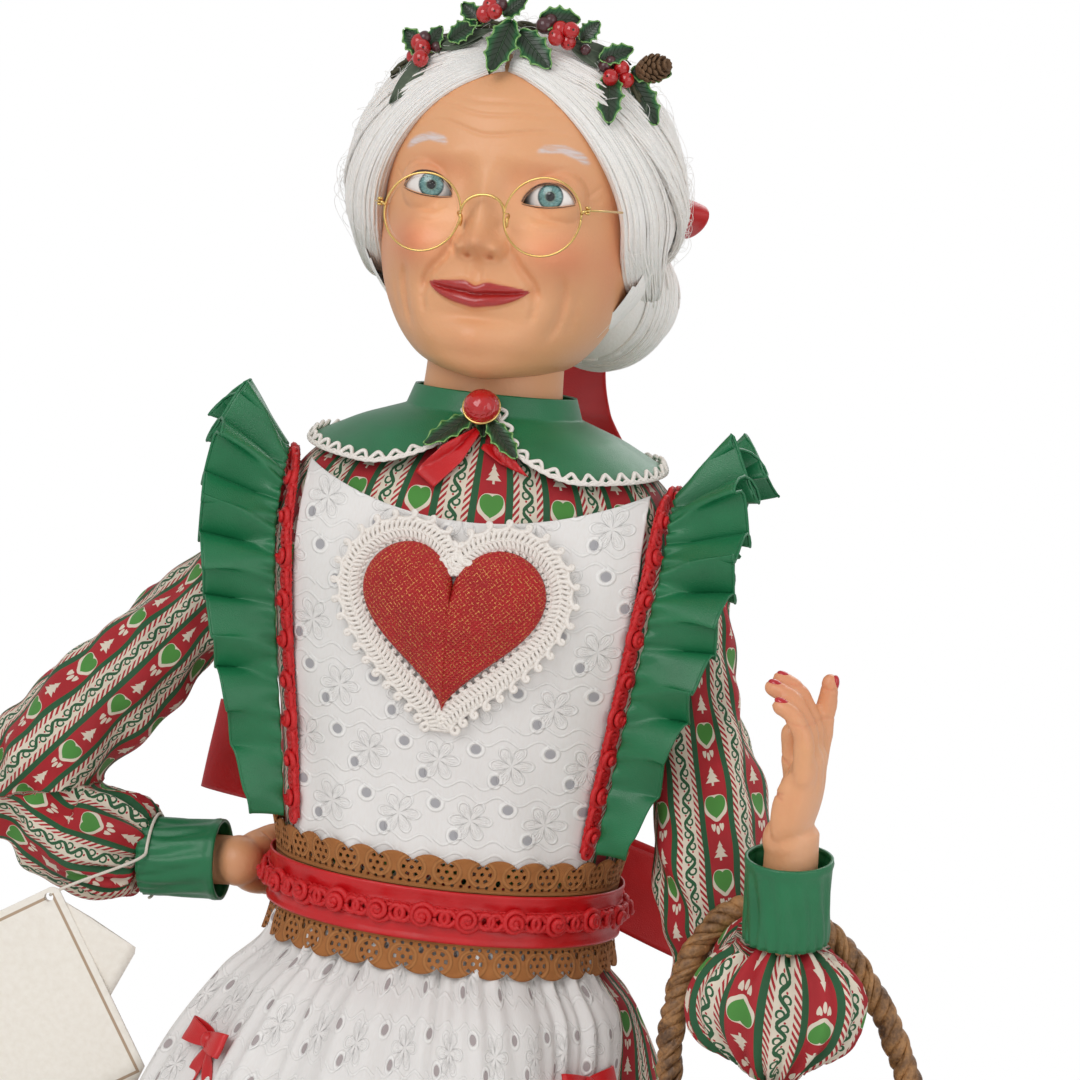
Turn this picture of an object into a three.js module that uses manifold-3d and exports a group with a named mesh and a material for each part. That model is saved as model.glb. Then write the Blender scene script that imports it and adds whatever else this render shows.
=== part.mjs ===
// A standing grandmother Christmas doll: resin head and hands on a stuffed body with wired arms,
// dressed in a printed gown, a white eyelet apron and satin ruffles, with a basket on one arm.
// Millimetres. The doll faces -Y, its left hand is on +X, and it stands on Z = 0.

import * as THREE from "three";
import Module from "manifold-3d";
import { mergeVertices } from "three/addons/utils/BufferGeometryUtils.js";

const wasm = await Module();
wasm.setup();

// Clearances and cloth
const GAP = 0.35; // between pieces that rest on each other
const CLOTH = 1.2; // thickness of a sewn layer
const THIN_CLOTH = 0.9; // ribbon and lace
const JOINT_GAP = 0.6; // between the ball and the hollow of a bending sleeve
const OVERRUN = 6; // how far a cutting solid runs past what it cuts
const MERGE = 1e-3; // points closer than this are one

// Stand
const BASE_RADIUS = 98;
const BASE_THICKNESS = 16;
const BASE_EDGE = 3;
const ROD_RADIUS = 4;
const ROD_FIT = 0.35;
const ROD_DEPTH = 9; // how far the rod goes into the base
const ROD_TOP = 530;

// Legs and boots
const LEG_SPREAD = 27; // from the middle to a leg's axis
const ANKLE_HEIGHT = 96;
const THIGH_RADIUS = 23;
const ANKLE_RADIUS = 12.5;
const BOOT_LENGTH = 62;
const BOOT_HALF_WIDTH = 14.5;
const BOOT_HEIGHT = 72;
const BOOT_SHAFT_RADIUS = 15.5;
const BOOT_WALL = 2.2;

// Torso
const WAIST_HEIGHT = 477;
const HIP_DROP = 52; // the torso's lowest section below the waist
const NECK_RISE = 181; // the torso's top above the waist
const CHEST_HALF_WIDTH = 74;
const CHEST_FRONT = 62;
const CHEST_BACK = 50;

// Skirts
const SKIRT_TOP_DROP = 8; // below the waist's middle
const HEM_HEIGHT = 60;
const HEM_HALF_WIDTH = 150;
const HEM_HALF_DEPTH = 138;
const FOLD_COUNT = 11;
const FOLD_DEPTH = 7.5;
const APRON_STANDOFF = 2;
const BASKET_DENT = 27; // how far the basket presses the skirt in
const DENT_SHARE = 0.24; // where down the skirt
const DENT_REACH = 0.17;
const DENT_ANGLE = -28; // degrees round from the left side
const DENT_WIDTH = 34;

// Waistband
const BAND_HALF_WIDTH = 59.5;
const BAND_FRONT = 46;
const BAND_BACK = 44;
const BAND_FLARE = 10.8; // how far the lace spreads towards its edges
const LACE_IN = 4.6; // clears the gathered skirt tops
const LACE_HEIGHT = 44;
const SASH_HEIGHT = 19;

// Bib and heart
const BIB_TOP_RISE = 158;
const BIB_BOTTOM_RISE = 23;
const BIB_NECK_DIP = 14;
const BIB_HALF_WIDTH = 63;
const HEART_RISE = 111; // heart's middle above the waist
const HEART_SIZE = 33; // half width of the red heart
const HEART_BRAID = 10.5;
const HEART_BRAID_THICKNESS = 2.4;
const HEART_CROWN = 2.5;

// Collar and brooch
const COLLAR_TOP_RISE = 189;
const COLLAR_WIDTH = 22; // how far its edge lies below its top
const COLLAR_FRONT_DROP = 7; // how much further it falls at the front
const COLLAR_LIFT = 4; // how far its edge stands off the shoulder
const COLLAR_OPENING = 5; // degrees each side of the front, at the top
const COLLAR_SPREAD = 11; // degrees more at the edge
const COLLAR_TRIM_RADIUS = 2.1;
const BROOCH_RADIUS = 5.8;
const BROOCH_RISE = 183;
const BROOCH_LEAF = 17;
const BROOCH_TAIL = 21;
const BROOCH_TAIL_WIDTH = 8;

// Shoulder ruffles and the braid at their root
const RUFFLE_WIDTH = 30;
const RUFFLE_WAVE = 6.5;
const RUFFLE_WAVES = 8;
const RUFFLE_FRONT = -37; // degrees round from the side, where the seam starts
const RUFFLE_TOP = -8;
const RUFFLE_BACK = 48;
const RUFFLE_TOP_SHARE = 0.55;
const BRAID_RADIUS = 2.5;

// Arms
const SHOULDER_HALF_WIDTH = 76;
const SHOULDER_RISE = 127;
const UPPER_ARM = 152;
const SLEEVE_BALL = 20;
const SLEEVE_BELLY = 22;
const SLEEVE_END = 24; // from the elbow to the end of the upper sleeve
const ELBOW_RADIUS = 17.5;
const FOREARM_RADIUS = 14;
const PIN_DEPTH = 6; // how far the arm core goes past the elbow's middle
const CUFF_RADIUS = 14.8;
const CUFF_LENGTH = 30;
const CUFF_WALL = 1.3;
const WRIST_RADIUS = 10.2;
const PALM_LENGTH = 33;
const WRIST_DEPTH = 12; // how far the wrist goes into the sleeve
const PALM_HALF_WIDTH = 13;
const FINGER_RADIUS = 4;
const FINGER_LENGTH = 31;
const FINGER_SHARES = [0.92, 1, 0.94, 0.74]; // of the finger length, from the index
const ARM_CORE_RADIUS = 9;

// The left forearm is held up, with the wrist beside the bust
const LEFT_ARM_SPREAD = 13.9; // degrees out from straight down
const LEFT_ARM_FORWARD = 12.4;
const LEFT_WRIST_OUT = 131;
const LEFT_WRIST_FORWARD = 80;
const LEFT_WRIST_RISE = 14;
const LEFT_PUFF_HALF_WIDTH = 31;
const LEFT_PUFF_HALF_DEPTH = 20;
const LEFT_PUFF_HALF_HEIGHT = 24.5;

// The right hand rests on the back of the hip
const RIGHT_ARM_SPREAD = 41.5;
const RIGHT_ARM_FORWARD = -6.1;
const RIGHT_WRIST_OUT = 117;
const RIGHT_WRIST_BACK = 7;
const RIGHT_WRIST_DROP = 4;
const RIGHT_PUFF_RADIUS = 22;

// Head
const HEAD_RISE = 255; // head's middle above the waist
const HEAD_HALF_HEIGHT = 64;
const HEAD_HALF_WIDTH = 47;
const HEAD_HALF_DEPTH = 53;
const HEAD_SHIFT = -1;
const HEAD_TURN = -4; // degrees about the neck at rest
const NECK_RADIUS = 25.5;
const PEG_RADIUS = 8.5;
const PEG_LENGTH = 26;
const NOSE_HALF_WIDTH = 7.5;
const NOSE_HALF_HEIGHT = 13;
const NOSE_REACH = 10;
const LIP_HALF_WIDTH = 17;
const EYE_RADIUS = 9;
const EYE_SPACING = 21.6;
const EYE_FORWARD = 39.5;

// Wig, bun and hair bow
const WIG_HALF_WIDTH = 64;
const WIG_HALF_DEPTH = 58;
const WIG_SETBACK = 3;
const WIG_TOP = 71;
const WIG_BOTTOM = 42;
const FACE_HALF_WIDTH = 46.5;
const FACE_TOP = 52;
const FACE_SETBACK = 12;
const BUN_RADIUS = 33;
const BUN_SIDE = 27;
const BUN_BACK = 53;
const BUN_DROP = 28;
const HAIR_BOW_SIDE = 46;
const HAIR_BOW_BACK = 68;
const HAIR_BOW_RISE = 4;
const HAIR_LOOP = 33;
const HAIR_BOW_WIDTH = 16;
const HAIR_TAIL_LENGTH = 84;

// Spectacles
const LENS_RADIUS = 13.2;
const LENS_SPACING = 22;
const LENS_DROP = 7;
const LENS_FORWARD = 60.5;
const LENS_THICKNESS = 0.9;
const RIM_WIRE = 0.8;
const BRIDGE_RISE = 5;
const HINGE_BLOCK = 3;
const TEMPLE_ANGLE = Math.PI / 8; // where the temples meet the head, ahead of its side

// Wreath
const LEAF_LENGTH = 21;
const LEAF_HALF_WIDTH = 7;
const WREATH_LEAVES = 9;
const WREATH_REACH = 66; // degrees each side of the top
const WREATH_FORWARD = 18;
const VINE_RADIUS = 1.7;
const BERRY_RADIUS = 3.4;
const BERRY_PLACES = [
  { name: "outer_right", share: -0.72, lift: 2.6 },
  { name: "top", share: 0, lift: 1.6 },
  { name: "outer_left", share: 0.7, lift: 2.9 },
]; // share of the wreath's reach, and berry radii above the vine

// Basket, hung on the left forearm and leaning out from the skirt
const BASKET_HALF_LENGTH = 54;
const BASKET_HALF_DEPTH = 36;
const BASKET_DEEP = 52;
const BASKET_WALL = 3.6;
const BASKET_RIM = 4.6;
const BASKET_LEAN = 17.5; // degrees
const HANDLE_HEIGHT = 92; // from the basket's rim to the handle's top
const HANDLE_RADIUS = 5;
const HANDLE_SHARE = 0.42; // where the handle lies between the elbow and the wrist
const HANDLE_SLIP = 4; // how far off its top the handle bears on the arm

// Back bow and apron bows
const SASH_LOOP = 102;
const SASH_WIDTH = 32;
const SASH_FULLNESS = 9;
const SASH_RISE = 31;
const SASH_KNOT = 6;
const SASH_TAIL_STANDOFF = 4.6;
const APRON_LOOP = 13;
const APRON_BOW_WIDTH = 9;
const APRON_KNOT = 3.4;
const APRON_BOW_ANGLE = 52; // degrees each side of the front
const APRON_BOW_SHARE = 0.125; // how far down the skirt

// Swing tags on the right cuff
const TAG_WIDTH = 60;
const TAG_HEIGHT = 80;
const TAG_THICKNESS = 1;
const CARE_TAG_WIDTH = 30;
const CARE_TAG_HEIGHT = 42;
const TAG_TILT = 32; // degrees
const TAG_HOLE = 1.6;
const TAG_FORWARD = 24;
const TAG_CORD = 0.7;

const vec = (x, y, z) => new THREE.Vector3(x, y, z);
const lerp = THREE.MathUtils.lerp;
const radians = THREE.MathUtils.degToRad;
const TURN = Math.PI * 2;

// Closed surfaces from points

function closedGeometry(points, faces) {
  let volume = 0;
  for (const [a, b, c] of faces) {
    volume += points[a].dot(points[b].clone().cross(points[c]));
  }
  const turned = volume < 0 ? faces.map(([a, b, c]) => [a, c, b]) : faces;
  return new THREE.BufferGeometry()
    .setAttribute("position", new THREE.Float32BufferAttribute(points.flatMap((p) => p.toArray()), 3))
    .setIndex(turned.flat());
}

// A skin of quads between rows of points, each quad as two triangles.
function skinFaces(first, rows, columns, wraps) {
  const faces = [];
  const across = wraps ? columns : columns - 1;
  for (let row = 0; row < rows - 1; row++) {
    for (let column = 0; column < across; column++) {
      const a = first + row * columns + column;
      const b = first + row * columns + ((column + 1) % columns);
      faces.push([a, b, b + columns], [a, b + columns, a + columns]);
    }
  }
  return faces;
}

const middleOf = (ring) => ring.reduce((sum, p) => sum.add(p), vec(0, 0, 0)).divideScalar(ring.length);

// A closed body through rings of points, with a fan over each end.
function loft(rings) {
  const size = rings[0].length;
  const points = rings.flat();
  const last = points.length - size;
  const faces = skinFaces(0, rings.length, size, true);
  points.push(middleOf(rings[0]), middleOf(rings[rings.length - 1]));
  for (let i = 0; i < size; i++) {
    const next = (i + 1) % size;
    faces.push([next, i, points.length - 2], [last + i, last + next, points.length - 1]);
  }
  return closedGeometry(points, faces);
}

// A tube wall between an outer and an inner stack of rings, open at both ends.
function wall(outer, inner) {
  return closedGeometry([...outer.flat(), ...inner.flat()], wallFaces(outer.length, outer[0].length));
}

function wallFaces(rows, size) {
  const step = rows * size;
  const faces = skinFaces(0, rows, size, true);
  faces.push(...skinFaces(step, rows, size, true).map(([a, b, c]) => [a, c, b]));
  for (let i = 0; i < size; i++) {
    const next = (i + 1) % size;
    const end = step - size;
    faces.push([next, i, step + i], [next, step + i, step + next]);
    faces.push([end + i, end + next, step + end + next], [end + i, step + end + next, step + end + i]);
  }
  return faces;
}

// A sheet with its two faces given as functions of shares u and v.
function slab(front, back, across, along) {
  const points = [];
  for (const face of [front, back]) {
    for (let row = 0; row <= along; row++) {
      for (let column = 0; column <= across; column++) points.push(face(column / across, row / along));
    }
  }
  const columns = across + 1;
  const step = columns * (along + 1);
  const faces = skinFaces(0, along + 1, columns, false);
  faces.push(...skinFaces(step, along + 1, columns, false).map(([a, b, c]) => [a, c, b]));
  const edge = [];
  for (let i = 0; i < across; i++) edge.push(i);
  for (let i = 0; i < along; i++) edge.push(i * columns + across);
  for (let i = across; i > 0; i--) edge.push(along * columns + i);
  for (let i = along; i > 0; i--) edge.push(i * columns);
  edge.forEach((a, i) => {
    const b = edge[(i + 1) % edge.length];
    faces.push([b, a, step + a], [b, step + a, step + b]);
  });
  return closedGeometry(points, faces);
}

// A sheet of even thickness either side of one surface.
function sheet(surface, across, along, thickness) {
  const nudge = 1e-3;
  const offset = (side) => (u, v) => {
    const alongU = surface(Math.min(u + nudge, 1), v).sub(surface(Math.max(u - nudge, 0), v));
    const alongV = surface(u, Math.min(v + nudge, 1)).sub(surface(u, Math.max(v - nudge, 0)));
    return surface(u, v).addScaledVector(alongU.cross(alongV).normalize(), (side * thickness) / 2);
  };
  return slab(offset(1), offset(-1), across, along);
}

function ellipseRing(centre, halfWidth, halfDepth, count) {
  return Array.from({ length: count }, (_, i) => {
    const angle = (i / count) * TURN;
    return vec(centre.x + halfWidth * Math.cos(angle), centre.y + halfDepth * Math.sin(angle), centre.z);
  });
}

// A limb: round rings along a curve, with a radius for each share of its length.
function limb(points, radiusAt, steps, count) {
  const curve = new THREE.CatmullRomCurve3(points);
  const rings = [];
  for (let i = 0; i <= steps; i++) {
    const t = i / steps;
    const centre = curve.getPoint(t);
    const along = curve.getTangent(t);
    const side = vec(0, 1, 0).cross(along).normalize();
    const across = along.clone().cross(side);
    const radius = radiusAt(t);
    rings.push(
      Array.from({ length: count }, (_, k) => {
        const angle = (k / count) * TURN;
        return centre
          .clone()
          .addScaledVector(side, radius * Math.cos(angle))
          .addScaledVector(across, radius * Math.sin(angle));
      }),
    );
  }
  return loft(rings);
}

function rod(points, radius, sides, steps) {
  const section = new THREE.Shape();
  for (let i = 0; i < sides; i++) {
    const angle = (i / sides) * TURN;
    const place = [radius * Math.cos(angle), radius * Math.sin(angle)];
    if (i === 0) section.moveTo(...place);
    else section.lineTo(...place);
  }
  const path = points.length === 2 ? new THREE.LineCurve3(...points) : new THREE.CatmullRomCurve3(points);
  return new THREE.ExtrudeGeometry(section, { extrudePath: path, steps, bevelEnabled: false });
}

function cylinder(radius, bottom, top, sides = 24) {
  return new THREE.CylinderGeometry(radius, radius, top - bottom, sides)
    .rotateX(Math.PI / 2)
    .translate(0, 0, (bottom + top) / 2);
}

function ball(centre, radius, columns, rows) {
  return new THREE.SphereGeometry(radius, columns, rows).translate(centre.x, centre.y, centre.z);
}

function oval(centre, halfWidth, halfDepth, halfHeight, columns, rows) {
  const shape = new THREE.SphereGeometry(1, columns, rows).rotateX(Math.PI / 2);
  return shape.scale(halfWidth, halfDepth, halfHeight).translate(centre.x, centre.y, centre.z);
}

// Reads a curve given as [share, value] pairs, smoothly.
function read(pairs, share) {
  if (share <= pairs[0][0]) return pairs[0].slice(1);
  const last = pairs[pairs.length - 1];
  if (share >= last[0]) return last.slice(1);
  const next = pairs.findIndex((pair) => pair[0] > share);
  const [a, b] = [pairs[next - 1], pairs[next]];
  const before = pairs[next - 2] ?? a;
  const after = pairs[next + 1] ?? b;
  const t = (share - a[0]) / (b[0] - a[0]);
  return a.slice(1).map((_, i) => {
    const k = i + 1;
    const span = b[0] - a[0];
    const slopeA = before === a ? b[k] - a[k] : ((b[k] - before[k]) / (b[0] - before[0])) * span;
    const slopeB = after === b ? b[k] - a[k] : ((after[k] - a[k]) / (after[0] - a[0])) * span;
    const ease = t * t * (3 - 2 * t);
    return lerp(a[k], b[k], ease) + t * (1 - t) ** 2 * slopeA - t * t * (1 - t) * slopeB;
  });
}

// Cutting and joining

function toSolid(geometry) {
  const bare = new THREE.BufferGeometry().setAttribute("position", geometry.getAttribute("position").clone());
  if (geometry.index) bare.setIndex(geometry.index.clone());
  const merged = mergeVertices(bare, MERGE);
  return new wasm.Manifold(
    new wasm.Mesh({
      numProp: 3,
      vertProperties: new Float32Array(merged.attributes.position.array),
      triVerts: new Uint32Array(merged.index.array),
    }),
  );
}

function toGeometry(solid) {
  const made = solid.getMesh();
  const points = new Float32Array(made.numVert * 3);
  for (let i = 0; i < made.numVert; i++) {
    points.set(made.vertProperties.subarray(i * made.numProp, i * made.numProp + 3), i * 3);
  }
  return new THREE.BufferGeometry()
    .setAttribute("position", new THREE.BufferAttribute(points, 3))
    .setIndex(new THREE.BufferAttribute(new Uint32Array(made.triVerts), 1));
}

function cut(geometry, ...tools) {
  return toGeometry(tools.reduce((solid, tool) => solid.subtract(toSolid(tool)), toSolid(geometry)));
}

function join(...geometries) {
  return toGeometry(geometries.slice(1).reduce((solid, g) => solid.add(toSolid(g)), toSolid(geometries[0])));
}

// Finishes

const finish = (color, roughness, metalness = 0) =>
  new THREE.MeshStandardMaterial({ color, roughness, metalness });
const resin = finish(0xe3a878, 0.45);
const glass = finish(0x4f8088, 0.1);
const lensGlass = finish(0xf2f2ee, 0.05);
const hair = finish(0xf4efe8, 0.85);
const gold = finish(0xc9a24a, 0.25, 1);
const holly = finish(0x1f4a2a, 0.4);
const berry = finish(0xc4121a, 0.15);
const greenSatin = finish(0x1d7a44, 0.35);
const redSatin = finish(0xc3101c, 0.35);
const print = finish(0xb5222a, 0.6);
const eyelet = finish(0xf3ece4, 0.85);
const gimp = finish(0xf1e7dc, 0.8);
const redBraid = finish(0xb4101c, 0.6);
const gingerLace = finish(0xb06a2a, 0.8);
const sparkle = finish(0xb2141c, 0.4, 0.2);
const willow = finish(0xa4682f, 0.6);
const muslin = finish(0xe8dcc6, 0.9);
const stocking = finish(0xc9302c, 0.8);
const bootLeather = finish(0x1c1614, 0.4);
const wood = finish(0x5a3a22, 0.5);
const steel = finish(0x9a9a9a, 0.3, 1);
const card = finish(0xe9dccb, 0.8);

const doll = new THREE.Group();

function add(name, geometry, material, parent = doll) {
  const mesh = new THREE.Mesh(geometry, material);
  mesh.name = name;
  parent.add(mesh);
  return mesh;
}

// The torso's outline: share of its height, then shares of the chest's half width, front and back.
const TORSO_SHARES = [
  [0, 0.78, 0.7, 0.82],
  [0.13, 0.81, 0.74, 0.88],
  [0.223, 0.8, 0.726, 0.84],
  [0.408, 0.865, 0.806, 0.88],
  [0.58, 0.946, 0.935, 0.96],
  [0.71, 1, 1, 1],
  [0.815, 1.01, 0.9, 1],
  [0.9, 0.9, 0.742, 0.88],
  [0.966, 0.62, 0.55, 0.7],
  [1, 0.385, 0.46, 0.56],
];
const TORSO_BOTTOM = WAIST_HEIGHT - HIP_DROP;
const TORSO_TOP = WAIST_HEIGHT + NECK_RISE;
const BODICE_BOTTOM = WAIST_HEIGHT - SKIRT_TOP_DROP + GAP;
const BODICE_TOP = TORSO_TOP - GAP;
const TORSO_COLUMNS = 20;
const BODICE_ROW_SHARES = [0, 0.28, 0.55, 0.76, 0.91, 1];
const BODICE_HEIGHTS = BODICE_ROW_SHARES.map((share) => lerp(BODICE_BOTTOM, BODICE_TOP, share));

// A point of the torso grown by a distance, at an angle from +X, with the front at minus a quarter turn.
function torsoPoint(angle, height, grow) {
  const share = (height - TORSO_BOTTOM) / (TORSO_TOP - TORSO_BOTTOM);
  const [width, front, back] = read(TORSO_SHARES, share);
  const depth = Math.sin(angle) < 0 ? CHEST_FRONT * front : CHEST_BACK * back;
  return vec((CHEST_HALF_WIDTH * width + grow) * Math.cos(angle), (depth + grow) * Math.sin(angle), height);
}

const torsoRing = (height, grow) =>
  Array.from({ length: TORSO_COLUMNS }, (_, i) => torsoPoint((i / TORSO_COLUMNS) * TURN, height, grow));

// The front of the grown torso above a place across the chest.
function chestPoint(across, height, grow) {
  const edge = torsoPoint(0, height, grow).x;
  return torsoPoint(-Math.acos(THREE.MathUtils.clamp(across / edge, -1, 1)), height, grow);
}

// Layers over the torso, from the inside out
const BODICE_IN = GAP;
const BODICE_OUT = BODICE_IN + CLOTH;
const BIB_IN = BODICE_OUT + 4 * GAP;
const BIB_OUT = BIB_IN + CLOTH;
const HEART_IN = BIB_OUT + 2 * GAP;
const BRAID_OUT = BIB_OUT + GAP + BRAID_RADIUS;
const COLLAR_IN = BODICE_OUT - GAP / 2; // the bodice is faceted, so its flats lie deeper
const COLLAR_EDGE = BIB_OUT + GAP + CLOTH;
const SIDES = [
  { name: "left", sign: 1 },
  { name: "right", sign: -1 },
];

// Stand: a turned disc with a rod that goes up between the legs into the torso

function addStand() {
  const profile = [
    new THREE.Vector2(0, 0),
    new THREE.Vector2(BASE_RADIUS - BASE_EDGE, 0),
    new THREE.Vector2(BASE_RADIUS, BASE_EDGE),
    new THREE.Vector2(BASE_RADIUS, BASE_THICKNESS - BASE_EDGE),
    new THREE.Vector2(BASE_RADIUS - BASE_EDGE, BASE_THICKNESS),
    new THREE.Vector2(0, BASE_THICKNESS),
  ];
  const disc = new THREE.LatheGeometry(profile, 24).rotateX(Math.PI / 2);
  const foot = BASE_THICKNESS - ROD_DEPTH;
  const seat = cylinder(ROD_RADIUS + ROD_FIT, foot - ROD_FIT, BASE_THICKNESS + OVERRUN, 12);
  add("base_disc", cut(disc, seat), wood);
  add("stand_rod", cylinder(ROD_RADIUS, foot, ROD_TOP, 12), steel);
}

// Legs in stockings, and ankle boots

const LEG_SHARES = [
  [0, 1],
  [0.12, 1.05],
  [0.32, 1.5],
  [0.5, 1.3],
  [0.62, 1.38],
  [1, THIGH_RADIUS / ANKLE_RADIUS],
];
const TOE_SHARES = [0, 0.3, 0.62, 0.88, 1];

function addLeg({ name, sign }) {
  const x = sign * LEG_SPREAD;
  const floor = BASE_THICKNESS + GAP;
  const foot = floor + BOOT_WALL + GAP;
  const hip = TORSO_BOTTOM - GAP;
  const ringAt = (z, radius) => ellipseRing(vec(x, 0, z), radius, radius, 12);
  const rings = [ringAt(foot, ANKLE_RADIUS), ringAt(lerp(foot, ANKLE_HEIGHT, 0.5), ANKLE_RADIUS)];
  for (let i = 0; i <= 6; i++) {
    rings.push(ringAt(lerp(ANKLE_HEIGHT, hip, i / 6), ANKLE_RADIUS * read(LEG_SHARES, i / 6)[0]));
  }
  add(`leg_${name}`, loft(rings), stocking);
  const toe = TOE_SHARES.map((share) => {
    const taper = Math.sqrt(1 - share ** 3 * 0.82);
    const height = BOOT_HALF_WIDTH * lerp(2.1, 0.7, share);
    return Array.from({ length: 12 }, (_, k) => {
      const angle = (k / 12) * TURN;
      return vec(
        x + BOOT_HALF_WIDTH * taper * Math.cos(angle),
        BOOT_SHAFT_RADIUS * 0.5 - share * BOOT_LENGTH,
        Math.max(floor, floor + height * 0.45 + height * 0.55 * Math.sin(angle)),
      );
    });
  });
  const top = BASE_THICKNESS + BOOT_HEIGHT;
  const shaft = cylinder(BOOT_SHAFT_RADIUS, floor, top, 12).translate(x, 0, 0);
  const bore = cylinder(ANKLE_RADIUS + GAP, foot - GAP, top + OVERRUN, 12).translate(x, 0, 0);
  add(`boot_${name}`, cut(join(shaft, loft(toe)), bore), bootLeather);
}

// Stuffed torso with a socket for the neck peg, the rod's hole and hollows for the sleeves' round heads

const shoulderPoint = (sign) => vec(sign * SHOULDER_HALF_WIDTH, 0, WAIST_HEIGHT + SHOULDER_RISE);
const armWay = (sign, spread, forward) =>
  vec(sign * Math.tan(radians(spread)), -Math.tan(radians(forward)), -1).normalize();
const LEFT_WAY = armWay(1, LEFT_ARM_SPREAD, LEFT_ARM_FORWARD);
const RIGHT_WAY = armWay(-1, RIGHT_ARM_SPREAD, RIGHT_ARM_FORWARD);
const UPPER_SLEEVE_SHARES = [
  [0, 0.8],
  [0.3, 0.78],
  [0.65, 1],
  [0.85, 0.98],
  [1, 0.82],
];

// The outside of an upper sleeve, from its round head to its end above the elbow, grown by a distance.
function upperSleeve(shoulder, way, grow) {
  const end = shoulder.clone().addScaledVector(way, UPPER_ARM - SLEEVE_END);
  const radiusAt = (t) => SLEEVE_BELLY * read(UPPER_SLEEVE_SHARES, t)[0] + grow;
  return join(ball(shoulder, SLEEVE_BALL + grow, 12, 7), limb([shoulder.clone(), end], radiusAt, 4, 10));
}

const armholes = [
  upperSleeve(shoulderPoint(1), LEFT_WAY, JOINT_GAP),
  upperSleeve(shoulderPoint(-1), RIGHT_WAY, JOINT_GAP),
];

function addTorso() {
  const heights = [TORSO_BOTTOM, lerp(TORSO_BOTTOM, BODICE_BOTTOM, 0.5), ...BODICE_HEIGHTS, TORSO_TOP];
  const shape = loft(heights.map((height) => torsoRing(height, 0)));
  const rodHole = cylinder(ROD_RADIUS + ROD_FIT, TORSO_BOTTOM - OVERRUN, ROD_TOP + ROD_FIT, 12);
  const socket = cylinder(PEG_RADIUS + GAP, TORSO_TOP - PEG_LENGTH - GAP, TORSO_TOP + OVERRUN, 14);
  add("torso", cut(shape, rodHole, socket.translate(HEAD_SHIFT, 0, 0), ...armholes), muslin);
  const rings = (grow) => BODICE_HEIGHTS.map((height) => torsoRing(height, grow));
  add("bodice", cut(wall(rings(BODICE_OUT), rings(BODICE_IN)), ...armholes), print);
}

// Skirts: gathered at the waist, falling in folds to the hem

const SKIRT_TOP = WAIST_HEIGHT - SKIRT_TOP_DROP;
const SKIRT_SHARES = [
  [0, 0.4, 0.335],
  [0.035, 0.41, 0.345],
  [0.07, 0.5, 0.45],
  [0.15, 0.63, 0.59],
  [0.3, 0.77, 0.75],
  [0.5, 0.88, 0.87],
  [0.75, 0.96, 0.96],
  [1, 1, 1],
];
const SKIRT_ROW_SHARES = [0, 0.035, 0.075, 0.14, 0.24, 0.42, 0.68, 1];
const APRON_ROWS = 6;
const SKIRT_COLUMNS = 44;
const APRON_COLUMNS = 18;

// The skirt's cloth at an angle and a share of its length, grown outwards by a distance.
function skirtPoint(angle, share, grow) {
  const [width, depth] = read(SKIRT_SHARES, share);
  const gather = Math.min(1, Math.max(0, share) * 3 + 0.08);
  const fold = FOLD_DEPTH * gather * Math.cos(FOLD_COUNT * angle + Math.sin(angle * 3));
  const below = THREE.MathUtils.smoothstep(share, SKIRT_ROW_SHARES[1], SKIRT_ROW_SHARES[3]);
  const along = below * Math.exp(-(((share - DENT_SHARE) / DENT_REACH) ** 2));
  const turned = THREE.MathUtils.euclideanModulo(angle - radians(DENT_ANGLE) + Math.PI, TURN) - Math.PI;
  const reach = fold + grow - BASKET_DENT * along * Math.exp(-((turned / radians(DENT_WIDTH)) ** 2));
  return vec(
    (HEM_HALF_WIDTH * width + reach) * Math.cos(angle),
    (HEM_HALF_DEPTH * depth + reach) * Math.sin(angle),
    lerp(SKIRT_TOP, HEM_HEIGHT, share),
  );
}

function addSkirts() {
  const step = TURN / SKIRT_COLUMNS;
  const ring = (share, grow) =>
    Array.from({ length: SKIRT_COLUMNS }, (_, i) => skirtPoint(i * step, share, grow));
  const rings = (grow) => SKIRT_ROW_SHARES.map((share) => ring(share, grow));
  add("gown_skirt", wall(rings(CLOTH), rings(0)), print);
  const inside = CLOTH + GAP;
  const face = (grow) => (u, v) => {
    const share = SKIRT_ROW_SHARES[Math.round(v * APRON_ROWS)];
    const standoff = APRON_STANDOFF * Math.min(1, share * 4);
    return skirtPoint(-Math.PI / 2 + (u - 0.5) * APRON_COLUMNS * step, share, grow + standoff);
  };
  add("apron_skirt", slab(face(inside + CLOTH), face(inside), APRON_COLUMNS, APRON_ROWS), eyelet);
}

// Waistband: wide ginger lace, a satin ribbon over it and a rosebud braid along the middle

const LACE_OUT = LACE_IN + THIN_CLOTH;
const SASH_IN = LACE_OUT + 2 * GAP;
const SASH_OUT = SASH_IN + THIN_CLOTH;

function bandRings(half, grow, rows, count) {
  return Array.from({ length: rows + 1 }, (_, i) => {
    const rise = lerp(-half, half, i / rows);
    const reach = grow + (rise / LACE_HEIGHT) ** 2 * BAND_FLARE;
    return Array.from({ length: count }, (_, k) => {
      const angle = (k / count) * TURN;
      const depth = Math.sin(angle) < 0 ? BAND_FRONT : BAND_BACK;
      const width = BAND_HALF_WIDTH + reach;
      return vec(width * Math.cos(angle), (depth + reach) * Math.sin(angle), WAIST_HEIGHT + rise);
    });
  });
}

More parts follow.
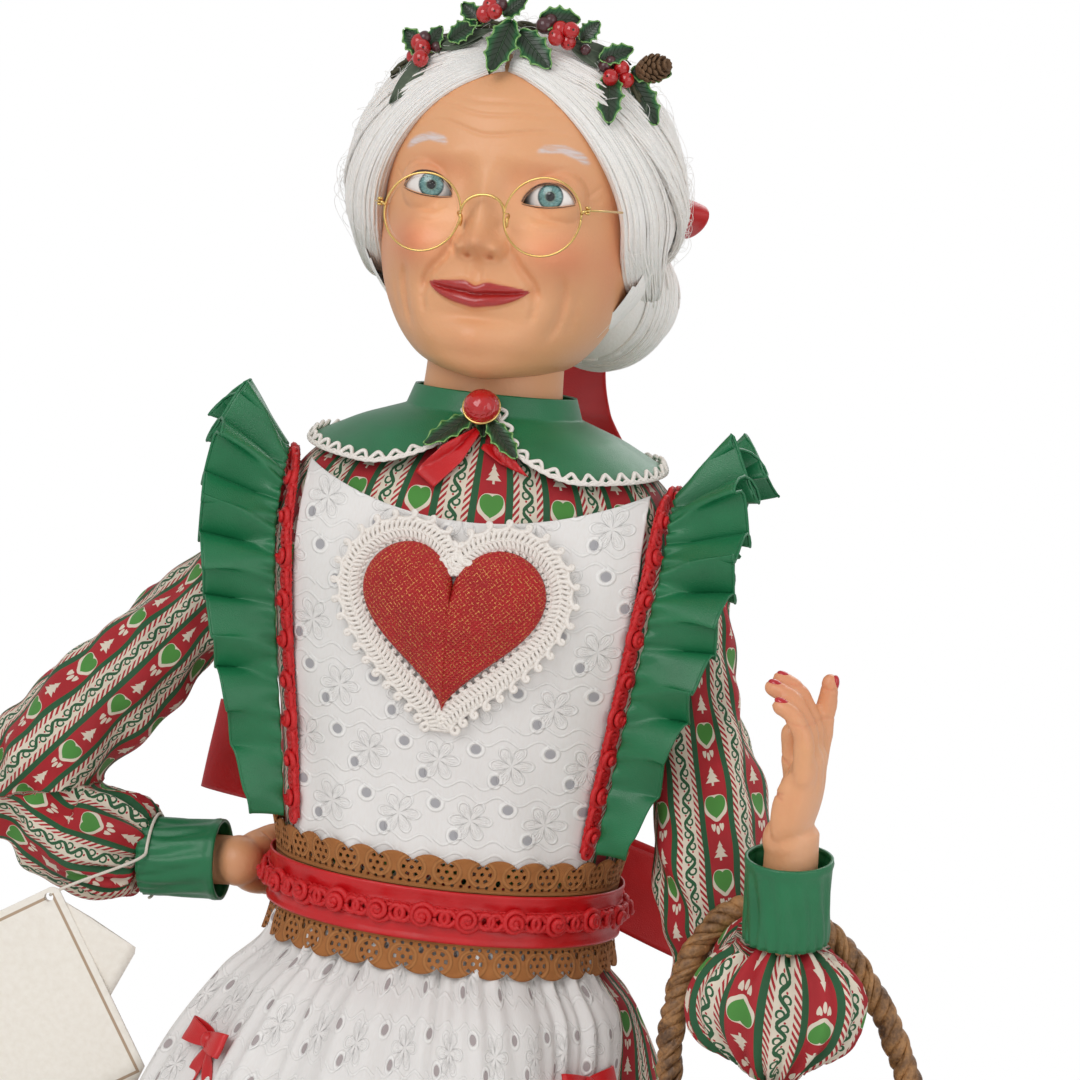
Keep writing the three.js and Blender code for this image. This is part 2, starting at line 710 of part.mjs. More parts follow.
function addWaistband() {
  const rings = (half, grow) => bandRings(half, grow, 2, 24);
  const band = (half, inside, outside) => wall(rings(half, outside), rings(half, inside));
  add("waist_lace", band(LACE_HEIGHT / 2, LACE_IN, LACE_OUT), gingerLace);
  add("waist_ribbon", band(SASH_HEIGHT / 2, SASH_IN, SASH_OUT), redSatin);
  add("waist_braid", band(BRAID_RADIUS, SASH_OUT + 2 * GAP, SASH_OUT + 2 * GAP + BRAID_RADIUS), redBraid);
}

// Bib of the apron and the heart sewn on it

const bibHalfWidth = (share) =>
  BIB_HALF_WIDTH * lerp(0.86, 1, Math.sin(Math.min(1, share * 1.25) * Math.PI * 0.5));

function addBib() {
  const face = (grow) => (u, v) => {
    const side = 2 * u - 1;
    const top = BIB_TOP_RISE - BIB_NECK_DIP * (1 - side ** 2);
    return chestPoint(side * bibHalfWidth(v), WAIST_HEIGHT + lerp(BIB_BOTTOM_RISE, top, v), grow);
  };
  const under = loft(BODICE_HEIGHTS.map((height) => torsoRing(height, BODICE_OUT + GAP)));
  add("apron_bib", cut(slab(face(BIB_OUT), face(BIB_IN), 10, 7), under), eyelet);
}

// The heart's outline as shares of its half width, from the notch round to the notch.
function heartOutline(t) {
  const x = Math.sin(t) ** 3;
  const z = (13 * Math.cos(t) - 5 * Math.cos(2 * t) - 2 * Math.cos(3 * t) - Math.cos(4 * t)) / 16;
  return [x, z];
}

function heartRing(size, grow, spread) {
  const count = 24;
  return Array.from({ length: count }, (_, i) => {
    const [x, z] = heartOutline((i / count) * TURN);
    const reach = size + spread / Math.hypot(x, z + 0.1);
    return chestPoint(x * reach, WAIST_HEIGHT + HEART_RISE + z * reach, grow);
  });
}

function addHeart() {
  const top = HEART_IN + HEART_BRAID_THICKNESS * 0.7;
  const patch = loft([
    heartRing(HEART_SIZE * 0.02, HEART_IN, 0),
    heartRing(HEART_SIZE * 0.5, HEART_IN, 0),
    heartRing(HEART_SIZE, HEART_IN, -GAP),
    heartRing(HEART_SIZE, top, -GAP),
    heartRing(HEART_SIZE * 0.6, top + HEART_CROWN * 0.7, 0),
    heartRing(HEART_SIZE * 0.02, top + HEART_CROWN, 0),
  ]);
  add("heart_patch", patch, sparkle);
  const levels = [HEART_IN, HEART_IN + HEART_BRAID_THICKNESS];
  const rings = (spread) => levels.map((grow) => heartRing(HEART_SIZE, grow, spread));
  add("heart_braid", wall(rings(HEART_BRAID), rings(GAP)), gimp);
}

// Collar: a satin collar round the neck, open at the front, with a scalloped trim on its edge

const COLLAR_TOP = WAIST_HEIGHT + COLLAR_TOP_RISE;

function collarPoint(u, v) {
  const opening = radians(COLLAR_OPENING + COLLAR_SPREAD * v);
  const angle = -Math.PI / 2 + lerp(opening, TURN - opening, u);
  const front = Math.max(0, -Math.sin(angle));
  const height = COLLAR_TOP - (COLLAR_WIDTH + COLLAR_FRONT_DROP * front) * v ** 1.1;
  const grow = lerp(COLLAR_IN, COLLAR_EDGE, Math.min(1, 1.6 * v)) + COLLAR_LIFT * v ** 3;
  const p = torsoPoint(angle, Math.min(height, TORSO_TOP), grow);
  return vec(p.x, p.y, height);
}

function addCollar() {
  add("collar", sheet(collarPoint, 26, 3, CLOTH), greenSatin);
  const edge = [];
  for (let i = 0; i <= 40; i++) {
    const p = collarPoint(lerp(0.006, 0.994, i / 40), 0.95);
    const out = vec(p.x, p.y, 0).normalize();
    edge.push(p.add(vec(0, 0, COLLAR_TRIM_RADIUS + CLOTH)).addScaledVector(out, COLLAR_TRIM_RADIUS * 0.5));
  }
  add("collar_trim", rod(edge, COLLAR_TRIM_RADIUS, 5, 28), gimp);
}

// Holly leaf: a bowed blade with pointed lobes, along +X from its stem

const LEAF_SHARES = [0.12, 1, 0.6, 0.9, 0.05];

function leaf(length, halfWidth) {
  const surface = (u, v) => {
    const place = v * (LEAF_SHARES.length - 1);
    const low = Math.min(Math.floor(place), LEAF_SHARES.length - 2);
    const width = halfWidth * lerp(LEAF_SHARES[low], LEAF_SHARES[low + 1], place - low);
    const side = 2 * u - 1;
    return vec(length * v, width * side, -length * 0.15 * v * v);
  };
  return sheet(surface, 1, LEAF_SHARES.length - 1, THIN_CLOTH);
}

// A frame at a place, with X along a direction and Z as near as can be to a normal.
function frameAt(origin, along, normal) {
  const x = along.clone().normalize();
  const y = normal.clone().cross(x).normalize();
  return new THREE.Matrix4().makeBasis(x, y, x.clone().cross(y)).setPosition(origin);
}

function addBrooch() {
  const seat = collarPoint(0, 0.45);
  const centre = vec(0, seat.y - BROOCH_RADIUS * 0.75, WAIST_HEIGHT + BROOCH_RISE);
  const out = vec(0, -0.86, 0.5);
  const button = ball(centre.clone().addScaledVector(out, BROOCH_RADIUS * 0.95), BROOCH_RADIUS, 10, 6);
  add("brooch_button", button, berry);
  const stem = centre.clone().addScaledVector(out, -BROOCH_RADIUS * 0.46);
  const blades = SIDES.map(({ sign }) =>
    leaf(BROOCH_LEAF, BROOCH_LEAF * 0.33).applyMatrix4(frameAt(stem, vec(sign, -0.33, -0.45), out)),
  );
  add("brooch_leaves", join(ball(stem, BROOCH_RADIUS * 0.4, 7, 5), ...blades), holly);
  const root = stem.clone().add(vec(0, -BROOCH_RADIUS * 0.3, -BROOCH_RADIUS * 1.2));
  const tails = SIDES.map(({ sign }) => {
    const across = vec(1, 0, 0.5 * sign).normalize().multiplyScalar(BROOCH_TAIL_WIDTH);
    const fall = vec(sign * 0.6, -0.45, -0.8).multiplyScalar(BROOCH_TAIL * (sign > 0 ? 1 : 0.8));
    const surface = (u, v) =>
      root.clone().addScaledVector(fall, v).addScaledVector(across, (u - 0.5) * (0.3 + 0.7 * v));
    return sheet(surface, 1, 3, THIN_CLOTH);
  });
  add("brooch_ribbon", join(ball(root, BROOCH_TAIL_WIDTH * 0.2, 6, 5), ...tails), redSatin);
}

// The seam of a shoulder ruffle, at a share of its way from the front waist over the shoulder to the back.
function ruffleRoot(sign, t) {
  const lowest = WAIST_HEIGHT + BIB_BOTTOM_RISE + BRAID_RADIUS + GAP;
  const highest = WAIST_HEIGHT + BIB_TOP_RISE;
  const rising = t < RUFFLE_TOP_SHARE;
  const share = rising ? t / RUFFLE_TOP_SHARE : (t - RUFFLE_TOP_SHARE) / (1 - RUFFLE_TOP_SHARE);
  const climb = rising ? Math.sin(share * Math.PI * 0.5) ** 0.92 : 1 - share ** 1.15;
  const round = rising ? share ** 5 : Math.min(1, share * 3) ** 0.7;
  const turn = rising ? lerp(RUFFLE_FRONT, RUFFLE_TOP, round) : lerp(RUFFLE_TOP, RUFFLE_BACK, round);
  const p = torsoPoint(radians(turn), lerp(lowest, highest, climb), BRAID_OUT + GAP);
  return vec(sign * p.x, p.y, p.z);
}

function rufflePoint(sign, u, t) {
  const swell = Math.sin(Math.PI * Math.min(1, t * 0.97 + 0.03)) ** 0.55;
  const width = RUFFLE_WIDTH * (0.22 + 0.78 * swell);
  const rise = 0.95 * Math.exp(-(((t - 0.53) / 0.16) ** 2));
  const out = vec(sign * 0.85, lerp(-0.45, 0.5, t), rise + 0.1).normalize();
  const along = ruffleRoot(sign, Math.min(1, t + 0.01)).sub(ruffleRoot(sign, Math.max(0, t - 0.01)));
  const normal = out.clone().cross(along).normalize().multiplyScalar(sign);
  return ruffleRoot(sign, t)
    .addScaledVector(out, BRAID_RADIUS + 3 * GAP + width * u)
    .addScaledVector(normal, RUFFLE_WAVE * u * Math.sin(t * TURN * RUFFLE_WAVES) * swell)
    .add(vec(0, 0, -width * 0.1 * u * u));
}

function addRuffle({ name, sign }) {
  const surface = (u, v) => rufflePoint(sign, u, v);
  add(`ruffle_${name}`, sheet(surface, 2, RUFFLE_WAVES * 4, THIN_CLOTH), greenSatin);
  const seam = Array.from({ length: 31 }, (_, i) => ruffleRoot(sign, i / 30));
  add(`ruffle_braid_${name}`, rod(seam, BRAID_RADIUS, 5, 24), redBraid);
}

// Arms: a stuffed core in an upper sleeve, a lower sleeve that turns on the core, a satin cuff and a hand

const LEFT_ELBOW = shoulderPoint(1).addScaledVector(LEFT_WAY, UPPER_ARM);
const RIGHT_ELBOW = shoulderPoint(-1).addScaledVector(RIGHT_WAY, UPPER_ARM);
const LEFT_WRIST = vec(LEFT_WRIST_OUT, -LEFT_WRIST_FORWARD, WAIST_HEIGHT + LEFT_WRIST_RISE);
const RIGHT_WRIST = vec(-RIGHT_WRIST_OUT, RIGHT_WRIST_BACK, WAIST_HEIGHT - RIGHT_WRIST_DROP);
const LEFT_CUFF_WAY = vec(-0.06, -0.16, 1).normalize();
const RIGHT_CUFF_WAY = vec(1, -0.06, 0.08).normalize();
const LEFT_PALM_WAY = vec(-1, 0.18, -0.03).normalize();
const RIGHT_PALM_WAY = vec(0.94, -0.31, 0).normalize();
const RIGHT_HAND_WAY = vec(0.31, 0.94, -0.16).normalize();
const LEFT_CURL_SHARES = [0.1, 0.95, 1.05, 1];
const RIGHT_CURL_SHARES = [0.3, 0.32, 0.34, 0.36];
const FOREARM_SHARES = [
  [0, 0.6],
  [0.3, 0.7],
  [0.65, 1],
  [0.85, 0.95],
  [1, 0.74],
];

// A straight round solid from a place, along a direction.
const bar = (start, way, depth, radius) =>
  rod([start.clone(), start.clone().addScaledVector(way, depth)], radius, 12, 1);

function addUpperArm(name, shoulder, way) {
  const at = (distance) => shoulder.clone().addScaledVector(way, distance);
  const bore = bar(at(-ARM_CORE_RADIUS - GAP), way, UPPER_ARM, ARM_CORE_RADIUS + GAP);
  add(`upper_sleeve_${name}`, cut(upperSleeve(shoulder, way, 0), bore), print);
  const core = bar(at(-ARM_CORE_RADIUS), way, ARM_CORE_RADIUS + UPPER_ARM + PIN_DEPTH, ARM_CORE_RADIUS);
  add(`arm_core_${name}`, core, muslin);
}

// A resin hand on a wrist that runs back down the sleeve: way is where the palm runs, palm is where it faces,
// and curl bends the four fingers.
function hand(wrist, wristWay, way, palm, curl) {
  const edge = way.clone().cross(palm).normalize();
  const at = (along, side, down) =>
    wrist.clone().addScaledVector(way, along).addScaledVector(edge, side).addScaledVector(palm, down);
  const section = (centre, halfWidth, halfDepth) =>
    Array.from({ length: 8 }, (_, k) => {
      const angle = (k / 8) * TURN;
      return centre
        .clone()
        .addScaledVector(edge, halfWidth * Math.cos(angle))
        .addScaledVector(palm, halfDepth * Math.sin(angle));
    });
  const palmBody = loft([
    section(at(0, 0, 0), WRIST_RADIUS * 0.97, WRIST_RADIUS * 0.95),
    section(at(PALM_LENGTH * 0.35, 0, 0), PALM_HALF_WIDTH * 0.86, WRIST_RADIUS * 0.8),
    section(at(PALM_LENGTH * 0.75, 0, 0), PALM_HALF_WIDTH, WRIST_RADIUS * 0.68),
    section(at(PALM_LENGTH, 0, 0), PALM_HALF_WIDTH * 0.93, WRIST_RADIUS * 0.5),
  ]);
  const fingers = FINGER_SHARES.map((share, i) => {
    const side = lerp(-0.72, 0.72, i / 3) * PALM_HALF_WIDTH;
    const length = FINGER_LENGTH * share;
    const bend = curl[i];
    const points = [
      at(PALM_LENGTH * 0.8, side, 0),
      at(PALM_LENGTH + length * 0.35, side, length * 0.12 * bend),
      at(PALM_LENGTH + length * (0.8 - 0.12 * bend), side, length * 0.42 * bend),
      at(PALM_LENGTH + length * (1 - 0.32 * bend), side, length * 0.75 * bend),
    ];
    return limb(points, (t) => FINGER_RADIUS * (1 - 0.3 * t * t), 3, 5);
  });
  const thumb = limb(
    [
      at(PALM_LENGTH * 0.2, -PALM_HALF_WIDTH * 0.5, 0),
      at(PALM_LENGTH * 0.62, -PALM_HALF_WIDTH * 0.95, WRIST_RADIUS * 0.6),
      at(PALM_LENGTH * 0.98, -PALM_HALF_WIDTH * 0.95, WRIST_RADIUS * 1.1),
      at(PALM_LENGTH * 1.25, -PALM_HALF_WIDTH * 0.7, WRIST_RADIUS * 1.4),
    ],
    (t) => FINGER_RADIUS * (1.25 - 0.4 * t),
    3,
    5,
  );
  const stem = bar(wrist, wristWay.clone().negate(), CUFF_LENGTH * 1.4, WRIST_RADIUS);
  return join(ball(wrist, WRIST_RADIUS, 8, 6), stem, palmBody, ...fingers, thumb);
}

// A cuff: a short tube from a place, along a direction.
function cuffWall(start, way) {
  const side = vec(0, 1, 0).cross(way).normalize();
  const across = way.clone().cross(side);
  const rings = (radius) =>
    [0, CUFF_LENGTH].map((along) =>
      Array.from({ length: 16 }, (_, k) => {
        const angle = (k / 16) * TURN;
        return start
          .clone()
          .addScaledVector(way, along)
          .addScaledVector(side, radius * Math.cos(angle))
          .addScaledVector(across, radius * Math.sin(angle));
      }),
    );
  return wall(rings(CUFF_RADIUS), rings(CUFF_RADIUS - CUFF_WALL));
}

// Bores that a lower sleeve needs: one for the arm core and one for the wrist, and a flat end at the cuff.
function fitLowerSleeve(shape, elbow, way, wrist, cuffWay) {
  const coreTop = elbow.clone().addScaledVector(way, -ELBOW_RADIUS - OVERRUN);
  const coreDepth = ELBOW_RADIUS + OVERRUN + PIN_DEPTH + GAP;
  const coreBore = bar(coreTop, way, coreDepth, ARM_CORE_RADIUS + GAP);
  const inside = wrist.clone().addScaledVector(cuffWay, -WRIST_DEPTH);
  const wristBore = bar(inside, cuffWay, WRIST_DEPTH + OVERRUN, WRIST_RADIUS + JOINT_GAP);
  const past = bar(wrist.clone().addScaledVector(cuffWay, -GAP), cuffWay, CUFF_LENGTH, ELBOW_RADIUS * 2);
  return cut(shape, coreBore, wristBore, past);
}

function addCuffAndHand(name, wrist, cuffWay, handWay, palm, curl) {
  add(`cuff_${name}`, cuffWall(wrist, cuffWay), greenSatin);
  const start = wrist.clone().addScaledVector(cuffWay, CUFF_LENGTH + WRIST_RADIUS * 0.6);
  add(`hand_${name}`, hand(start, cuffWay, handWay, palm, curl), resin);
}

function addLeftArm() {
  addUpperArm("left", shoulderPoint(1), LEFT_WAY);
  const centre = LEFT_WRIST.clone().add(vec(0, GAP, -LEFT_PUFF_HALF_HEIGHT));
  const puff = oval(centre, LEFT_PUFF_HALF_WIDTH, LEFT_PUFF_HALF_DEPTH, LEFT_PUFF_HALF_HEIGHT, 12, 8);
  const forearm = limb([LEFT_ELBOW, LEFT_WRIST], () => FOREARM_RADIUS, 1, 12);
  const shape = join(ball(LEFT_ELBOW, ELBOW_RADIUS, 10, 7), forearm, puff);
  const sleeve = fitLowerSleeve(shape, LEFT_ELBOW, LEFT_WAY, LEFT_WRIST, LEFT_CUFF_WAY);
  add("lower_sleeve_left", sleeve, print);
  addCuffAndHand("left", LEFT_WRIST, LEFT_CUFF_WAY, LEFT_CUFF_WAY, LEFT_PALM_WAY, LEFT_CURL_SHARES);
}

function addRightArm() {
  addUpperArm("right", shoulderPoint(-1), RIGHT_WAY);
  const swell = (t) => RIGHT_PUFF_RADIUS * read(FOREARM_SHARES, t)[0];
  const middle = RIGHT_ELBOW.clone().lerp(RIGHT_WRIST, 0.5).add(vec(0, 0, -FOREARM_RADIUS * 0.3));
  const body = limb([RIGHT_ELBOW, middle, RIGHT_WRIST], swell, 6, 12);
  const shape = join(ball(RIGHT_ELBOW, ELBOW_RADIUS, 10, 7), body);
  const sleeve = fitLowerSleeve(shape, RIGHT_ELBOW, RIGHT_WAY, RIGHT_WRIST, RIGHT_CUFF_WAY);
  add("lower_sleeve_right", sleeve, print);
  addCuffAndHand("right", RIGHT_WRIST, RIGHT_CUFF_WAY, RIGHT_HAND_WAY, RIGHT_PALM_WAY, RIGHT_CURL_SHARES);
}

// Head and everything worn on it, in a group at the head's middle

const head = new THREE.Group();
head.position.set(HEAD_SHIFT, 0, WAIST_HEIGHT + HEAD_RISE);
head.rotation.z = radians(HEAD_TURN);
doll.add(head);
const NECK_BOTTOM = TORSO_TOP + GAP - WAIST_HEIGHT - HEAD_RISE;
const HEAD_SHARES = [
  [-1, 0.2, 0.66, 0.1],
  [-0.93, 0.44, 0.86, 0.3],
  [-0.8, 0.62, 0.92, 0.5],
  [-0.6, 0.79, 0.95, 0.68],
  [-0.35, 0.92, 0.97, 0.85],
  [0, 1, 0.98, 0.97],
  [0.3, 1.02, 0.97, 1],
  [0.6, 0.92, 0.88, 0.92],
  [0.82, 0.68, 0.65, 0.7],
  [0.95, 0.38, 0.36, 0.4],
  [1, 0.1, 0.1, 0.1],
];

function headPoint(angle, height, grow) {
  const [width, front, back] = read(HEAD_SHARES, height / HEAD_HALF_HEIGHT);
  const depth = HEAD_HALF_DEPTH * (Math.sin(angle) < 0 ? front : back);
  return vec((HEAD_HALF_WIDTH * width + grow) * Math.cos(angle), (depth + grow) * Math.sin(angle), height);
}

// The skull and neck grown by a distance, with the top and chin moved out by the same.
function skull(grow) {
  const rings = HEAD_SHARES.map(([share]) => {
    const height = share * HEAD_HALF_HEIGHT;
    const ring = Array.from({ length: 14 }, (_, i) => headPoint((i / 14 - 0.25) * TURN, height, grow));
    return ring.map((p) => p.add(vec(0, 0, share * grow)));
  });
  return join(loft(rings), cylinder(NECK_RADIUS + grow, NECK_BOTTOM, -HEAD_HALF_HEIGHT * 0.4, 16));
}

const eyePlace = (sign, grow) => ball(vec(sign * EYE_SPACING, -EYE_FORWARD, 0), EYE_RADIUS + grow, 9, 6);

function addHead() {
  const bridge = vec(0, -HEAD_HALF_DEPTH * 0.95, -HEAD_HALF_HEIGHT * 0.28);
  const nose = oval(bridge, NOSE_HALF_WIDTH, NOSE_REACH, NOSE_HALF_HEIGHT, 10, 6);
  const mouth = vec(0, -HEAD_HALF_DEPTH * 0.9, -HEAD_HALF_HEIGHT * 0.58);
  const lips = oval(mouth, LIP_HALF_WIDTH, NOSE_REACH * 0.5, NOSE_HALF_HEIGHT * 0.4, 10, 6);
  const peg = cylinder(PEG_RADIUS, NECK_BOTTOM - PEG_LENGTH, NECK_BOTTOM + OVERRUN, 14);
  const shape = join(skull(0), nose, lips, peg);
  add("head", cut(shape, ...SIDES.map(({ sign }) => eyePlace(sign, GAP))), resin, head);
  SIDES.forEach(({ name, sign }) => add(`eye_${name}`, eyePlace(sign, 0), glass, head));
}

const WIG_SHARES = [
  [0, 0.66, 0.5, 0.75],
  [0.15, 0.86, 0.62, 0.9],
  [0.37, 1, 0.84, 1],
  [0.52, 0.98, 0.93, 0.99],
  [0.68, 0.88, 0.9, 0.92],
  [0.82, 0.7, 0.76, 0.76],
  [0.93, 0.44, 0.5, 0.5],
  [1, 0.12, 0.14, 0.12],
];

function wigPoint(angle, share, grow) {
  const [width, front, back] = read(WIG_SHARES, share);
  const depth = WIG_HALF_DEPTH * (Math.sin(angle) < 0 ? front : back);
  return vec(
    (WIG_HALF_WIDTH * width + grow) * Math.cos(angle),
    WIG_SETBACK + (depth + grow) * Math.sin(angle),
    lerp(-WIG_BOTTOM, WIG_TOP, share) + (2 * share - 1) * grow,
  );
}

const wigRing = (share, grow) => Array.from({ length: 16 }, (_, i) => wigPoint((i / 16) * TURN, share, grow));
const wigShape = (grow) => loft(WIG_SHARES.map(([share]) => wigRing(share, grow)));

function addHair() {
  const outline = new THREE.Shape();
  outline.moveTo(-FACE_HALF_WIDTH, -WIG_BOTTOM - OVERRUN);
  outline.lineTo(-FACE_HALF_WIDTH, 0);
  outline.absellipse(0, 0, FACE_HALF_WIDTH, FACE_TOP, Math.PI, 0, true);
  outline.lineTo(FACE_HALF_WIDTH, -WIG_BOTTOM - OVERRUN);
  const depth = WIG_HALF_DEPTH * 2;
  const face = new THREE.ExtrudeGeometry(outline, { depth, bevelEnabled: false, curveSegments: 16 });
  face.rotateX(Math.PI / 2).translate(0, -FACE_SETBACK, 0);
  add("wig", cut(wigShape(0), skull(GAP), face), hair, head);
  const middle = vec(BUN_SIDE, BUN_BACK, -BUN_DROP);
  const bun = oval(middle, BUN_RADIUS, BUN_RADIUS * 0.9, BUN_RADIUS * 0.9, 14, 9);
  add("bun", cut(bun, wigShape(GAP), skull(GAP)), hair, head);
}

// One loop of a bow: a ribbon that leaves its root, rounds a tip and comes back.
function bowLoop(root, reach, fullness, width, steps) {
  const across = reach.clone().cross(fullness).normalize();
  const surface = (u, v) => {
    const angle = lerp(0.12, TURN - 0.12, v);
    return root
      .clone()
      .addScaledVector(reach, (1 - Math.cos(angle)) / 2)
      .addScaledVector(fullness, Math.sin(angle))
      .addScaledVector(across, (u - 0.5) * width * (0.4 + 0.6 * Math.sin(angle / 2)));
  };
  return sheet(surface, 1, steps, THIN_CLOTH);
}

function addHairBow() {
  const root = vec(HAIR_BOW_SIDE, HAIR_BOW_BACK, HAIR_BOW_RISE);
  const fullness = vec(0, 0, HAIR_BOW_WIDTH * 0.5);
  const right = bowLoop(root, vec(HAIR_LOOP * 0.6, -HAIR_LOOP * 0.78, 0), fullness, HAIR_BOW_WIDTH, 7);
  const left = bowLoop(root, vec(-HAIR_LOOP * 0.8, HAIR_LOOP * 0.55, 0), fullness, HAIR_BOW_WIDTH, 7);
  const knot = HAIR_BOW_WIDTH * 0.28;
  const tail = (u, v) => {
    const back = knot * 0.5 + HAIR_BOW_WIDTH * Math.sin(v * Math.PI * 0.6);
    const across = vec((u - 0.5) * HAIR_BOW_WIDTH, (0.5 - u) * HAIR_BOW_WIDTH * 0.4, 0);
    const fall = vec(0, back, -knot * 0.5 - HAIR_TAIL_LENGTH * v);
    return root.clone().add(fall).addScaledVector(across, 0.4 + 0.6 * v);
  };
  add("hair_bow", join(ball(root, knot, 6, 5), left, right, sheet(tail, 1, 6, THIN_CLOTH)), redSatin, head);
}

// Spectacles: wire rims and bridge in one piece, a lens in each rim, and a temple to each side

function addSpectacles() {
  const plane = vec(0, -LENS_FORWARD, -LENS_DROP);
  const reach = LENS_RADIUS + RIM_WIRE;
  const rims = SIDES.map(({ sign }) => {
    const rim = new THREE.TorusGeometry(reach, RIM_WIRE, 4, 16).rotateX(Math.PI / 2);
    return rim.translate(sign * LENS_SPACING, plane.y, plane.z);
  });
  const inner = LENS_SPACING - reach;
  const bridge = rod(
    [
      plane.clone().add(vec(-inner, 0, 0)),
      plane.clone().add(vec(-inner * 0.55, 0, BRIDGE_RISE)),
      plane.clone().add(vec(inner * 0.55, 0, BRIDGE_RISE)),
      plane.clone().add(vec(inner, 0, 0)),
    ],
    RIM_WIRE,
    4,
    6,
  );
  const outer = LENS_SPACING + reach;
  const blocks = SIDES.map(({ sign }) =>
    new THREE.BoxGeometry(HINGE_BLOCK, HINGE_BLOCK * 0.8, HINGE_BLOCK).translate(
      sign * (outer + HINGE_BLOCK * 0.45),
      plane.y,
      plane.z + HINGE_BLOCK,
    ),
  );
  const stems = SIDES.map(({ sign }) => {
    const low = plane.clone().add(vec(sign * outer, 0, 0));
    const high = plane.clone().add(vec(sign * (outer + HINGE_BLOCK * 0.3), 0, HINGE_BLOCK));
    return rod([low, high], RIM_WIRE, 4, 1);
  });
  add("spectacles_frame", join(...rims, bridge, ...blocks, ...stems), gold, head);
  SIDES.forEach(({ name, sign }) => {
    const lens = cylinder(LENS_RADIUS - 2 * GAP, -LENS_THICKNESS / 2, LENS_THICKNESS / 2, 16);
    lens.rotateX(Math.PI / 2).translate(sign * LENS_SPACING, plane.y, plane.z);
    add(`lens_${name}`, lens, lensGlass, head);
    const across = sign * (outer + HINGE_BLOCK * 0.6);
    const start = vec(across, plane.y + HINGE_BLOCK * 0.4 + GAP, plane.z + HINGE_BLOCK);
    const skin = headPoint(-TEMPLE_ANGLE, start.z, 0);
    add(`temple_${name}`, rod([start, vec(sign * skin.x, skin.y, skin.z)], RIM_WIRE, 6, 1), gold, head);
  });
}

// Wreath: a vine over the front of the wig with holly leaves, and berries in clusters

// A place on the hair's upper front, at an angle from the top towards +X, and a distance above the hair.
function crownPoint(angle, above) {
  let low = 0;
  let high = 2;
  const direction = vec(Math.sin(angle), 0, Math.cos(angle));
  const radiusIn = (p) => {
    const share = (p.z + WIG_BOTTOM) / (WIG_TOP + WIG_BOTTOM);
    const [width, front] = read(WIG_SHARES, share);
    return Math.hypot(p.x / (WIG_HALF_WIDTH * width), (p.y - WIG_SETBACK) / (WIG_HALF_DEPTH * front));
  };
  for (let i = 0; i < 24; i++) {
    const middle = (low + high) / 2;
    const p = direction.clone().multiplyScalar(WIG_TOP * middle).setY(-WREATH_FORWARD);
    if (p.z < WIG_TOP && radiusIn(p) < 1) low = middle;
    else high = middle;
  }
  return direction.multiplyScalar(WIG_TOP * low + above).setY(-WREATH_FORWARD - above * 0.4);
}

function addWreath() {
  const reach = radians(WREATH_REACH);
  const vineAt = (share) => crownPoint(share * reach, VINE_RADIUS);
  const vine = Array.from({ length: 17 }, (_, i) => vineAt(i / 8 - 1));
  const leaves = Array.from({ length: WREATH_LEAVES }, (_, i) => {
    const share = (2 * i) / (WREATH_LEAVES - 1) - 1;
    const angle = share * reach;
    const out = vec(Math.sin(angle), -0.35, Math.cos(angle));
    const side = i % 2 === 0 ? 1 : -1;
    const along = vec(Math.cos(angle) * Math.sign(angle || 1), -side, -Math.sin(Math.abs(angle)));
    along.addScaledVector(out, 0.5);
    return leaf(LEAF_LENGTH, LEAF_HALF_WIDTH).applyMatrix4(frameAt(vineAt(share), along, out));
  });
  add("wreath_holly", join(rod(vine, VINE_RADIUS, 4, 14), ...leaves), holly, head);
  BERRY_PLACES.forEach(({ name, share, lift }) => {
    const angle = share * reach;
    const out = vec(Math.sin(angle), -0.35, Math.cos(angle)).normalize();
    const centre = crownPoint(angle, 0).addScaledVector(out, VINE_RADIUS * 2 + BERRY_RADIUS * lift);
    const along = vec(Math.cos(angle), 0, -Math.sin(angle));
    const berries = [-1, 0, 1].map((k) => {
      const place = centre.clone().addScaledVector(along, k * BERRY_RADIUS * 1.5);
      return ball(place.setY(place.y - (k === 0 ? BERRY_RADIUS : 0)), BERRY_RADIUS, 7, 5);
    });
    add(`berries_${name}`, join(...berries), berry, head);
  });
}

// Basket: an oval bowl with a rolled rim, and a handle that rises from inside the rim

const FOREARM_WAY = LEFT_WRIST.clone().sub(LEFT_ELBOW).normalize();
const HANDLE_PIVOT = LEFT_ELBOW.clone().lerp(LEFT_WRIST, HANDLE_SHARE);

function basketMatrix() {
  const lean = radians(BASKET_LEAN);
  const up = vec(-Math.sin(lean), 0, Math.cos(lean));
  const out = vec(Math.cos(lean), 0, Math.sin(lean));
  const slope = up.dot(FOREARM_WAY) / FOREARM_WAY.y;
  const steep = Math.sqrt(1 + slope ** 2);
  const top = (FOREARM_RADIUS + HANDLE_RADIUS + 2 * GAP) * steep;
  const origin = HANDLE_PIVOT.clone().addScaledVector(up, top - HANDLE_HEIGHT);
  origin.addScaledVector(out, HANDLE_SLIP);
  return new THREE.Matrix4().makeBasis(out, vec(0, 1, 0), up).setPosition(origin);
}

const BASKET_SHARES = [
  [0, 0.72],
  [0.12, 0.82],
  [0.5, 0.93],
  [1, 1],
];

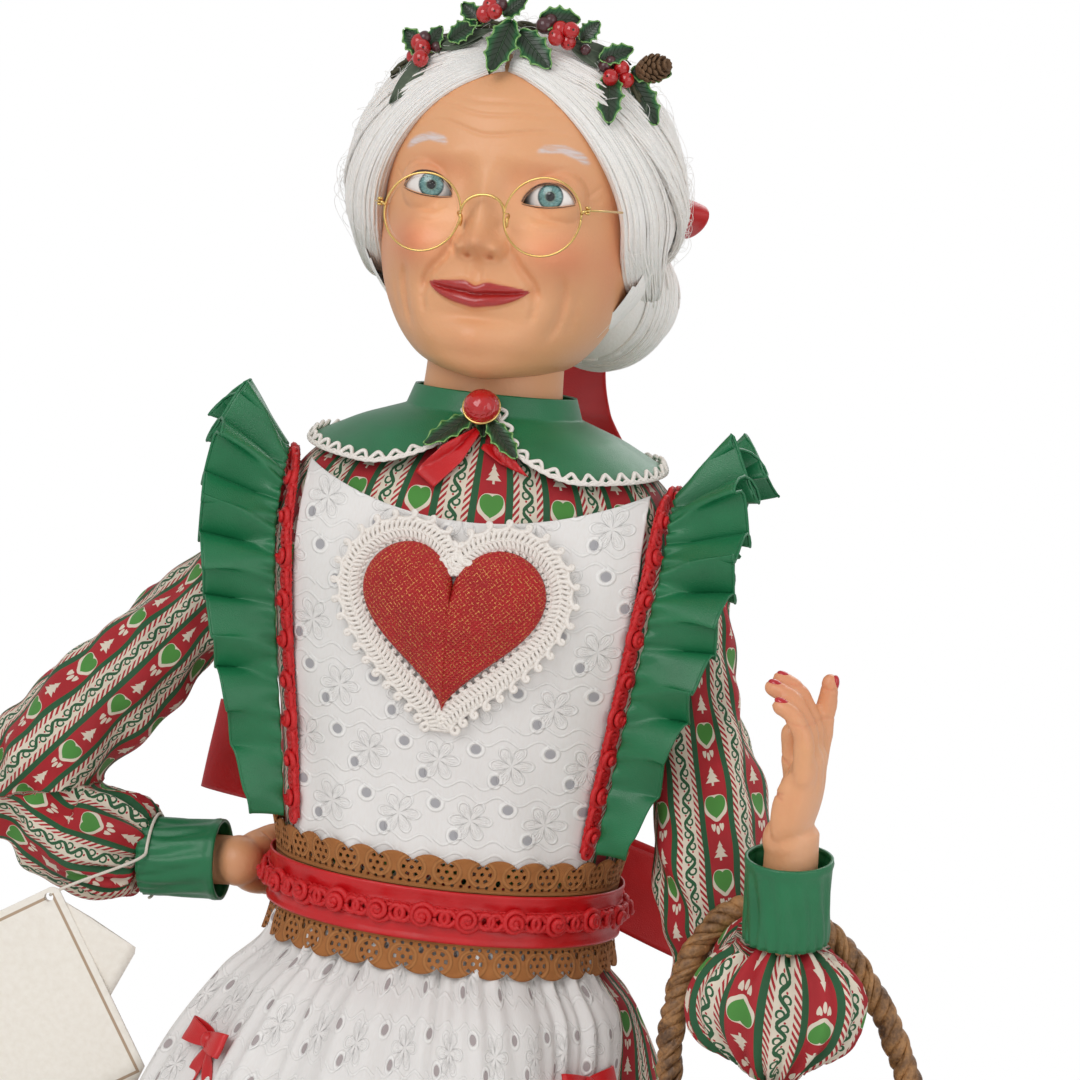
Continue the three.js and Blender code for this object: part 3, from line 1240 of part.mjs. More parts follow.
function addBasket() {
  const place = basketMatrix();
  const rings = (grow, rise) =>
    BASKET_SHARES.map(([share, width]) =>
      ellipseRing(
        vec(0, 0, lerp(-BASKET_DEEP + rise, 0, share)),
        BASKET_HALF_LENGTH * width - grow,
        BASKET_HALF_DEPTH * width - grow,
        20,
      ),
    );
  const hollow = rings(BASKET_WALL, BASKET_WALL);
  hollow.push(hollow[hollow.length - 1].map((p) => p.clone().add(vec(0, 0, BASKET_RIM + OVERRUN))));
  const lipRing = (rise, grow) =>
    ellipseRing(vec(0, 0, rise), BASKET_HALF_LENGTH + grow, BASKET_HALF_DEPTH + grow, 20);
  const lip = [
    lipRing(-BASKET_RIM, GAP),
    lipRing(-BASKET_RIM * 0.5, BASKET_RIM * 0.5),
    lipRing(BASKET_RIM * 0.5, BASKET_RIM * 0.3),
  ];
  add("basket_bowl", cut(join(loft(rings(0, 0)), loft(lip)), loft(hollow)).applyMatrix4(place), willow);
  const half = BASKET_HALF_LENGTH - BASKET_WALL - HANDLE_RADIUS - 4 * GAP;
  const foot = BASKET_DEEP * 0.45;
  const footHalf = half * 0.93;
  const path = [vec(-footHalf, 0, -foot), vec(-half, 0, -foot * 0.3)];
  for (let i = 1; i < 12; i++) {
    const angle = Math.PI * (1 - i / 12);
    path.push(vec(half * Math.cos(angle), 0, HANDLE_HEIGHT * Math.sin(angle) ** 0.9));
  }
  path.push(vec(half, 0, -foot * 0.3), vec(footHalf, 0, -foot));
  add("basket_handle", rod(path, HANDLE_RADIUS, 8, 24).applyMatrix4(place), willow);
}

// Bows: a large one behind the waist with two tails down the skirt, and a small one on each side of the apron

function addSash() {
  const back = BAND_BACK + SASH_OUT + BRAID_RADIUS + 2 * GAP + SASH_KNOT;
  const root = vec(0, back, WAIST_HEIGHT + SASH_HEIGHT);
  const loops = SIDES.map(({ sign }) => {
    const reach = vec(sign * SASH_LOOP, SASH_KNOT, SASH_RISE - SASH_HEIGHT);
    return bowLoop(root, reach, vec(0, SASH_FULLNESS, 0), SASH_WIDTH, 9);
  });
  add("sash_bow", join(ball(root, SASH_KNOT, 7, 5), ...loops), redSatin);
  SIDES.forEach(({ name, sign }) => {
    const surface = (u, v) => {
      const share = lerp(-0.045, sign > 0 ? 0.52 : 0.46, v);
      const reach = HEM_HALF_DEPTH * lerp(0.42, 0.8, v);
      const angle = Math.PI / 2 - sign * (radians(lerp(17, 36, v)) + ((u - 0.5) * SASH_WIDTH) / reach);
      const overBand = 1 - THREE.MathUtils.smoothstep(share, 0.03, 0.12);
      return skirtPoint(angle, share, SASH_TAIL_STANDOFF + (SASH_OUT + 2 * THIN_CLOTH) * overBand);
    };
    add(`sash_tail_${name}`, sheet(surface, 3, 10, THIN_CLOTH), redSatin);
  });
}

function addApronBow({ name, sign }) {
  const angle = -Math.PI / 2 + sign * radians(APRON_BOW_ANGLE);
  const out = vec(Math.cos(angle), Math.sin(angle), 0.3).normalize();
  const side = vec(-Math.sin(angle), Math.cos(angle), 0);
  const outside = 2 * CLOTH + APRON_STANDOFF * APRON_BOW_SHARE * 4 + GAP;
  const seat = skirtPoint(angle, APRON_BOW_SHARE, outside);
  const highest = [-8, -4, 0, 4, 8].map((turn) => {
    const p = skirtPoint(angle + radians(turn), APRON_BOW_SHARE, outside);
    return p.sub(seat).dot(out);
  });
  const root = seat.addScaledVector(out, Math.max(...highest) + APRON_KNOT * 0.6);
  const loops = [1, -1].map((way) => {
    const reach = side.clone().multiplyScalar(way * APRON_LOOP).addScaledVector(out, APRON_KNOT);
    return bowLoop(root, reach, out.clone().multiplyScalar(APRON_KNOT * 0.8), APRON_BOW_WIDTH, 5);
  });
  const tails = [1, -1].map((way) => {
    const surface = (u, v) =>
      root
        .clone()
        .addScaledVector(side, way * APRON_LOOP * 0.6 * v + (u - 0.5) * APRON_BOW_WIDTH * 0.8)
        .addScaledVector(out, APRON_KNOT * 1.8 * v)
        .add(vec(0, 0, -APRON_LOOP * 1.5 * v));
    return sheet(surface, 1, 2, THIN_CLOTH);
  });
  add(`apron_bow_${name}`, join(ball(root, APRON_KNOT, 5, 4), ...loops, ...tails), redSatin);
}

// Two blank swing tags on a cord at the right cuff

function addTags() {
  const tilt = radians(TAG_TILT);
  const corner = RIGHT_WRIST.clone().add(vec(-RIGHT_PUFF_RADIUS * 1.33, 0, -FOREARM_RADIUS));
  corner.setY(-TAG_FORWARD);
  const turn = new THREE.Matrix4().makeRotationY(-tilt).setPosition(corner);
  const tag = (width, height, depth) => {
    const blank = new THREE.BoxGeometry(width, TAG_THICKNESS, height);
    const hole = new THREE.CylinderGeometry(TAG_HOLE, TAG_HOLE, OVERRUN, 10);
    const pierced = cut(blank.translate(-width * 0.42, 0, -height * 0.46), hole);
    return pierced.translate(0, depth, 0).applyMatrix4(turn);
  };
  add("swing_tag", tag(TAG_WIDTH, TAG_HEIGHT, 0), card);
  add("care_tag", tag(CARE_TAG_WIDTH, CARE_TAG_HEIGHT, TAG_THICKNESS + GAP), card);
  const neck = RIGHT_WRIST.clone().addScaledVector(RIGHT_CUFF_WAY, 4 * TAG_CORD);
  const around = CUFF_RADIUS + TAG_CORD + GAP;
  const loop = [-1, 3].map((side) => corner.clone().setY(corner.y + side * TAG_THICKNESS));
  for (let i = 0; i <= 8; i++) {
    const angle = Math.PI * lerp(0.08, 1.5, i / 8);
    loop.push(neck.clone().add(vec(0, -around * Math.cos(angle), around * Math.sin(angle))));
  }
  add("tag_cord", rod(loop, TAG_CORD, 4, 18), steel);
}

addStand();
SIDES.forEach(addLeg);
addTorso();
addSkirts();
addWaistband();
addBib();
addHeart();
addCollar();
addBrooch();
SIDES.forEach(addRuffle);
addLeftArm();
addRightArm();
addHead();
addHair();
addHairBow();
addSpectacles();
addWreath();
addBasket();
addSash();
SIDES.forEach(addApronBow);
addTags();

export default doll;
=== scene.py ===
# A standing grandmother Christmas doll: resin head and hands, soft dressed body, basket on one arm.
# Metres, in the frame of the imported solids: the doll faces -Y and its left hand is on +X.
import math
import bpy
import numpy as np
from mathutils import Matrix, Vector


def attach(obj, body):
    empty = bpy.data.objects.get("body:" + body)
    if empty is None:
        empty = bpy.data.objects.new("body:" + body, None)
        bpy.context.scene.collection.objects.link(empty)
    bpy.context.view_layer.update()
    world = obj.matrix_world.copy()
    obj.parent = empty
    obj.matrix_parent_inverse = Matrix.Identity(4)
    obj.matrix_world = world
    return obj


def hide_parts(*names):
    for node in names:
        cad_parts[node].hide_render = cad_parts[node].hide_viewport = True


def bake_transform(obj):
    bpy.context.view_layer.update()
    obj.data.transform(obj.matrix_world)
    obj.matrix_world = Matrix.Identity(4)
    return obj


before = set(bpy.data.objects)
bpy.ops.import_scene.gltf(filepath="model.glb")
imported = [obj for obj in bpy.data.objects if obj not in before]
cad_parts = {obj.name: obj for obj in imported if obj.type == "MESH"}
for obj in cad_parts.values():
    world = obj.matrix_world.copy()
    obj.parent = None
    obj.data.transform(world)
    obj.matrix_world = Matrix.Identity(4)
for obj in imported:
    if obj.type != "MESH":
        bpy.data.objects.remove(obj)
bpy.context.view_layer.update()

# The camera stands in front, a little to the doll's left and above its shoulders, and is rolled,
# so that the doll leans to the right of the picture and is cut off just below the waist.
CAMERA_PLACE = (0.14674, -1.18563, 0.72701)
CAMERA_RIGHT = (0.98803, 0.11392, 0.10405)
CAMERA_UP = (-0.11391, 0.08387, 0.98994)
CAMERA_BACK = (0.10405, -0.98994, 0.09585)
SENSOR = 36
LENS = 106.67

camera = bpy.data.objects.new("camera", bpy.data.cameras.new("camera"))
camera.data.sensor_width = SENSOR
camera.data.lens = LENS
axes = zip(CAMERA_RIGHT, CAMERA_UP, CAMERA_BACK, CAMERA_PLACE)
camera.matrix_world = Matrix([list(row) for row in axes] + [[0, 0, 0, 1]])
bpy.context.collection.objects.link(camera)
bpy.context.scene.camera = camera
bpy.context.scene.view_settings.view_transform = "Standard"


# Finishes are built from node trees: a Wire is a socket that Python's operators can work on,
# and a Finish is one material with a single method that adds any kind of node.
class Wire:
    def __init__(self, finish, socket):
        self.finish = finish
        self.socket = socket

    def sum(self, operation, *values):
        return self.finish.node("Math", {"operation": operation}, dict(enumerate(values)))

    def fn(self, operation, *more):
        return self.sum(operation, self, *more)

    def __add__(self, other):
        return self.sum("ADD", self, other)

    def __radd__(self, other):
        return self.sum("ADD", other, self)

    def __sub__(self, other):
        return self.sum("SUBTRACT", self, other)

    def __rsub__(self, other):
        return self.sum("SUBTRACT", other, self)

    def __mul__(self, other):
        return self.sum("MULTIPLY", self, other)

    def __rmul__(self, other):
        return self.sum("MULTIPLY", other, self)

    def __truediv__(self, other):
        return self.sum("DIVIDE", self, other)

    def __pow__(self, other):
        return self.sum("POWER", self, other)

    def __abs__(self):
        return self.fn("ABSOLUTE")

    def __lt__(self, other):
        return self.sum("LESS_THAN", self, other)

    def __gt__(self, other):
        return self.sum("GREATER_THAN", self, other)


class Finish:
    def __init__(self, name, **constants):
        self.material = bpy.data.materials.new(name)
        self.material.use_nodes = True
        self.tree = self.material.node_tree
        self.shader = self.tree.nodes["Principled BSDF"]
        for key, value in constants.items():
            self.shader.inputs[key.replace("_", " ")].default_value = value

    def node(self, kind, settings, sockets, out=0):
        made = self.tree.nodes.new("ShaderNode" + kind)
        for key, value in settings.items():
            if key == "stops":
                for stop, (at, color) in enumerate(value):
                    spot = made.color_ramp.elements[stop] if stop < 2 else made.color_ramp.elements.new(at)
                    spot.position = at
                    spot.color = (*color, 1)
            else:
                setattr(made, key, value)
        for key, value in sockets.items():
            if isinstance(value, Wire):
                self.tree.links.new(value.socket, made.inputs[key])
            elif hasattr(value, "__len__") and made.inputs[key].type == "RGBA":
                made.inputs[key].default_value = (*value, 1)
            else:
                made.inputs[key].default_value = value
        return Wire(self, made.outputs[out])

    def set(self, socket, wire):
        self.tree.links.new(wire.socket, self.shader.inputs[socket])

    def place(self):
        return self.node("TexCoord", {}, {}, "Object")

    def attribute(self, name, out="Vector"):
        return self.node("Attribute", {"attribute_name": name}, {}, out)

    def split(self, vector):
        return [self.node("SeparateXYZ", {}, {0: vector}, axis) for axis in "XYZ"]

    def point(self, x, y, z=0.0):
        return self.node("CombineXYZ", {}, {0: x, 1: y, 2: z})

    def mix(self, share, low, high, blend="MIX"):
        settings = {"data_type": "RGBA", "blend_type": blend}
        return self.node("Mix", settings, {0: share, 6: low, 7: high}, 2)

    def noise(self, vector, scale, detail=2.0, roughness=0.5):
        sockets = {"Vector": vector, "Scale": scale, "Detail": detail, "Roughness": roughness}
        return self.node("TexNoise", {}, sockets, 0)

    def stretch(self, vector, scale):
        return self.node("VectorMath", {"operation": "MULTIPLY"}, {0: vector, 1: scale})

    def ease(self, value, low, high, bottom=0.0, top=1.0):
        sockets = {0: value, 1: low, 2: high, 3: bottom, 4: top}
        return self.node("MapRange", {"interpolation_type": "SMOOTHSTEP"}, sockets)

    def bump(self, height, depth, share=1.0):
        normal = self.node("Bump", {}, {"Height": height, "Distance": depth, "Strength": share})
        self.set("Normal", normal)


# Floor and backdrop: one plain pale ground that catches the shadow and runs out into white.
# It is no part of the doll.
FLOOR_REACH = 7
FLOOR_COLOR = (0.80, 0.79, 0.78)
SHADOW_REACH = (0.35, 1.15)

floor_finish = Finish("floor", Roughness=0.9)
x, y, _ = floor_finish.split(floor_finish.place())
distance = (x * x + y * y).fn("SQRT")
rays = [floor_finish.node("LightPath", {}, {}, f"Is {kind} Ray") for kind in ("Camera", "Transmission")]
seen = rays[0].fn("MAXIMUM", rays[1])
floor_finish.shader.inputs["Base Color"].default_value = (*FLOOR_COLOR, 1)
white = floor_finish.node("Emission", {}, {"Color": (1, 1, 1), "Strength": 1.0})
ground = floor_finish.node(
    "MixShader",
    {},
    {0: floor_finish.ease(distance, *SHADOW_REACH) * seen,
    1: Wire(floor_finish, floor_finish.shader.outputs[0]), 2: white},
)
floor_finish.tree.links.new(ground.socket, floor_finish.tree.nodes["Material Output"].inputs[0])
floor_mesh = bpy.data.meshes.new("floor")
corners = [(-1, -1, 0), (1, -1, 0), (1, 1, 0), (-1, 1, 0)]
floor_mesh.from_pydata([[FLOOR_REACH * c for c in corner] for corner in corners], [], [(0, 1, 2, 3)])
floor_mesh.materials.append(floor_finish.material)
floor = bpy.data.objects.new("floor", floor_mesh)
bpy.context.collection.objects.link(floor)

# Light: a pale world that shows white to the camera, a broad key from the front left and a fill.
# A third lamp behind parts the hair and the shoulders from the ground.
WORLD_LEVEL = 0.62
LAMPS = {
    "key": ((-0.75, -1.5, 1.55), 1.1, 12.5),
    "fill": ((1.3, -1.1, 0.95), 1.3, 5.6),
    "back": ((0.5, 1.3, 1.6), 1.0, 7.0),
}
LAMP_AIM = Vector((0, 0, 0.55))

world = bpy.data.worlds.new("studio")
world.use_nodes = True
bpy.context.scene.world = world
nodes, links = world.node_tree.nodes, world.node_tree.links
background = nodes["Background"]
path = nodes.new("ShaderNodeLightPath")
either = nodes.new("ShaderNodeMath")
either.operation = "MAXIMUM"
links.new(path.outputs["Is Camera Ray"], either.inputs[0])
links.new(path.outputs["Is Transmission Ray"], either.inputs[1])
level = nodes.new("ShaderNodeMapRange")
links.new(either.outputs[0], level.inputs[0])
level.inputs[3].default_value = WORLD_LEVEL
links.new(level.outputs[0], background.inputs["Strength"])
background.inputs["Color"].default_value = (1, 1, 1, 1)
for name, (place, size, power) in LAMPS.items():
    lamp = bpy.data.objects.new(name, bpy.data.lights.new(name, "AREA"))
    lamp.data.size = size
    lamp.data.energy = power
    lamp.location = place
    lamp.rotation_euler = (LAMP_AIM - Vector(place)).to_track_quat("-Z", "Y").to_euler()
    bpy.context.collection.objects.link(lamp)

# Stand: a turned and oiled wooden base on the floor, with the steel rod that holds the doll up.
# The photograph ends above it, so it follows how such display dolls are usually sold.
BASE_PROFILE = [
    (0.0, 0.0), (0.093, 0.0), (0.0965, 0.001), (0.098, 0.0028), (0.098, 0.0058), (0.0966, 0.0072),
    (0.0948, 0.0078),
    (0.0942, 0.0086), (0.0948, 0.0096), (0.0955, 0.0112), (0.0948, 0.0134), (0.0925, 0.0152), (0.0895, 0.016),
    (0.086, 0.0156), (0.0845, 0.0152), (0.083, 0.0156), (0.08, 0.016), (0.0, 0.016),
]
WOOD_DARK = (0.13, 0.055, 0.024)
WOOD_LIGHT = (0.30, 0.145, 0.066)


def abreast(*parts):
    """Numbers and arrays side by side as points or marks, filled out to one shape."""
    return np.stack(np.broadcast_arrays(*parts), -1)


class Piece:
    """Gathers rings, tubes and sheets of one piece as points and faces, and makes its object."""

    def __init__(self):
        self.points, self.faces, self.marks, self.paint = [], [], [], []
        self.count = 0

    def add(self, points, faces, marks=None, paint=None):
        points = np.asarray(points, float).reshape(-1, 3)
        self.points.append(points)
        self.faces += [tuple(int(i) + self.count for i in face) for face in faces]
        self.marks.append(np.zeros_like(points) if marks is None else np.asarray(marks, float).reshape(-1, 3))
        self.paint.append(np.zeros_like(points) if paint is None
            else np.broadcast_to(np.asarray(paint, float).reshape(-1, 3), points.shape))
        self.count += len(points)
        return self

    def grid(self, points, around=False, ends=False, marks=None, paint=None):
        rows, columns = points.shape[:2]
        index = np.arange(rows * columns).reshape(rows, columns)
        right = np.roll(index, -1, axis=1) if around else index[:, 1:]
        here = index if around else index[:, :-1]
        quads = abreast(here[:-1], right[:-1], right[1:], here[1:]).reshape(-1, 4).tolist()
        if ends:
            quads += [tuple(index[0][::-1]), tuple(index[-1])]
        return self.add(points, quads, marks, paint)

    def tube(self, path, radius, sides=8, paint=None, flat=1.0):
        path = np.asarray(path, float)
        along = np.gradient(path, axis=0)
        along /= np.linalg.norm(along, axis=1, keepdims=True) + 1e-12
        side = np.cross(along[0], (0.31, 0.17, 0.93))
        sides_list = []
        for step in along:
            side = side - step * side.dot(step)
            side /= np.linalg.norm(side) + 1e-12
            sides_list.append(side)
        side = np.array(sides_list)
        other = np.cross(along, side)
        angle = np.linspace(0, 2 * np.pi, sides, endpoint=False)
        radius = np.broadcast_to(np.asarray(radius, float), len(path))[:, None, None]
        rings = path[:, None] + radius * (
            np.cos(angle)[None, :, None] * side[:, None] + flat * np.sin(angle)[None, :, None]
            * other[:, None]
        )
        return self.grid(rings, True, True, paint=paint)

    def sheet(self, points, thickness, marks=None, paint=None, around=False):
        across = (np.roll(points, -1, 1) - np.roll(points, 1, 1)) if around else np.gradient(points, axis=1)
        normal = np.cross(across, np.gradient(points, axis=0))
        normal /= np.linalg.norm(normal, axis=2, keepdims=True) + 1e-12
        rows, columns = points.shape[:2]
        half = rows * columns
        index = np.arange(half).reshape(rows, columns)
        here, right = (index, np.roll(index, -1, 1)) if around else (index[:, :-1], index[:, 1:])
        quads = abreast(here[:-1], right[:-1], right[1:], here[1:]).reshape(-1, 4)
        both = quads.tolist() + (quads[:, ::-1] + half).tolist()
        rims = [index[0], index[-1][::-1]] if around else [np.concatenate([index[0], index[1:, -1],
            index[-1][-2::-1], index[-2:0:-1, 0]])]
        for rim in rims:
            after = np.roll(rim, -1)
            both += [(b, a, a + half, b + half) for a, b in zip(rim.tolist(), after.tolist())]
        stack = np.concatenate([(points + normal * thickness / 2).reshape(-1, 3),
            (points - normal * thickness / 2).reshape(-1, 3)])
        twice = [None if part is None else np.concatenate([np.broadcast_to(part, points.shape).reshape(-1,
            3)] * 2) for part in (marks, paint)]
        return self.add(stack, both, *twice)

    def ball(self, centre, radius, columns=16, rows=10, scale=(1, 1, 1), turn=None, paint=None):
        down = np.linspace(0.04, np.pi - 0.04, rows)[:, None]
        angle = np.linspace(0, 2 * np.pi, columns, endpoint=False)[None]
        shape = abreast(np.sin(down) * np.cos(angle), np.sin(down) * np.sin(angle), np.cos(down))
        shape = shape * np.asarray(scale) * radius
        if turn is not None:
            shape = shape @ np.asarray(turn, float)
        return self.grid(shape + np.asarray(centre), True, True, paint=paint)

    def object(self, name, finish, body, slot, replaces=(), smooth=True):
        mesh = bpy.data.meshes.new(name)
        points = np.concatenate(self.points)
        mesh.from_pydata(points.tolist(), [], self.faces)
        for label, kind, values in (("cloth", "FLOAT_VECTOR", self.marks),
            ("paint", "FLOAT_COLOR", self.paint)):
            stack = np.concatenate(values)
            if stack.any():
                layer = mesh.attributes.new(label, kind, "POINT")
                if kind == "FLOAT_COLOR":
                    stack = np.concatenate([stack, np.ones((len(stack), 1))], 1)
                layer.data.foreach_set("vector" if kind == "FLOAT_VECTOR" else "color",
                    stack.astype(np.float32).ravel())
        mesh.validate()
        mesh.shade_smooth() if smooth else mesh.shade_flat()
        mesh.materials.append(finish.material)
        made = bpy.data.objects.new(name, mesh)
        bpy.context.collection.objects.link(made)
        if body:
            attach(made, body)
        if replaces:
            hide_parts(*replaces)
        return made


def lathe(profile, count, centre=(0, 0, 0)):
    angle = np.linspace(0, 2 * np.pi, count, endpoint=False)
    profile = np.asarray(profile, float)
    radius = np.maximum(profile[:, 0], 1e-5)[:, None]
    ring = abreast(radius * np.cos(angle), radius * np.sin(angle), profile[:, 1:2])
    return ring + np.asarray(centre)


wood = Finish("oiled_wood", Roughness=0.38, Coat_Weight=0.25)
grain = wood.noise(wood.stretch(wood.place(), (9, 60, 60)), 1.6, 4)
rings = (wood.split(wood.place())[1] * 260 + grain * 9).fn("SINE") * 0.5 + 0.5
wood.set("Base Color", wood.mix(rings * 0.6 + grain * 0.4, WOOD_DARK, WOOD_LIGHT))
wood.bump(rings * 0.4 + grain, 0.0003)
base = Piece().grid(lathe(BASE_PROFILE, 96), True)
base.object("base_turned", wood, "figure", "wood", ["base_disc"])

steel = Finish("brushed_rod", Metallic=1.0, Roughness=0.32)
steel.shader.inputs["Base Color"].default_value = (0.62, 0.62, 0.63, 1)
brush = steel.noise(steel.stretch(steel.place(), (900, 900, 30)), 1.0, 3)
steel.set("Roughness", brush * 0.2 + 0.22)
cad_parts["stand_rod"].data.materials.clear()
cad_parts["stand_rod"].data.materials.append(steel.material)

# Legs in ribbed red and white stockings, and laced black ankle boots that stand on the base.
LEG_X = 0.027
LEG_TABLE = [
    (0.0188, 0.0125), (0.06, 0.0125), (0.096, 0.0125), (0.13, 0.0131), (0.20, 0.0187), (0.26, 0.0163),
    (0.30, 0.0172),
    (0.36, 0.0205), (0.4246, 0.023),
]
BOOT_SOLE = 0.0164
BOOT_TOP = 0.0878
STOCKING_STRIPE = 0.012
WELT_HALF = 0.0149
WELT_TOE = 0.0556
WELT_HEEL = 0.0154


def smooth_read(table, share):
    """The columns of a table read at shares of its first column, as one smooth curve through its rows."""
    table = np.asarray(table, float)
    key, values = table[:, 0], table[:, 1:]
    share = np.clip(np.asarray(share, float), key[0], key[-1])
    at = np.clip(np.searchsorted(key, share, side="right") - 1, 0, len(key) - 2)
    span = (key[at + 1] - key[at])[..., None]
    step = (share - key[at])[..., None] / span
    slope = np.empty_like(values)
    slope[1:-1] = (values[2:] - values[:-2]) / (key[2:] - key[:-2])[:, None]
    slope[0] = (values[1] - values[0]) / (key[1] - key[0])
    slope[-1] = (values[-1] - values[-2]) / (key[-1] - key[-2])
    ease = step**2 * (3 - 2 * step)
    low, high = values[at], values[at + 1]
    bend = step * (1 - step) ** 2 * slope[at] * span - step**2 * (1 - step) * slope[at + 1] * span
    return np.moveaxis(low + (high - low) * ease + bend, -1, 0)


def flecked(name, scale, detail, low, high, depth=0.0, **constants):
    """A finish flecked between two tones, whose bump follows the same fleck."""
    finish = Finish(name, **constants)
    fleck = finish.noise(finish.place(), scale, detail)
    finish.set("Base Color", finish.mix(fleck, low, high))
    if depth:
        finish.bump(fleck, depth)
    return finish


stocking = Finish("ribbed_stocking", Roughness=0.85, Sheen_Weight=0.3)
x, y, z = stocking.split(stocking.place())
stripe = (z / STOCKING_STRIPE).fn("FRACT").fn("LESS_THAN", 0.5)
stocking.set("Base Color", stocking.mix(stripe, (0.80, 0.74, 0.66), (0.45, 0.01, 0.02)))
ribs = (x * 2600).fn("SINE") * (y * 2600).fn("SINE")
stocking.bump(ribs, 0.0004)
boot_leather = flecked("boot_leather", 900, 3, (0.010, 0.008, 0.007), (0.035, 0.026, 0.022), 0.0003,
    Roughness=0.34, Coat_Weight=0.2)
lace_cotton = flecked("boot_lace", 1500, 2, (0.02, 0.018, 0.016), (0.09, 0.08, 0.07), Roughness=0.9)

for name, sign in (("left", 1), ("right", -1)):
    heights = np.linspace(LEG_TABLE[0][0], LEG_TABLE[-1][0], 90)
    radii = smooth_read(LEG_TABLE, heights)[0]
    leg = Piece().grid(lathe(np.stack([radii, heights], 1), 40, (sign * LEG_X, 0, 0)), True, True)
    leg = leg.object(f"stocking_{name}", stocking, "figure", "stocking", [f"leg_{name}"])
    boot = Piece()
    ring = np.linspace(0, 2 * np.pi, 36, endpoint=False)
    rows = []
    for share in np.linspace(0, 1, 26):
        height = BOOT_SOLE + 0.003 + (BOOT_TOP - BOOT_SOLE - 0.003) * share
        low = max(0.0, 1 - share * 2.1)
        toe = 0.0545 * low**0.55 + 0.0150 * (1 - low**0.55)
        heel = 0.0148 + 0.001 * math.cos(share * 5)
        wide = 0.0142 + 0.0008 * math.sin(share * 8)
        front = np.where(np.sin(ring) < 0, toe, heel)
        squeeze = np.where(np.sin(ring) < 0, 1 - 0.12 * low * np.abs(np.sin(ring)) ** 2, 1)
        rows.append(abreast(sign * LEG_X + wide * squeeze * np.cos(ring), front * np.sin(ring), height))
    boot.grid(np.array(rows), True, True)
    welt = [abreast(sign * LEG_X + WELT_HALF * k * np.cos(ring) * np.where(np.sin(ring) < 0, 0.93, 1),
        np.where(np.sin(ring) < 0, WELT_TOE, WELT_HEEL) * k * np.sin(ring), z)
            for z, k in ((BOOT_SOLE, 0.97), (BOOT_SOLE + 0.0008, 1), (BOOT_SOLE + 0.0028, 1),
            (BOOT_SOLE + 0.0034, 0.96))]
    boot.grid(np.array(welt), True, True)
    boot.object(f"ankle_boot_{name}", boot_leather, "figure", "boot_leather", [f"boot_{name}"])
    laces = Piece()
    for row in range(6):
        z = 0.042 + row * 0.0075
        y = -0.0165 - max(0, 0.058 - z) * 0.9
        for way in (1, -1):
            ends = [(sign * LEG_X - way * 0.006, y + 0.002, z), (sign * LEG_X, y - 0.0012, z + 0.0032),
                (sign * LEG_X + way * 0.006, y + 0.002, z + 0.0064)]
            laces.tube(ends, 0.0007, 6)
    laces.object(f"boot_laces_{name}", lace_cotton, "figure", "boot_leather")

# Gown: bodice and gathered skirt cut from one striped holiday cotton, hearts and scrolls between
# candy bands, sewn over the stuffed torso. The stripes run down the cloth.
WAIST = 0.477
TORSO_LOW = 0.425
TORSO_HIGH = 0.658
CHEST = (0.074, 0.062, 0.050)
TORSO_TABLE = [
    (0, 0.78, 0.7, 0.82), (0.13, 0.81, 0.74, 0.88), (0.223, 0.8, 0.726, 0.84), (0.408, 0.865, 0.806, 0.88),
    (0.58, 0.946, 0.935, 0.96), (0.71, 1, 1, 1), (0.815, 1.01, 0.9, 1), (0.9, 0.9, 0.742, 0.88),
    (0.966, 0.62, 0.55, 0.7), (1, 0.385, 0.46, 0.56),
]
STRIPE_REPEAT = 26.0
PRINT_RED = (0.46, 0.010, 0.018)
PRINT_GREEN = (0.012, 0.105, 0.035)
PRINT_CREAM = (0.84, 0.74, 0.60)
HEART_GREEN = (0.075, 0.30, 0.045)
SKIRT_TOP = 0.469
SKIRT_HEM = 0.060
HEM_HALF = (0.150, 0.138)
SKIRT_TABLE = [
    (0, 0.4, 0.335), (0.035, 0.41, 0.345), (0.07, 0.5, 0.45), (0.15, 0.63, 0.59), (0.3, 0.77, 0.75),
    (0.5, 0.88, 0.87),
    (0.75, 0.96, 0.96), (1, 1, 1),
]
FOLDS = 11
FOLD_DEPTH = 0.0075
BASKET_DENT = 0.027
GOWN_THICK = 0.0011


def torso_point(angle, height, grow):
    width, front, back = smooth_read(TORSO_TABLE, (height - TORSO_LOW) / (TORSO_HIGH - TORSO_LOW))
    depth = np.where(np.sin(angle) < 0, CHEST[1] * front, CHEST[2] * back)
    return abreast((CHEST[0] * width + grow) * np.cos(angle), (depth + grow) * np.sin(angle), height)


def rise(value, low, high):
    step = np.clip((value - low) / (high - low), 0, 1)
    return step * step * (3 - 2 * step)


def skirt_point(angle, share, grow):
    width, depth = smooth_read(SKIRT_TABLE, share)
    gather = np.minimum(1, np.maximum(0, share) * 3 + 0.08)
    fold = FOLD_DEPTH * gather * np.cos(FOLDS * angle + np.sin(angle * 3))
    fold = fold + pleats(angle, share)
    along = rise(share, 0.035, 0.14) * np.exp(-(((share - 0.24) / 0.17) ** 2))
    turned = (angle + math.radians(28) + np.pi) % (2 * np.pi) - np.pi
    reach = fold + grow - BASKET_DENT * along * np.exp(-((turned / math.radians(34)) ** 2))
    height = SKIRT_TOP + (SKIRT_HEM - SKIRT_TOP) * share
    return abreast((HEM_HALF[0] * width + reach) * np.cos(angle),
        (HEM_HALF[1] * depth + reach) * np.sin(angle), height)


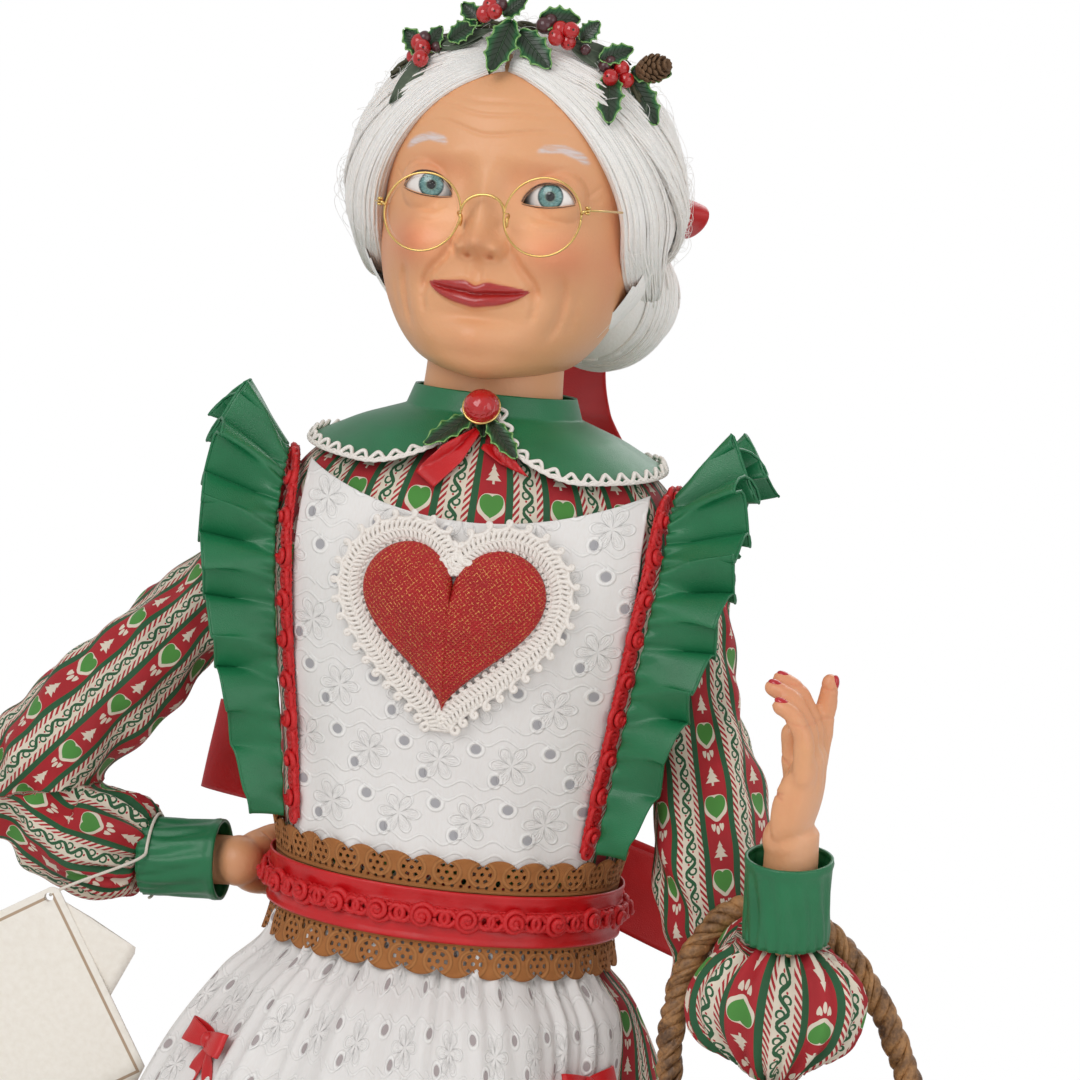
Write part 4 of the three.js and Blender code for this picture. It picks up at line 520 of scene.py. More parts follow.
def pleats(angle, share):
    """Small gathers at the waist that run out into the large folds."""
    fade = np.exp(-((np.maximum(share, 0) / 0.16) ** 1.3))
    sway = 2.1 * np.sin(angle * 5) + 1.3 * np.sin(angle * 2.3 + 1)
    fine = np.sin(47 * angle + sway + 2 * share) * 0.6 + np.sin(29 * angle - sway) * 0.4
    return 0.0016 * fine * fade * rise(share, -0.02, 0.05)


def holiday_print(finish, u, v):
    """The striped print on cloth that is measured in millimetres across (u) and down (v) the stripes."""
    across = (u / STRIPE_REPEAT).fn("FRACT") * STRIPE_REPEAT
    down = (v / 27.0).fn("FRACT") * 27.0
    green = (across > 10.0) * (across < 12.6) + (across > 23.5)
    candy = (across > 12.6) * (across < 14.9) + (across > 21.2) * (across < 23.5)
    cream = (across > 14.9) * (across < 21.2)
    side = abs(across - 5.0)
    x = side / 3.7
    y = (down - 6.5) / -3.7
    body = x * x + y * y - 1.0
    heart = body * body * body - x * x * y * y * y
    tree_rise = down - 18.2
    tier = 1.0 - (tree_rise / 2.1).fn("FRACT") * -0.75
    tree = (side < (tree_rise * 0.3 * tier)) * (tree_rise > 0.0) * (tree_rise < 6.0)
    trunk = (side < 0.45) * (tree_rise > 5.9) * (tree_rise < 7.2)
    drop_x = abs(side - 1.7) * 0.86 + (down - 13.6) * 0.35
    drop_y = (down - 13.6) * 0.86 - abs(side - 1.7) * 0.35
    petals = (side * side / 0.5 + (down - 14.4) * (down - 14.4) / 2.6) < 1.0
    wings = (drop_x * drop_x / 0.45 + drop_y * drop_y / 2.4) < 1.0
    scroll_turn = v * (2 * math.pi / 9.0)
    scroll_x = across - 18.05 - scroll_turn.fn("SINE") * 1.5
    width = abs(scroll_turn.fn("COSINE")) * 0.55 + 0.42
    scroll = abs(scroll_x) < width
    curl_down = (v / 4.5).fn("FRACT") * 4.5 - 1.1
    curl_side = across - 18.05 + ((v / 4.5).fn("FLOOR") * math.pi).fn("COSINE") * 0.8
    curl = abs((curl_side * curl_side + curl_down * curl_down).fn("SQRT") - 1.25) < 0.36
    dots = ((curl_side * curl_side + (curl_down - 2.1) * (curl_down - 2.1)) < 0.16) * cream
    slant = ((v + across * 1.3) / 2.7).fn("FRACT") < 0.5
    color = finish.mix(green, PRINT_RED, PRINT_GREEN)
    color = finish.mix(candy, color, finish.mix(slant, PRINT_CREAM, PRINT_RED))
    color = finish.mix(cream, color, PRINT_CREAM)
    color = finish.mix(scroll.fn("MAXIMUM", curl) * cream, color, PRINT_GREEN)
    color = finish.mix(dots, color, PRINT_RED)
    red_band = across < 10.0
    color = finish.mix((heart < 0.35) * red_band, color, PRINT_CREAM)
    color = finish.mix((heart < 0.0) * red_band, color, HEART_GREEN)
    sprig = tree.fn("MAXIMUM", trunk).fn("MAXIMUM", petals).fn("MAXIMUM", wings) * red_band
    return finish.mix(sprig, color, PRINT_CREAM)


def woven(u, v, pitch=0.42):
    """A plain weave: raised threads both ways, in millimetres."""
    warp = (u * (2 * math.pi / pitch)).fn("SINE")
    weft = (v * (2 * math.pi / pitch)).fn("SINE")
    return warp * weft * 0.5


def printed_cotton(name, repeats):
    """Printed cotton round a body; the cloth attribute holds a turn's cosine and sine and the length down."""
    finish = Finish(name, Roughness=0.58)
    cosine, sine, down = finish.split(finish.attribute("cloth"))
    u = sine.fn("ARCTAN2", cosine) * (repeats * STRIPE_REPEAT / (2 * math.pi)) + 3.0
    v = down * 1000.0
    shade = finish.noise(finish.place(), 45, 3)
    printed = holiday_print(finish, u, v)
    finish.set("Base Color", finish.mix(finish.ease(shade, 0.3, 0.7, 0.0, 0.16), printed, (0.02, 0.01, 0.01)))
    finish.bump(woven(u, v) + shade * 2.0, 0.00012)
    return finish


def turn_marks(angle, down):
    return abreast(np.cos(angle), np.sin(angle), down)


cotton = printed_cotton("gown_cotton", 42)
bodice_cotton = printed_cotton("bodice_cotton", 17)

angle = np.linspace(-np.pi * 1.5, np.pi * 0.5, 640, endpoint=False)[None]
share = np.concatenate([np.linspace(0, 0.2, 60), np.linspace(0.2, 1, 90)[1:]])[:, None]
skirt = skirt_point(angle, share, 0.0006)
marks = turn_marks(angle, share * (SKIRT_TOP - SKIRT_HEM))
gown = Piece().sheet(skirt, GOWN_THICK, marks, around=True).object("gown_cloth", cotton, "figure", "print",
    ["gown_skirt"])
hem = Piece()
for level, off in ((0.992, 0.0022), (0.975, 0.0017)):
    line = skirt_point(angle[0], np.full(angle.shape[1], level), off)
    hem.tube(np.concatenate([line, line[:1]]), 0.0007, 6)
hem_cord = flecked("hem_piping", 900, 2, (0.30, 0.004, 0.008), (0.50, 0.012, 0.02), 0.0003, Roughness=0.55,
    Sheen_Weight=0.3)
hem.object("gown_hem_piping", hem_cord, "figure", "red_braid")

bodice_angle = np.linspace(-np.pi * 1.5, np.pi * 0.5, 260, endpoint=False)[None]
heights = np.linspace(0.4695, 0.6575, 110)[:, None]
bodice = torso_point(bodice_angle, heights, 0.00155)
ripple = 0.0007 * np.sin(bodice_angle * 9 + heights * 60) * np.sin(heights * 75 + bodice_angle * 3)
bodice = bodice + ripple[..., None] * abreast(np.cos(bodice_angle), np.sin(bodice_angle), 0 * heights)
marks = turn_marks(bodice_angle, 0.66 - heights)
bodice_made = Piece().sheet(bodice, GOWN_THICK, marks, around=True).object("bodice_cloth", bodice_cotton,
    "figure", "print", ["bodice", "torso"])

# Apron skirt: fine white cotton with embroidered flowers and open eyelets, drawn as painted shade of the
# cloth beneath, gathered under the waistband and hanging over the front of the gown, with a scalloped lower
# edge.
IN_MILLIMETRES = (1000, 1000, 1000)
EYELET_WHITE = (0.95, 0.93, 0.91)
APRON_HALF_ANGLE = math.radians(73.6)
APRON_END = 0.68
APRON_CLOTH_WIDTH = 0.38
CELL = (29.0, 25.0)


def eyelet_cloth(name, cell, shaded_underlayer):
    """White embroidered cotton: stitched flowers and vines, and eyelet holes painted as the cloth beneath in
    painted shade.
    """
    finish = Finish(name, Roughness=0.85)
    u, v, _ = finish.split(finish.stretch(finish.attribute("cloth"), IN_MILLIMETRES))
    row = (v / cell[1]).fn("FLOOR")
    shift = (row * 0.5).fn("FRACT")
    x = ((u / cell[0] + shift).fn("FRACT") - 0.5) * cell[0]
    y = ((v / cell[1]).fn("FRACT") - 0.5) * cell[1]
    radius = (x * x + y * y).fn("SQRT")
    turn = y.fn("ARCTAN2", x)
    petal = abs((turn * 3.0).fn("COSINE")) ** 0.6 * 6.0 + 1.6
    outline = finish.ease(abs(radius - petal), 0.25, 0.75, 1.0, 0.0)
    inner = (finish.ease(radius, 7.4, 7.9, 1.0, 0.0)
        * finish.ease(abs(radius - petal * 0.62), 0.9, 1.5, 1.0, 0.0))
    stitches = (turn * 34.0).fn("SINE") * inner
    corner_x = ((u / cell[0] + shift).fn("FRACT")) * cell[0]
    wrap_x = corner_x.fn("MINIMUM", cell[0] - corner_x)
    leaf_y = y - (x * 0.52).fn("SINE") * 1.4
    hole_a = ((corner_x - 7.6) * (corner_x - 7.6) / 2.3 + (y - 6.0) * (y - 6.0) / 3.2)
    hole_b = (wrap_x * wrap_x / 3.4 + (y + 5.2) * (y + 5.2) / 3.0)
    nearest = hole_a.fn("MINIMUM", hole_b)
    rim = finish.ease(nearest, 1.0, 1.5, 0.0, 1.0) * finish.ease(nearest, 2.6, 4.2, 1.0, 0.0)
    vine = finish.ease(abs(abs(leaf_y) - 8.4), 0.3, 0.7, 1.0, 0.0)
    eyelet_hole_shade = nearest < 1.0
    slub = finish.noise(finish.point(u, v * 0.3), 1.1, 3)
    raised = outline * 0.9 + inner * 0.35 + stitches * 0.25 + rim * 1.1 + vine * 0.7
    shaded = finish.ease(raised, 0.0, 1.4, 0.0, 1.0)
    color = finish.mix(shaded, (0.86, 0.835, 0.815), EYELET_WHITE)
    color = finish.mix(finish.ease(slub, 0.35, 0.75, 0.0, 0.25), color, (0.80, 0.74, 0.69))
    # Painted shade: each eyelet hole is filled with a flat grey standing for the shaded cloth behind it.
    finish.set("Base Color", finish.mix(eyelet_hole_shade, color, shaded_underlayer))
    finish.bump(raised * 1.4 + woven(u, v, 0.55) * 0.4 + slub * 0.5, 0.00028)
    return finish


# The last colour is the painted shade seen in the eyelets: the gown under the apron, the lining under the
# bib.
eyelet = eyelet_cloth("eyelet_cotton", CELL, (0.44, 0.38, 0.38))
lined_eyelet = eyelet_cloth("lined_eyelet_cotton", (26.0, 22.0), (0.42, 0.41, 0.43))
front = np.linspace(-1, 1, 420)[None]
angle = -np.pi / 2 + front * APRON_HALF_ANGLE
share = np.concatenate([np.linspace(0, 0.2, 70), np.linspace(0.2, 1, 100)[1:]])[:, None] * APRON_END
scallop = 0.011 * np.abs(np.sin(front * 21)) ** 0.7
share = share * (1 + (scallop - 0.011) / 0.28 * rise(share, 0.5, APRON_END))
standoff = 0.0016 + 0.0012 + 0.002 * np.minimum(1, share * 4) - 0.0003
gathers = (0.0011 * (1 + np.sin(angle * 61 + 2.2 * np.sin(angle * 9))) * np.exp(-((share / 0.22) ** 2))
    * rise(share, 0.0, 0.02))
apron = skirt_point(angle, share, standoff + gathers)
marks = abreast(front * APRON_CLOTH_WIDTH / 2, share * (SKIRT_TOP - SKIRT_HEM), 0)
apron_made = Piece().sheet(apron, 0.0008, marks).object("apron_cloth", eyelet, "figure", "eyelet",
    ["apron_skirt"])
edge = Piece()
edge.tube(apron[-1], 0.0009, 6)
edge.tube(apron[:, 0], 0.0007, 6)
edge.tube(apron[:, -1], 0.0007, 6)
thread = flecked("white_thread", 1100, 2, (0.66, 0.60, 0.53), (0.88, 0.84, 0.79), 0.0003, Roughness=0.85)
edge.object("apron_edge_stitching", thread, "figure", "white_gimp")

# Waistband: a wide ginger lace with scalloped and pierced edges, a red satin ribbon laid over its
# middle, and a corded rosebud braid stitched along the ribbon.
BAND_HALF = 0.0595
BAND_FRONT = 0.046
BAND_BACK = 0.044
BAND_FLARE = 0.0108
LACE_HEIGHT = 0.044
LACE_OFF = 0.0050
RIBBON_OFF = 0.0071
LACE_SCALLOP = 0.0125
ROSE_PITCH = 0.0165


def band_point(angle, lift, grow):
    reach = grow + (lift / LACE_HEIGHT) ** 2 * BAND_FLARE
    depth = np.where(np.sin(angle) < 0, BAND_FRONT, BAND_BACK)
    return abreast((BAND_HALF + reach) * np.cos(angle), (depth + reach) * np.sin(angle), WAIST + lift)


def rope(piece, path, radius, turns, ply_radius, plies=2, sides=6, paint=None):
    """Plies twisted about a path, as in a cord or braid."""
    path = np.asarray(path, float)
    along = np.gradient(path, axis=0)
    along /= np.linalg.norm(along, axis=1, keepdims=True) + 1e-12
    side = np.cross(along, (0.3, 0.2, 0.9))
    side /= np.linalg.norm(side, axis=1, keepdims=True) + 1e-12
    other = np.cross(along, side)
    phase = np.linspace(0, turns * 2 * np.pi, len(path))[:, None]
    for ply in range(plies):
        spin = phase + ply * 2 * np.pi / plies
        piece.tube(path + radius * (np.cos(spin) * side + np.sin(spin) * other), ply_radius, sides, paint)


def resample(path, count):
    path = np.asarray(path, float)
    gone = np.concatenate([[0], np.cumsum(np.linalg.norm(np.diff(path, axis=0), axis=1))])
    at = np.linspace(0, gone[-1], count)
    return np.stack([np.interp(at, gone, path[:, axis]) for axis in range(3)], -1), gone[-1]


def frames_along(path, out):
    along = np.gradient(path, axis=0)
    along /= np.linalg.norm(along, axis=1, keepdims=True) + 1e-12
    out = out - along * (out * along).sum(1, keepdims=True)
    out /= np.linalg.norm(out, axis=1, keepdims=True) + 1e-12
    return along, np.cross(out, along), out


def rosebud_braid(piece, path, out, pitch, bud, cord):
    """Cord coiled into small roses with a leaf loop each side, joined by a wavy cord along the seam."""
    line, length = resample(path, 400)
    outward = np.stack([np.interp(np.linspace(0, 1, 400), np.linspace(0, 1, len(out)), out[:, a])
        for a in range(3)], -1)
    along, side, outward = frames_along(line, outward)
    count = max(1, round(length / pitch))
    for k in range(count):
        at = int((k + 0.5) / count * 399)
        centre, x, y, z = line[at], along[at], side[at], outward[at]
        turn = np.linspace(0, 2 * np.pi * 1.9, 40)[:, None]
        spiral = bud * (0.92 - 0.70 * turn / turn[-1])
        lift = bud * 0.72 * turn / turn[-1]
        flip = 1 if k % 2 else -1
        coil = centre + spiral * (np.cos(turn) * x + flip * np.sin(turn) * y) + (lift + cord * 0.5) * z
        piece.tube(coil, cord * (1.1 - 0.2 * turn[:, 0] / turn[-1, 0]), 6)
        piece.ball(centre + z * bud * 0.50, bud * 0.42, 10, 8)
        for way in (1, -1):
            loop = np.linspace(0.1, 2 * np.pi - 0.1, 20)[:, None]
            leaf = (centre + way * x * bud * (0.9 + 0.55 * (1 - np.cos(loop))) + y * bud * 0.55
                * np.sin(loop) + z * cord)
            piece.tube(leaf, cord * 0.85, 6)
    wave = np.linspace(0, count * 2 * np.pi, 400)[:, None]
    piece.tube(line + side * np.sin(wave) * bud * 0.5 + outward * cord * 0.7, cord * 0.8, 6)
    piece.tube(line - side * np.sin(wave) * bud * 0.5 + outward * cord * 0.7, cord * 0.8, 6)


lace = Finish("ginger_lace", Roughness=0.88)
u, v, _ = lace.split(lace.stretch(lace.attribute("cloth"), IN_MILLIMETRES))
scallop = LACE_SCALLOP * 1000
x = ((u / scallop).fn("FRACT") - 0.5) * scallop
edge_y = abs(v) - 16.6
radius = (x * x + edge_y * edge_y).fn("SQRT")
spoke = edge_y.fn("ARCTAN2", x)
petal_hole = (abs(radius - 2.9) < 0.62) * ((spoke * 6.0).fn("COSINE") > 0.05)
eye_hole = radius < 0.75
half_x = ((u / scallop + 0.5).fn("FRACT") - 0.5) * scallop
side_hole = (half_x * half_x / 0.9 + (edge_y + 3.2) * (edge_y + 3.2) / 1.6) < 1.0
ladder_x = abs((u / 3.1).fn("FRACT") - 0.5) * 3.1
ladder = ((ladder_x * ladder_x + (abs(v) - 11.6) * (abs(v) - 11.6)) < 0.42)
holes = petal_hole.fn("MAXIMUM", eye_hole).fn("MAXIMUM", side_hole).fn("MAXIMUM", ladder)
cords = lace.ease(abs(radius - 4.7), 0.3, 0.8, 1.0, 0.0) + lace.ease(abs(abs(v) - 9.9), 0.3, 0.7, 1.0, 0.0)
cross = (u * 7.0).fn("SINE") * (v * 7.0).fn("SINE")
fuzz = lace.noise(lace.place(), 260, 3)
color = lace.mix(fuzz, (0.33, 0.115, 0.026), (0.50, 0.195, 0.055))
lace.set("Base Color", lace.mix(lace.ease(cords, 0.0, 1.0, 0.0, 0.35), color, (0.58, 0.26, 0.085)))
lace.set("Alpha", 1.0 - holes)
lace.bump(cords * 2.0 + cross * 0.5 + fuzz, 0.0003)

angle = np.linspace(-np.pi * 1.5, np.pi * 0.5, 900, endpoint=False)[None]
around = angle * 0.0637
share = np.linspace(-1, 1, 41)[:, None]
lobe = np.abs(np.cos(np.pi * around / LACE_SCALLOP)) ** 0.55
half = LACE_HEIGHT / 2 - 0.0034 * (1 - lobe)
lift = half * share
wave = 0.0006 * np.sin(around * 260) * np.abs(share) ** 2
marks = abreast(around, lift, 0)
band = Piece().sheet(band_point(angle, lift, LACE_OFF + wave), 0.0008, marks, around=True)
band = band.object("waist_lace_band", lace, "figure", "ginger_lace", ["waist_lace"])

red_satin = Finish("red_satin", Roughness=0.32, Coat_Weight=0.05, Anisotropic=0.4)
warp = red_satin.noise(red_satin.place(), 70, 3)
fine = red_satin.noise(red_satin.place(), 2600, 1)
red_satin.set("Base Color", red_satin.mix(warp, (0.44, 0.003, 0.005), (0.64, 0.008, 0.012)))
red_satin.set("Roughness", fine * 0.14 + 0.25)
red_satin.bump(warp * 0.6 + fine * 0.25, 0.0005)
share = np.linspace(-1, 1, 23)[:, None]
crease = 0.00035 * np.sin(share * 9 + np.sin(angle * 5)) + 0.0003 * np.sin(angle * 23 + share * 3)
ribbon_edge = 0.00045 * np.exp(-(((np.abs(share) - 0.93) / 0.05) ** 2))
ribbon = Piece().sheet(band_point(angle, 0.0095 * share,
    RIBBON_OFF + crease * (1 - share**2) + ribbon_edge), 0.0007, around=True)
ribbon = ribbon.object("waist_ribbon_satin", red_satin, "figure", "red_satin", ["waist_ribbon"])

red_cord = Finish("red_cord", Roughness=0.45)
ply = red_cord.noise(red_cord.place(), 1500, 2)
tone = red_cord.noise(red_cord.place(), 120, 2)
red_cord.set("Base Color", red_cord.mix(ply * 0.6 + tone * 0.4, (0.42, 0.003, 0.005), (0.74, 0.012, 0.016)))
red_cord.bump(ply, 0.0004)
angle = np.linspace(-np.pi * 1.5, np.pi * 0.5, 300)
seam = band_point(angle, 0 * angle, RIBBON_OFF + 0.0009)
out = abreast(np.cos(angle), np.sin(angle), 0)
braid = Piece()
rosebud_braid(braid, seam, out, ROSE_PITCH, 0.0048, 0.00125)
for lift in (-0.0035, 0.0035):
    rope(braid, band_point(angle, 0 * angle + lift * 0.9, RIBBON_OFF + 0.0007), 0.0004, 70, 0.00045, 2, 5)
braid.object("waist_rosebud_braid", red_cord, "figure", "red_braid", ["waist_braid"])

# Bib: the same embroidered cotton, stitched flat over the chest with a dipped neck edge.
# Its sides run under the shoulder ruffles and its lower edge under the waistband.
BIB_TOP = 0.158
BIB_BOTTOM = 0.023
BIB_DIP = 0.014
BIB_HALF = 0.063
BIB_OFF = 0.00415


def chest_point(across, height, grow):
    edge = torso_point(np.zeros_like(height), height, grow)[..., 0]
    turn = -np.arccos(np.clip(across / edge, -1, 1))
    return torso_point(turn, height, grow)


side = np.linspace(-1, 1, 240)[None]
share = np.linspace(0, 1, 220)[:, None]
half = BIB_HALF * (0.86 + 0.14 * np.sin(np.minimum(1, share * 1.25) * np.pi / 2))
top = BIB_TOP - BIB_DIP * (1 - side**2)
height = WAIST + BIB_BOTTOM - 0.004 + (top - BIB_BOTTOM + 0.004) * share
across = side * half + 0 * height
wrinkle = 0.0006 * np.sin(across * 300 + height * 60) * np.exp(-((height - 0.505) / 0.03) ** 2)
wrinkle = wrinkle + 0.0004 * np.sin(height * 130 + across * 40)
marks = abreast(across, 0.70 - height, 0)
bib = Piece().sheet(chest_point(across, height + 0 * across, BIB_OFF + wrinkle), 0.0008, marks)
bib = bib.object("bib_cloth", lined_eyelet, "figure", "eyelet", ["apron_bib"])

# Heart: red mesh shot with gold over a padded heart, edged with a looped white gimp braid.
# It is sewn down by its edge in the middle of the bib.
HEART_RISE = 0.111
HEART_SIZE = 0.033
HEART_OFF = 0.0062
GIMP_WIDTH = 0.0105


def heart_outline(turn):
    x = np.sin(turn) ** 3
    z = (13 * np.cos(turn) - 5 * np.cos(2 * turn) - 2 * np.cos(3 * turn) - np.cos(4 * turn)) / 16
    return x, z


def heart_place(turn, size, spread, off):
    x, z = heart_outline(turn)
    reach = size + spread / np.hypot(x, z + 0.1)
    return chest_point(x * reach, WAIST + HEART_RISE + z * reach, off)


metal_mesh = Finish("red_metal_mesh", Roughness=0.42, Metallic=0.35)
x, y, z = metal_mesh.split(metal_mesh.place())
a = ((x + z) * 3600).fn("SINE")
b = ((x - z) * 3600).fn("SINE")
net = a.fn("MAXIMUM", b)
glint = metal_mesh.noise(metal_mesh.place(), 1500, 2)
tone = metal_mesh.noise(metal_mesh.place(), 60, 3)
mesh_red = metal_mesh.mix(tone, (0.30, 0.003, 0.005), (0.56, 0.010, 0.012))
gilt = metal_mesh.ease(net, 0.55, 0.95) * metal_mesh.ease(glint, 0.5, 0.62)
metal_mesh.set("Base Color", metal_mesh.mix(gilt * 0.75, mesh_red, (0.75, 0.38, 0.12)))
metal_mesh.set("Roughness", 0.5 - gilt * 0.22)
metal_mesh.set("Metallic", gilt * 0.55 + 0.1)
metal_mesh.bump(net * 0.5 + glint * 0.6, 0.0004)
turn = np.linspace(0, 2 * np.pi, 200, endpoint=False)[None]
scale = np.concatenate([np.linspace(0.01, 0.95, 46), [0.985, 1.0, 1.0]])[:, None]
dome = 0.0052 * (1 - scale**2.2)
folds = 0.0007 * np.sin(turn * 3 + scale * 5) * scale * (1 - scale) * 4
soft = np.concatenate([np.full(46, 0.0), [-0.0003, -0.0012, -0.0018]])[:, None]
x, z = heart_outline(turn)
place = chest_point(x * HEART_SIZE * scale, WAIST + HEART_RISE + z * HEART_SIZE * scale,
    HEART_OFF + 0.0013 + dome + folds + soft)
patch = Piece().grid(place, True, True)
patch = patch.object("heart_patch_mesh", metal_mesh, "figure", "sparkle_mesh", ["heart_patch"])

gimp = flecked("white_gimp", 1400, 2, (0.76, 0.69, 0.62), (0.95, 0.91, 0.87), 0.0004, Roughness=0.7)


def gimp_braid(piece, path, out, width, pitch, cord):
    """A flat braid: a plaited middle with a row of small loops along each edge."""
    line, length = resample(path, 900)
    outward = np.stack([np.interp(np.linspace(0, 1, 900), np.linspace(0, 1, len(out)), out[:, a])
        for a in range(3)], -1)
    _, side, outward = frames_along(line, outward)
    count = round(length / pitch)
    for way, turns in ((1, round(length / 0.0056)), (-1, round(length / 0.0034))):
        phase = np.linspace(0, count * 2 * np.pi, 900)[:, None]
        for lag in (0, np.pi):
            wave = (side * way * width * (0.13 + 0.17 * np.sin(phase + lag)) + outward * cord
                * (0.9 + 0.5 * np.cos(phase * 1.0 + lag * way)))
            piece.tube(line + wave, cord, 5)
        phase = np.linspace(0, turns * 2 * np.pi, 900)[:, None]
        swing = 0.15 if way > 0 else 0.09
        loops = (side * way * width * (0.32 + swing * (1 - np.cos(phase))) + outward * cord
            * (0.6 + 0.4 * np.sin(phase)))
        along = np.gradient(line, axis=0)
        along /= np.linalg.norm(along, axis=1, keepdims=True)
        piece.tube(line + loops + along * length / turns * 0.36 * np.sin(phase),
            cord * (1.15 if way > 0 else 0.85), 6)
    rope(piece, line + outward * cord * 1.4, cord * 0.55, count, cord * 0.6, 2, 5)


turn = np.linspace(0.02, 2 * np.pi - 0.02, 500)
path = heart_place(turn, HEART_SIZE, GIMP_WIDTH * 0.52, HEART_OFF)
inner = heart_place(turn, HEART_SIZE, GIMP_WIDTH * 0.52, HEART_OFF + 0.002)
heart_braid = Piece()
gimp_braid(heart_braid, path, inner - path, GIMP_WIDTH * 1.0, 0.0036, 0.00078)
heart_braid.object("heart_gimp_braid", gimp, "figure", "white_gimp", ["heart_braid"])

# Shoulder ruffles: green satin gathered in deep flutes along the bib's edge and over the shoulder to
# the back, with a rolled hem; a red rosebud braid covers each seam.
BRAID_OFF = 0.0070
BRAID_RADIUS = 0.0025
RUFFLE_WIDTH = 0.030
RUFFLE_WAVE = 0.0078
RUFFLE_WAVES = 13
RUFFLE_TURNS = (math.radians(-37), math.radians(-8), math.radians(48))
RUFFLE_TOP_SHARE = 0.55

green_satin = Finish("green_satin", Roughness=0.34, Coat_Weight=0.05, Anisotropic=0.4)
warp = green_satin.noise(green_satin.place(), 60, 3)
fine = green_satin.noise(green_satin.place(), 2400, 1)
green_satin.set("Base Color", green_satin.mix(warp, (0.006, 0.115, 0.040), (0.012, 0.195, 0.072)))
green_satin.set("Roughness", fine * 0.16 + 0.27)
green_satin.bump(warp * 0.5 + fine * 0.3, 0.0005)


def ruffle_root(sign, t, off=BRAID_OFF + 0.00035):
    t = np.asarray(t, float)
    low, high = WAIST + BIB_BOTTOM + 0.00285, WAIST + BIB_TOP
    rising = t < RUFFLE_TOP_SHARE
    share = np.where(rising, t / RUFFLE_TOP_SHARE, (t - RUFFLE_TOP_SHARE) / (1 - RUFFLE_TOP_SHARE))
    share = np.clip(share, 0, 1)
    climb = np.where(rising, np.sin(share * np.pi * 0.5) ** 0.92, 1 - share**1.15)
    bend = np.where(rising, share**5, np.minimum(1, share * 3) ** 0.7)
    front, top, back = RUFFLE_TURNS
    turn = np.where(rising, front + (top - front) * bend, top + (back - top) * bend)
    point = torso_point(turn, low + (high - low) * climb, off)
    return point * (sign, 1, 1)


def unit(vector):
    return vector / (np.linalg.norm(vector, axis=-1, keepdims=True) + 1e-12)


def ruffle_out(sign, t):
    climb = 0.72 * np.exp(-(((t - 0.53) / 0.16) ** 2))
    return unit(abreast(sign * 0.85, -0.45 + 0.95 * t, climb + 0.1))


def ruffle_point(sign, u, t):
    swell = np.sin(np.pi * np.minimum(1, t * 0.97 + 0.03)) ** 0.55
    crest = np.exp(-(((t - 0.48) / 0.14) ** 2))
    width = RUFFLE_WIDTH * (0.22 + 0.78 * swell + 0.04 * crest)
    out = ruffle_out(sign, t)
    along = ruffle_root(sign, np.minimum(1, t + 0.01)) - ruffle_root(sign, np.maximum(0, t - 0.01))
    normal = unit(np.cross(out, along)) * sign
    phase = t * 2 * np.pi * RUFFLE_WAVES
    flute = np.sin(phase + 0.35 * np.sin(phase * 0.5 + 1)) + 0.16 * np.sin(phase * 2.0 + 1.3)
    gather = 0.0009 * np.sin(t * 2 * np.pi * 46) * np.exp(-u / 0.22)
    lift = RUFFLE_WAVE * (1 + 0.4 * crest) * u**0.85 * flute * swell + gather
    sway = unit(along) * (0.0042 * u**1.3 * np.sin(2 * phase + 0.5) * swell)[..., None]
    root = ruffle_root(sign, t) + out * (BRAID_RADIUS + 0.00105 + width * u)[..., None]
    point = root + normal * lift[..., None] + sway
    point[..., 2] -= width * 0.1 * u * u
    return point


for name, sign in (("left", 1), ("right", -1)):
    u, t = np.meshgrid(np.linspace(0, 1, 26), np.linspace(0, 1, 420))
    shape = ruffle_point(sign, u, t)
    length = np.linalg.norm(np.diff(shape[:, -1], axis=0), axis=1).sum()
    ruffle = Piece().sheet(shape, 0.0006)
    ruffle = ruffle.object(f"ruffle_satin_{name}", green_satin, "figure", "green_satin", [f"ruffle_{name}"])
    rolled = Piece()
    rolled.tube(shape[::2, -1], 0.00058, 6)
    rolled.object(f"ruffle_hem_{name}", green_satin, "figure", "green_satin")
    t = np.linspace(0, 1, 160)
    seam = ruffle_root(sign, t, BRAID_OFF - 0.0012)
    braid = Piece()
    rosebud_braid(braid, seam, seam * (1, 1, 0), 0.0150, 0.0045, 0.00115)
    side = unit(np.cross(np.gradient(seam, axis=0), unit(seam * (1, 1, 0))))
    rope(braid, seam + side * 0.0024, 0.0004, 60, 0.0005, 2, 5)
    rope(braid, seam - side * 0.0024, 0.0004, 60, 0.0005, 2, 5)
    braid.object(f"ruffle_rosebuds_{name}", red_cord, "figure", "red_braid", [f"ruffle_braid_{name}"])

# Collar: green satin in two rounded halves that meet at the throat, with a looped white cord sewn
# along the edge.
COLLAR_TOP = 0.666
COLLAR_OPENING = (5, 11)
COLLAR_WIDTH = 0.022
COLLAR_DROP = 0.007
COLLAR_OFF = (0.001375, 0.0057)
COLLAR_LIFT = 0.004


def collar_point(u, v):
    ends = np.minimum(u, 1 - u) / 0.055
    corner = np.where(ends < 1, 1 - 0.34 * (1 - np.clip(ends, 0, 1)) ** 2.4, 1)
    v = v * corner
    opening = np.radians(COLLAR_OPENING[0] + COLLAR_OPENING[1] * v)
    angle = -np.pi / 2 + opening + (2 * np.pi - 2 * opening) * u
    front = np.maximum(0, -np.sin(angle))
    height = COLLAR_TOP - (COLLAR_WIDTH + COLLAR_DROP * front) * v**1.1
    off = COLLAR_OFF[0] + (COLLAR_OFF[1] - COLLAR_OFF[0]) * np.minimum(1, 1.6 * v) + COLLAR_LIFT * v**3
    point = torso_point(angle, np.minimum(height, TORSO_HIGH), off)
    point[..., 2] = height
    return point


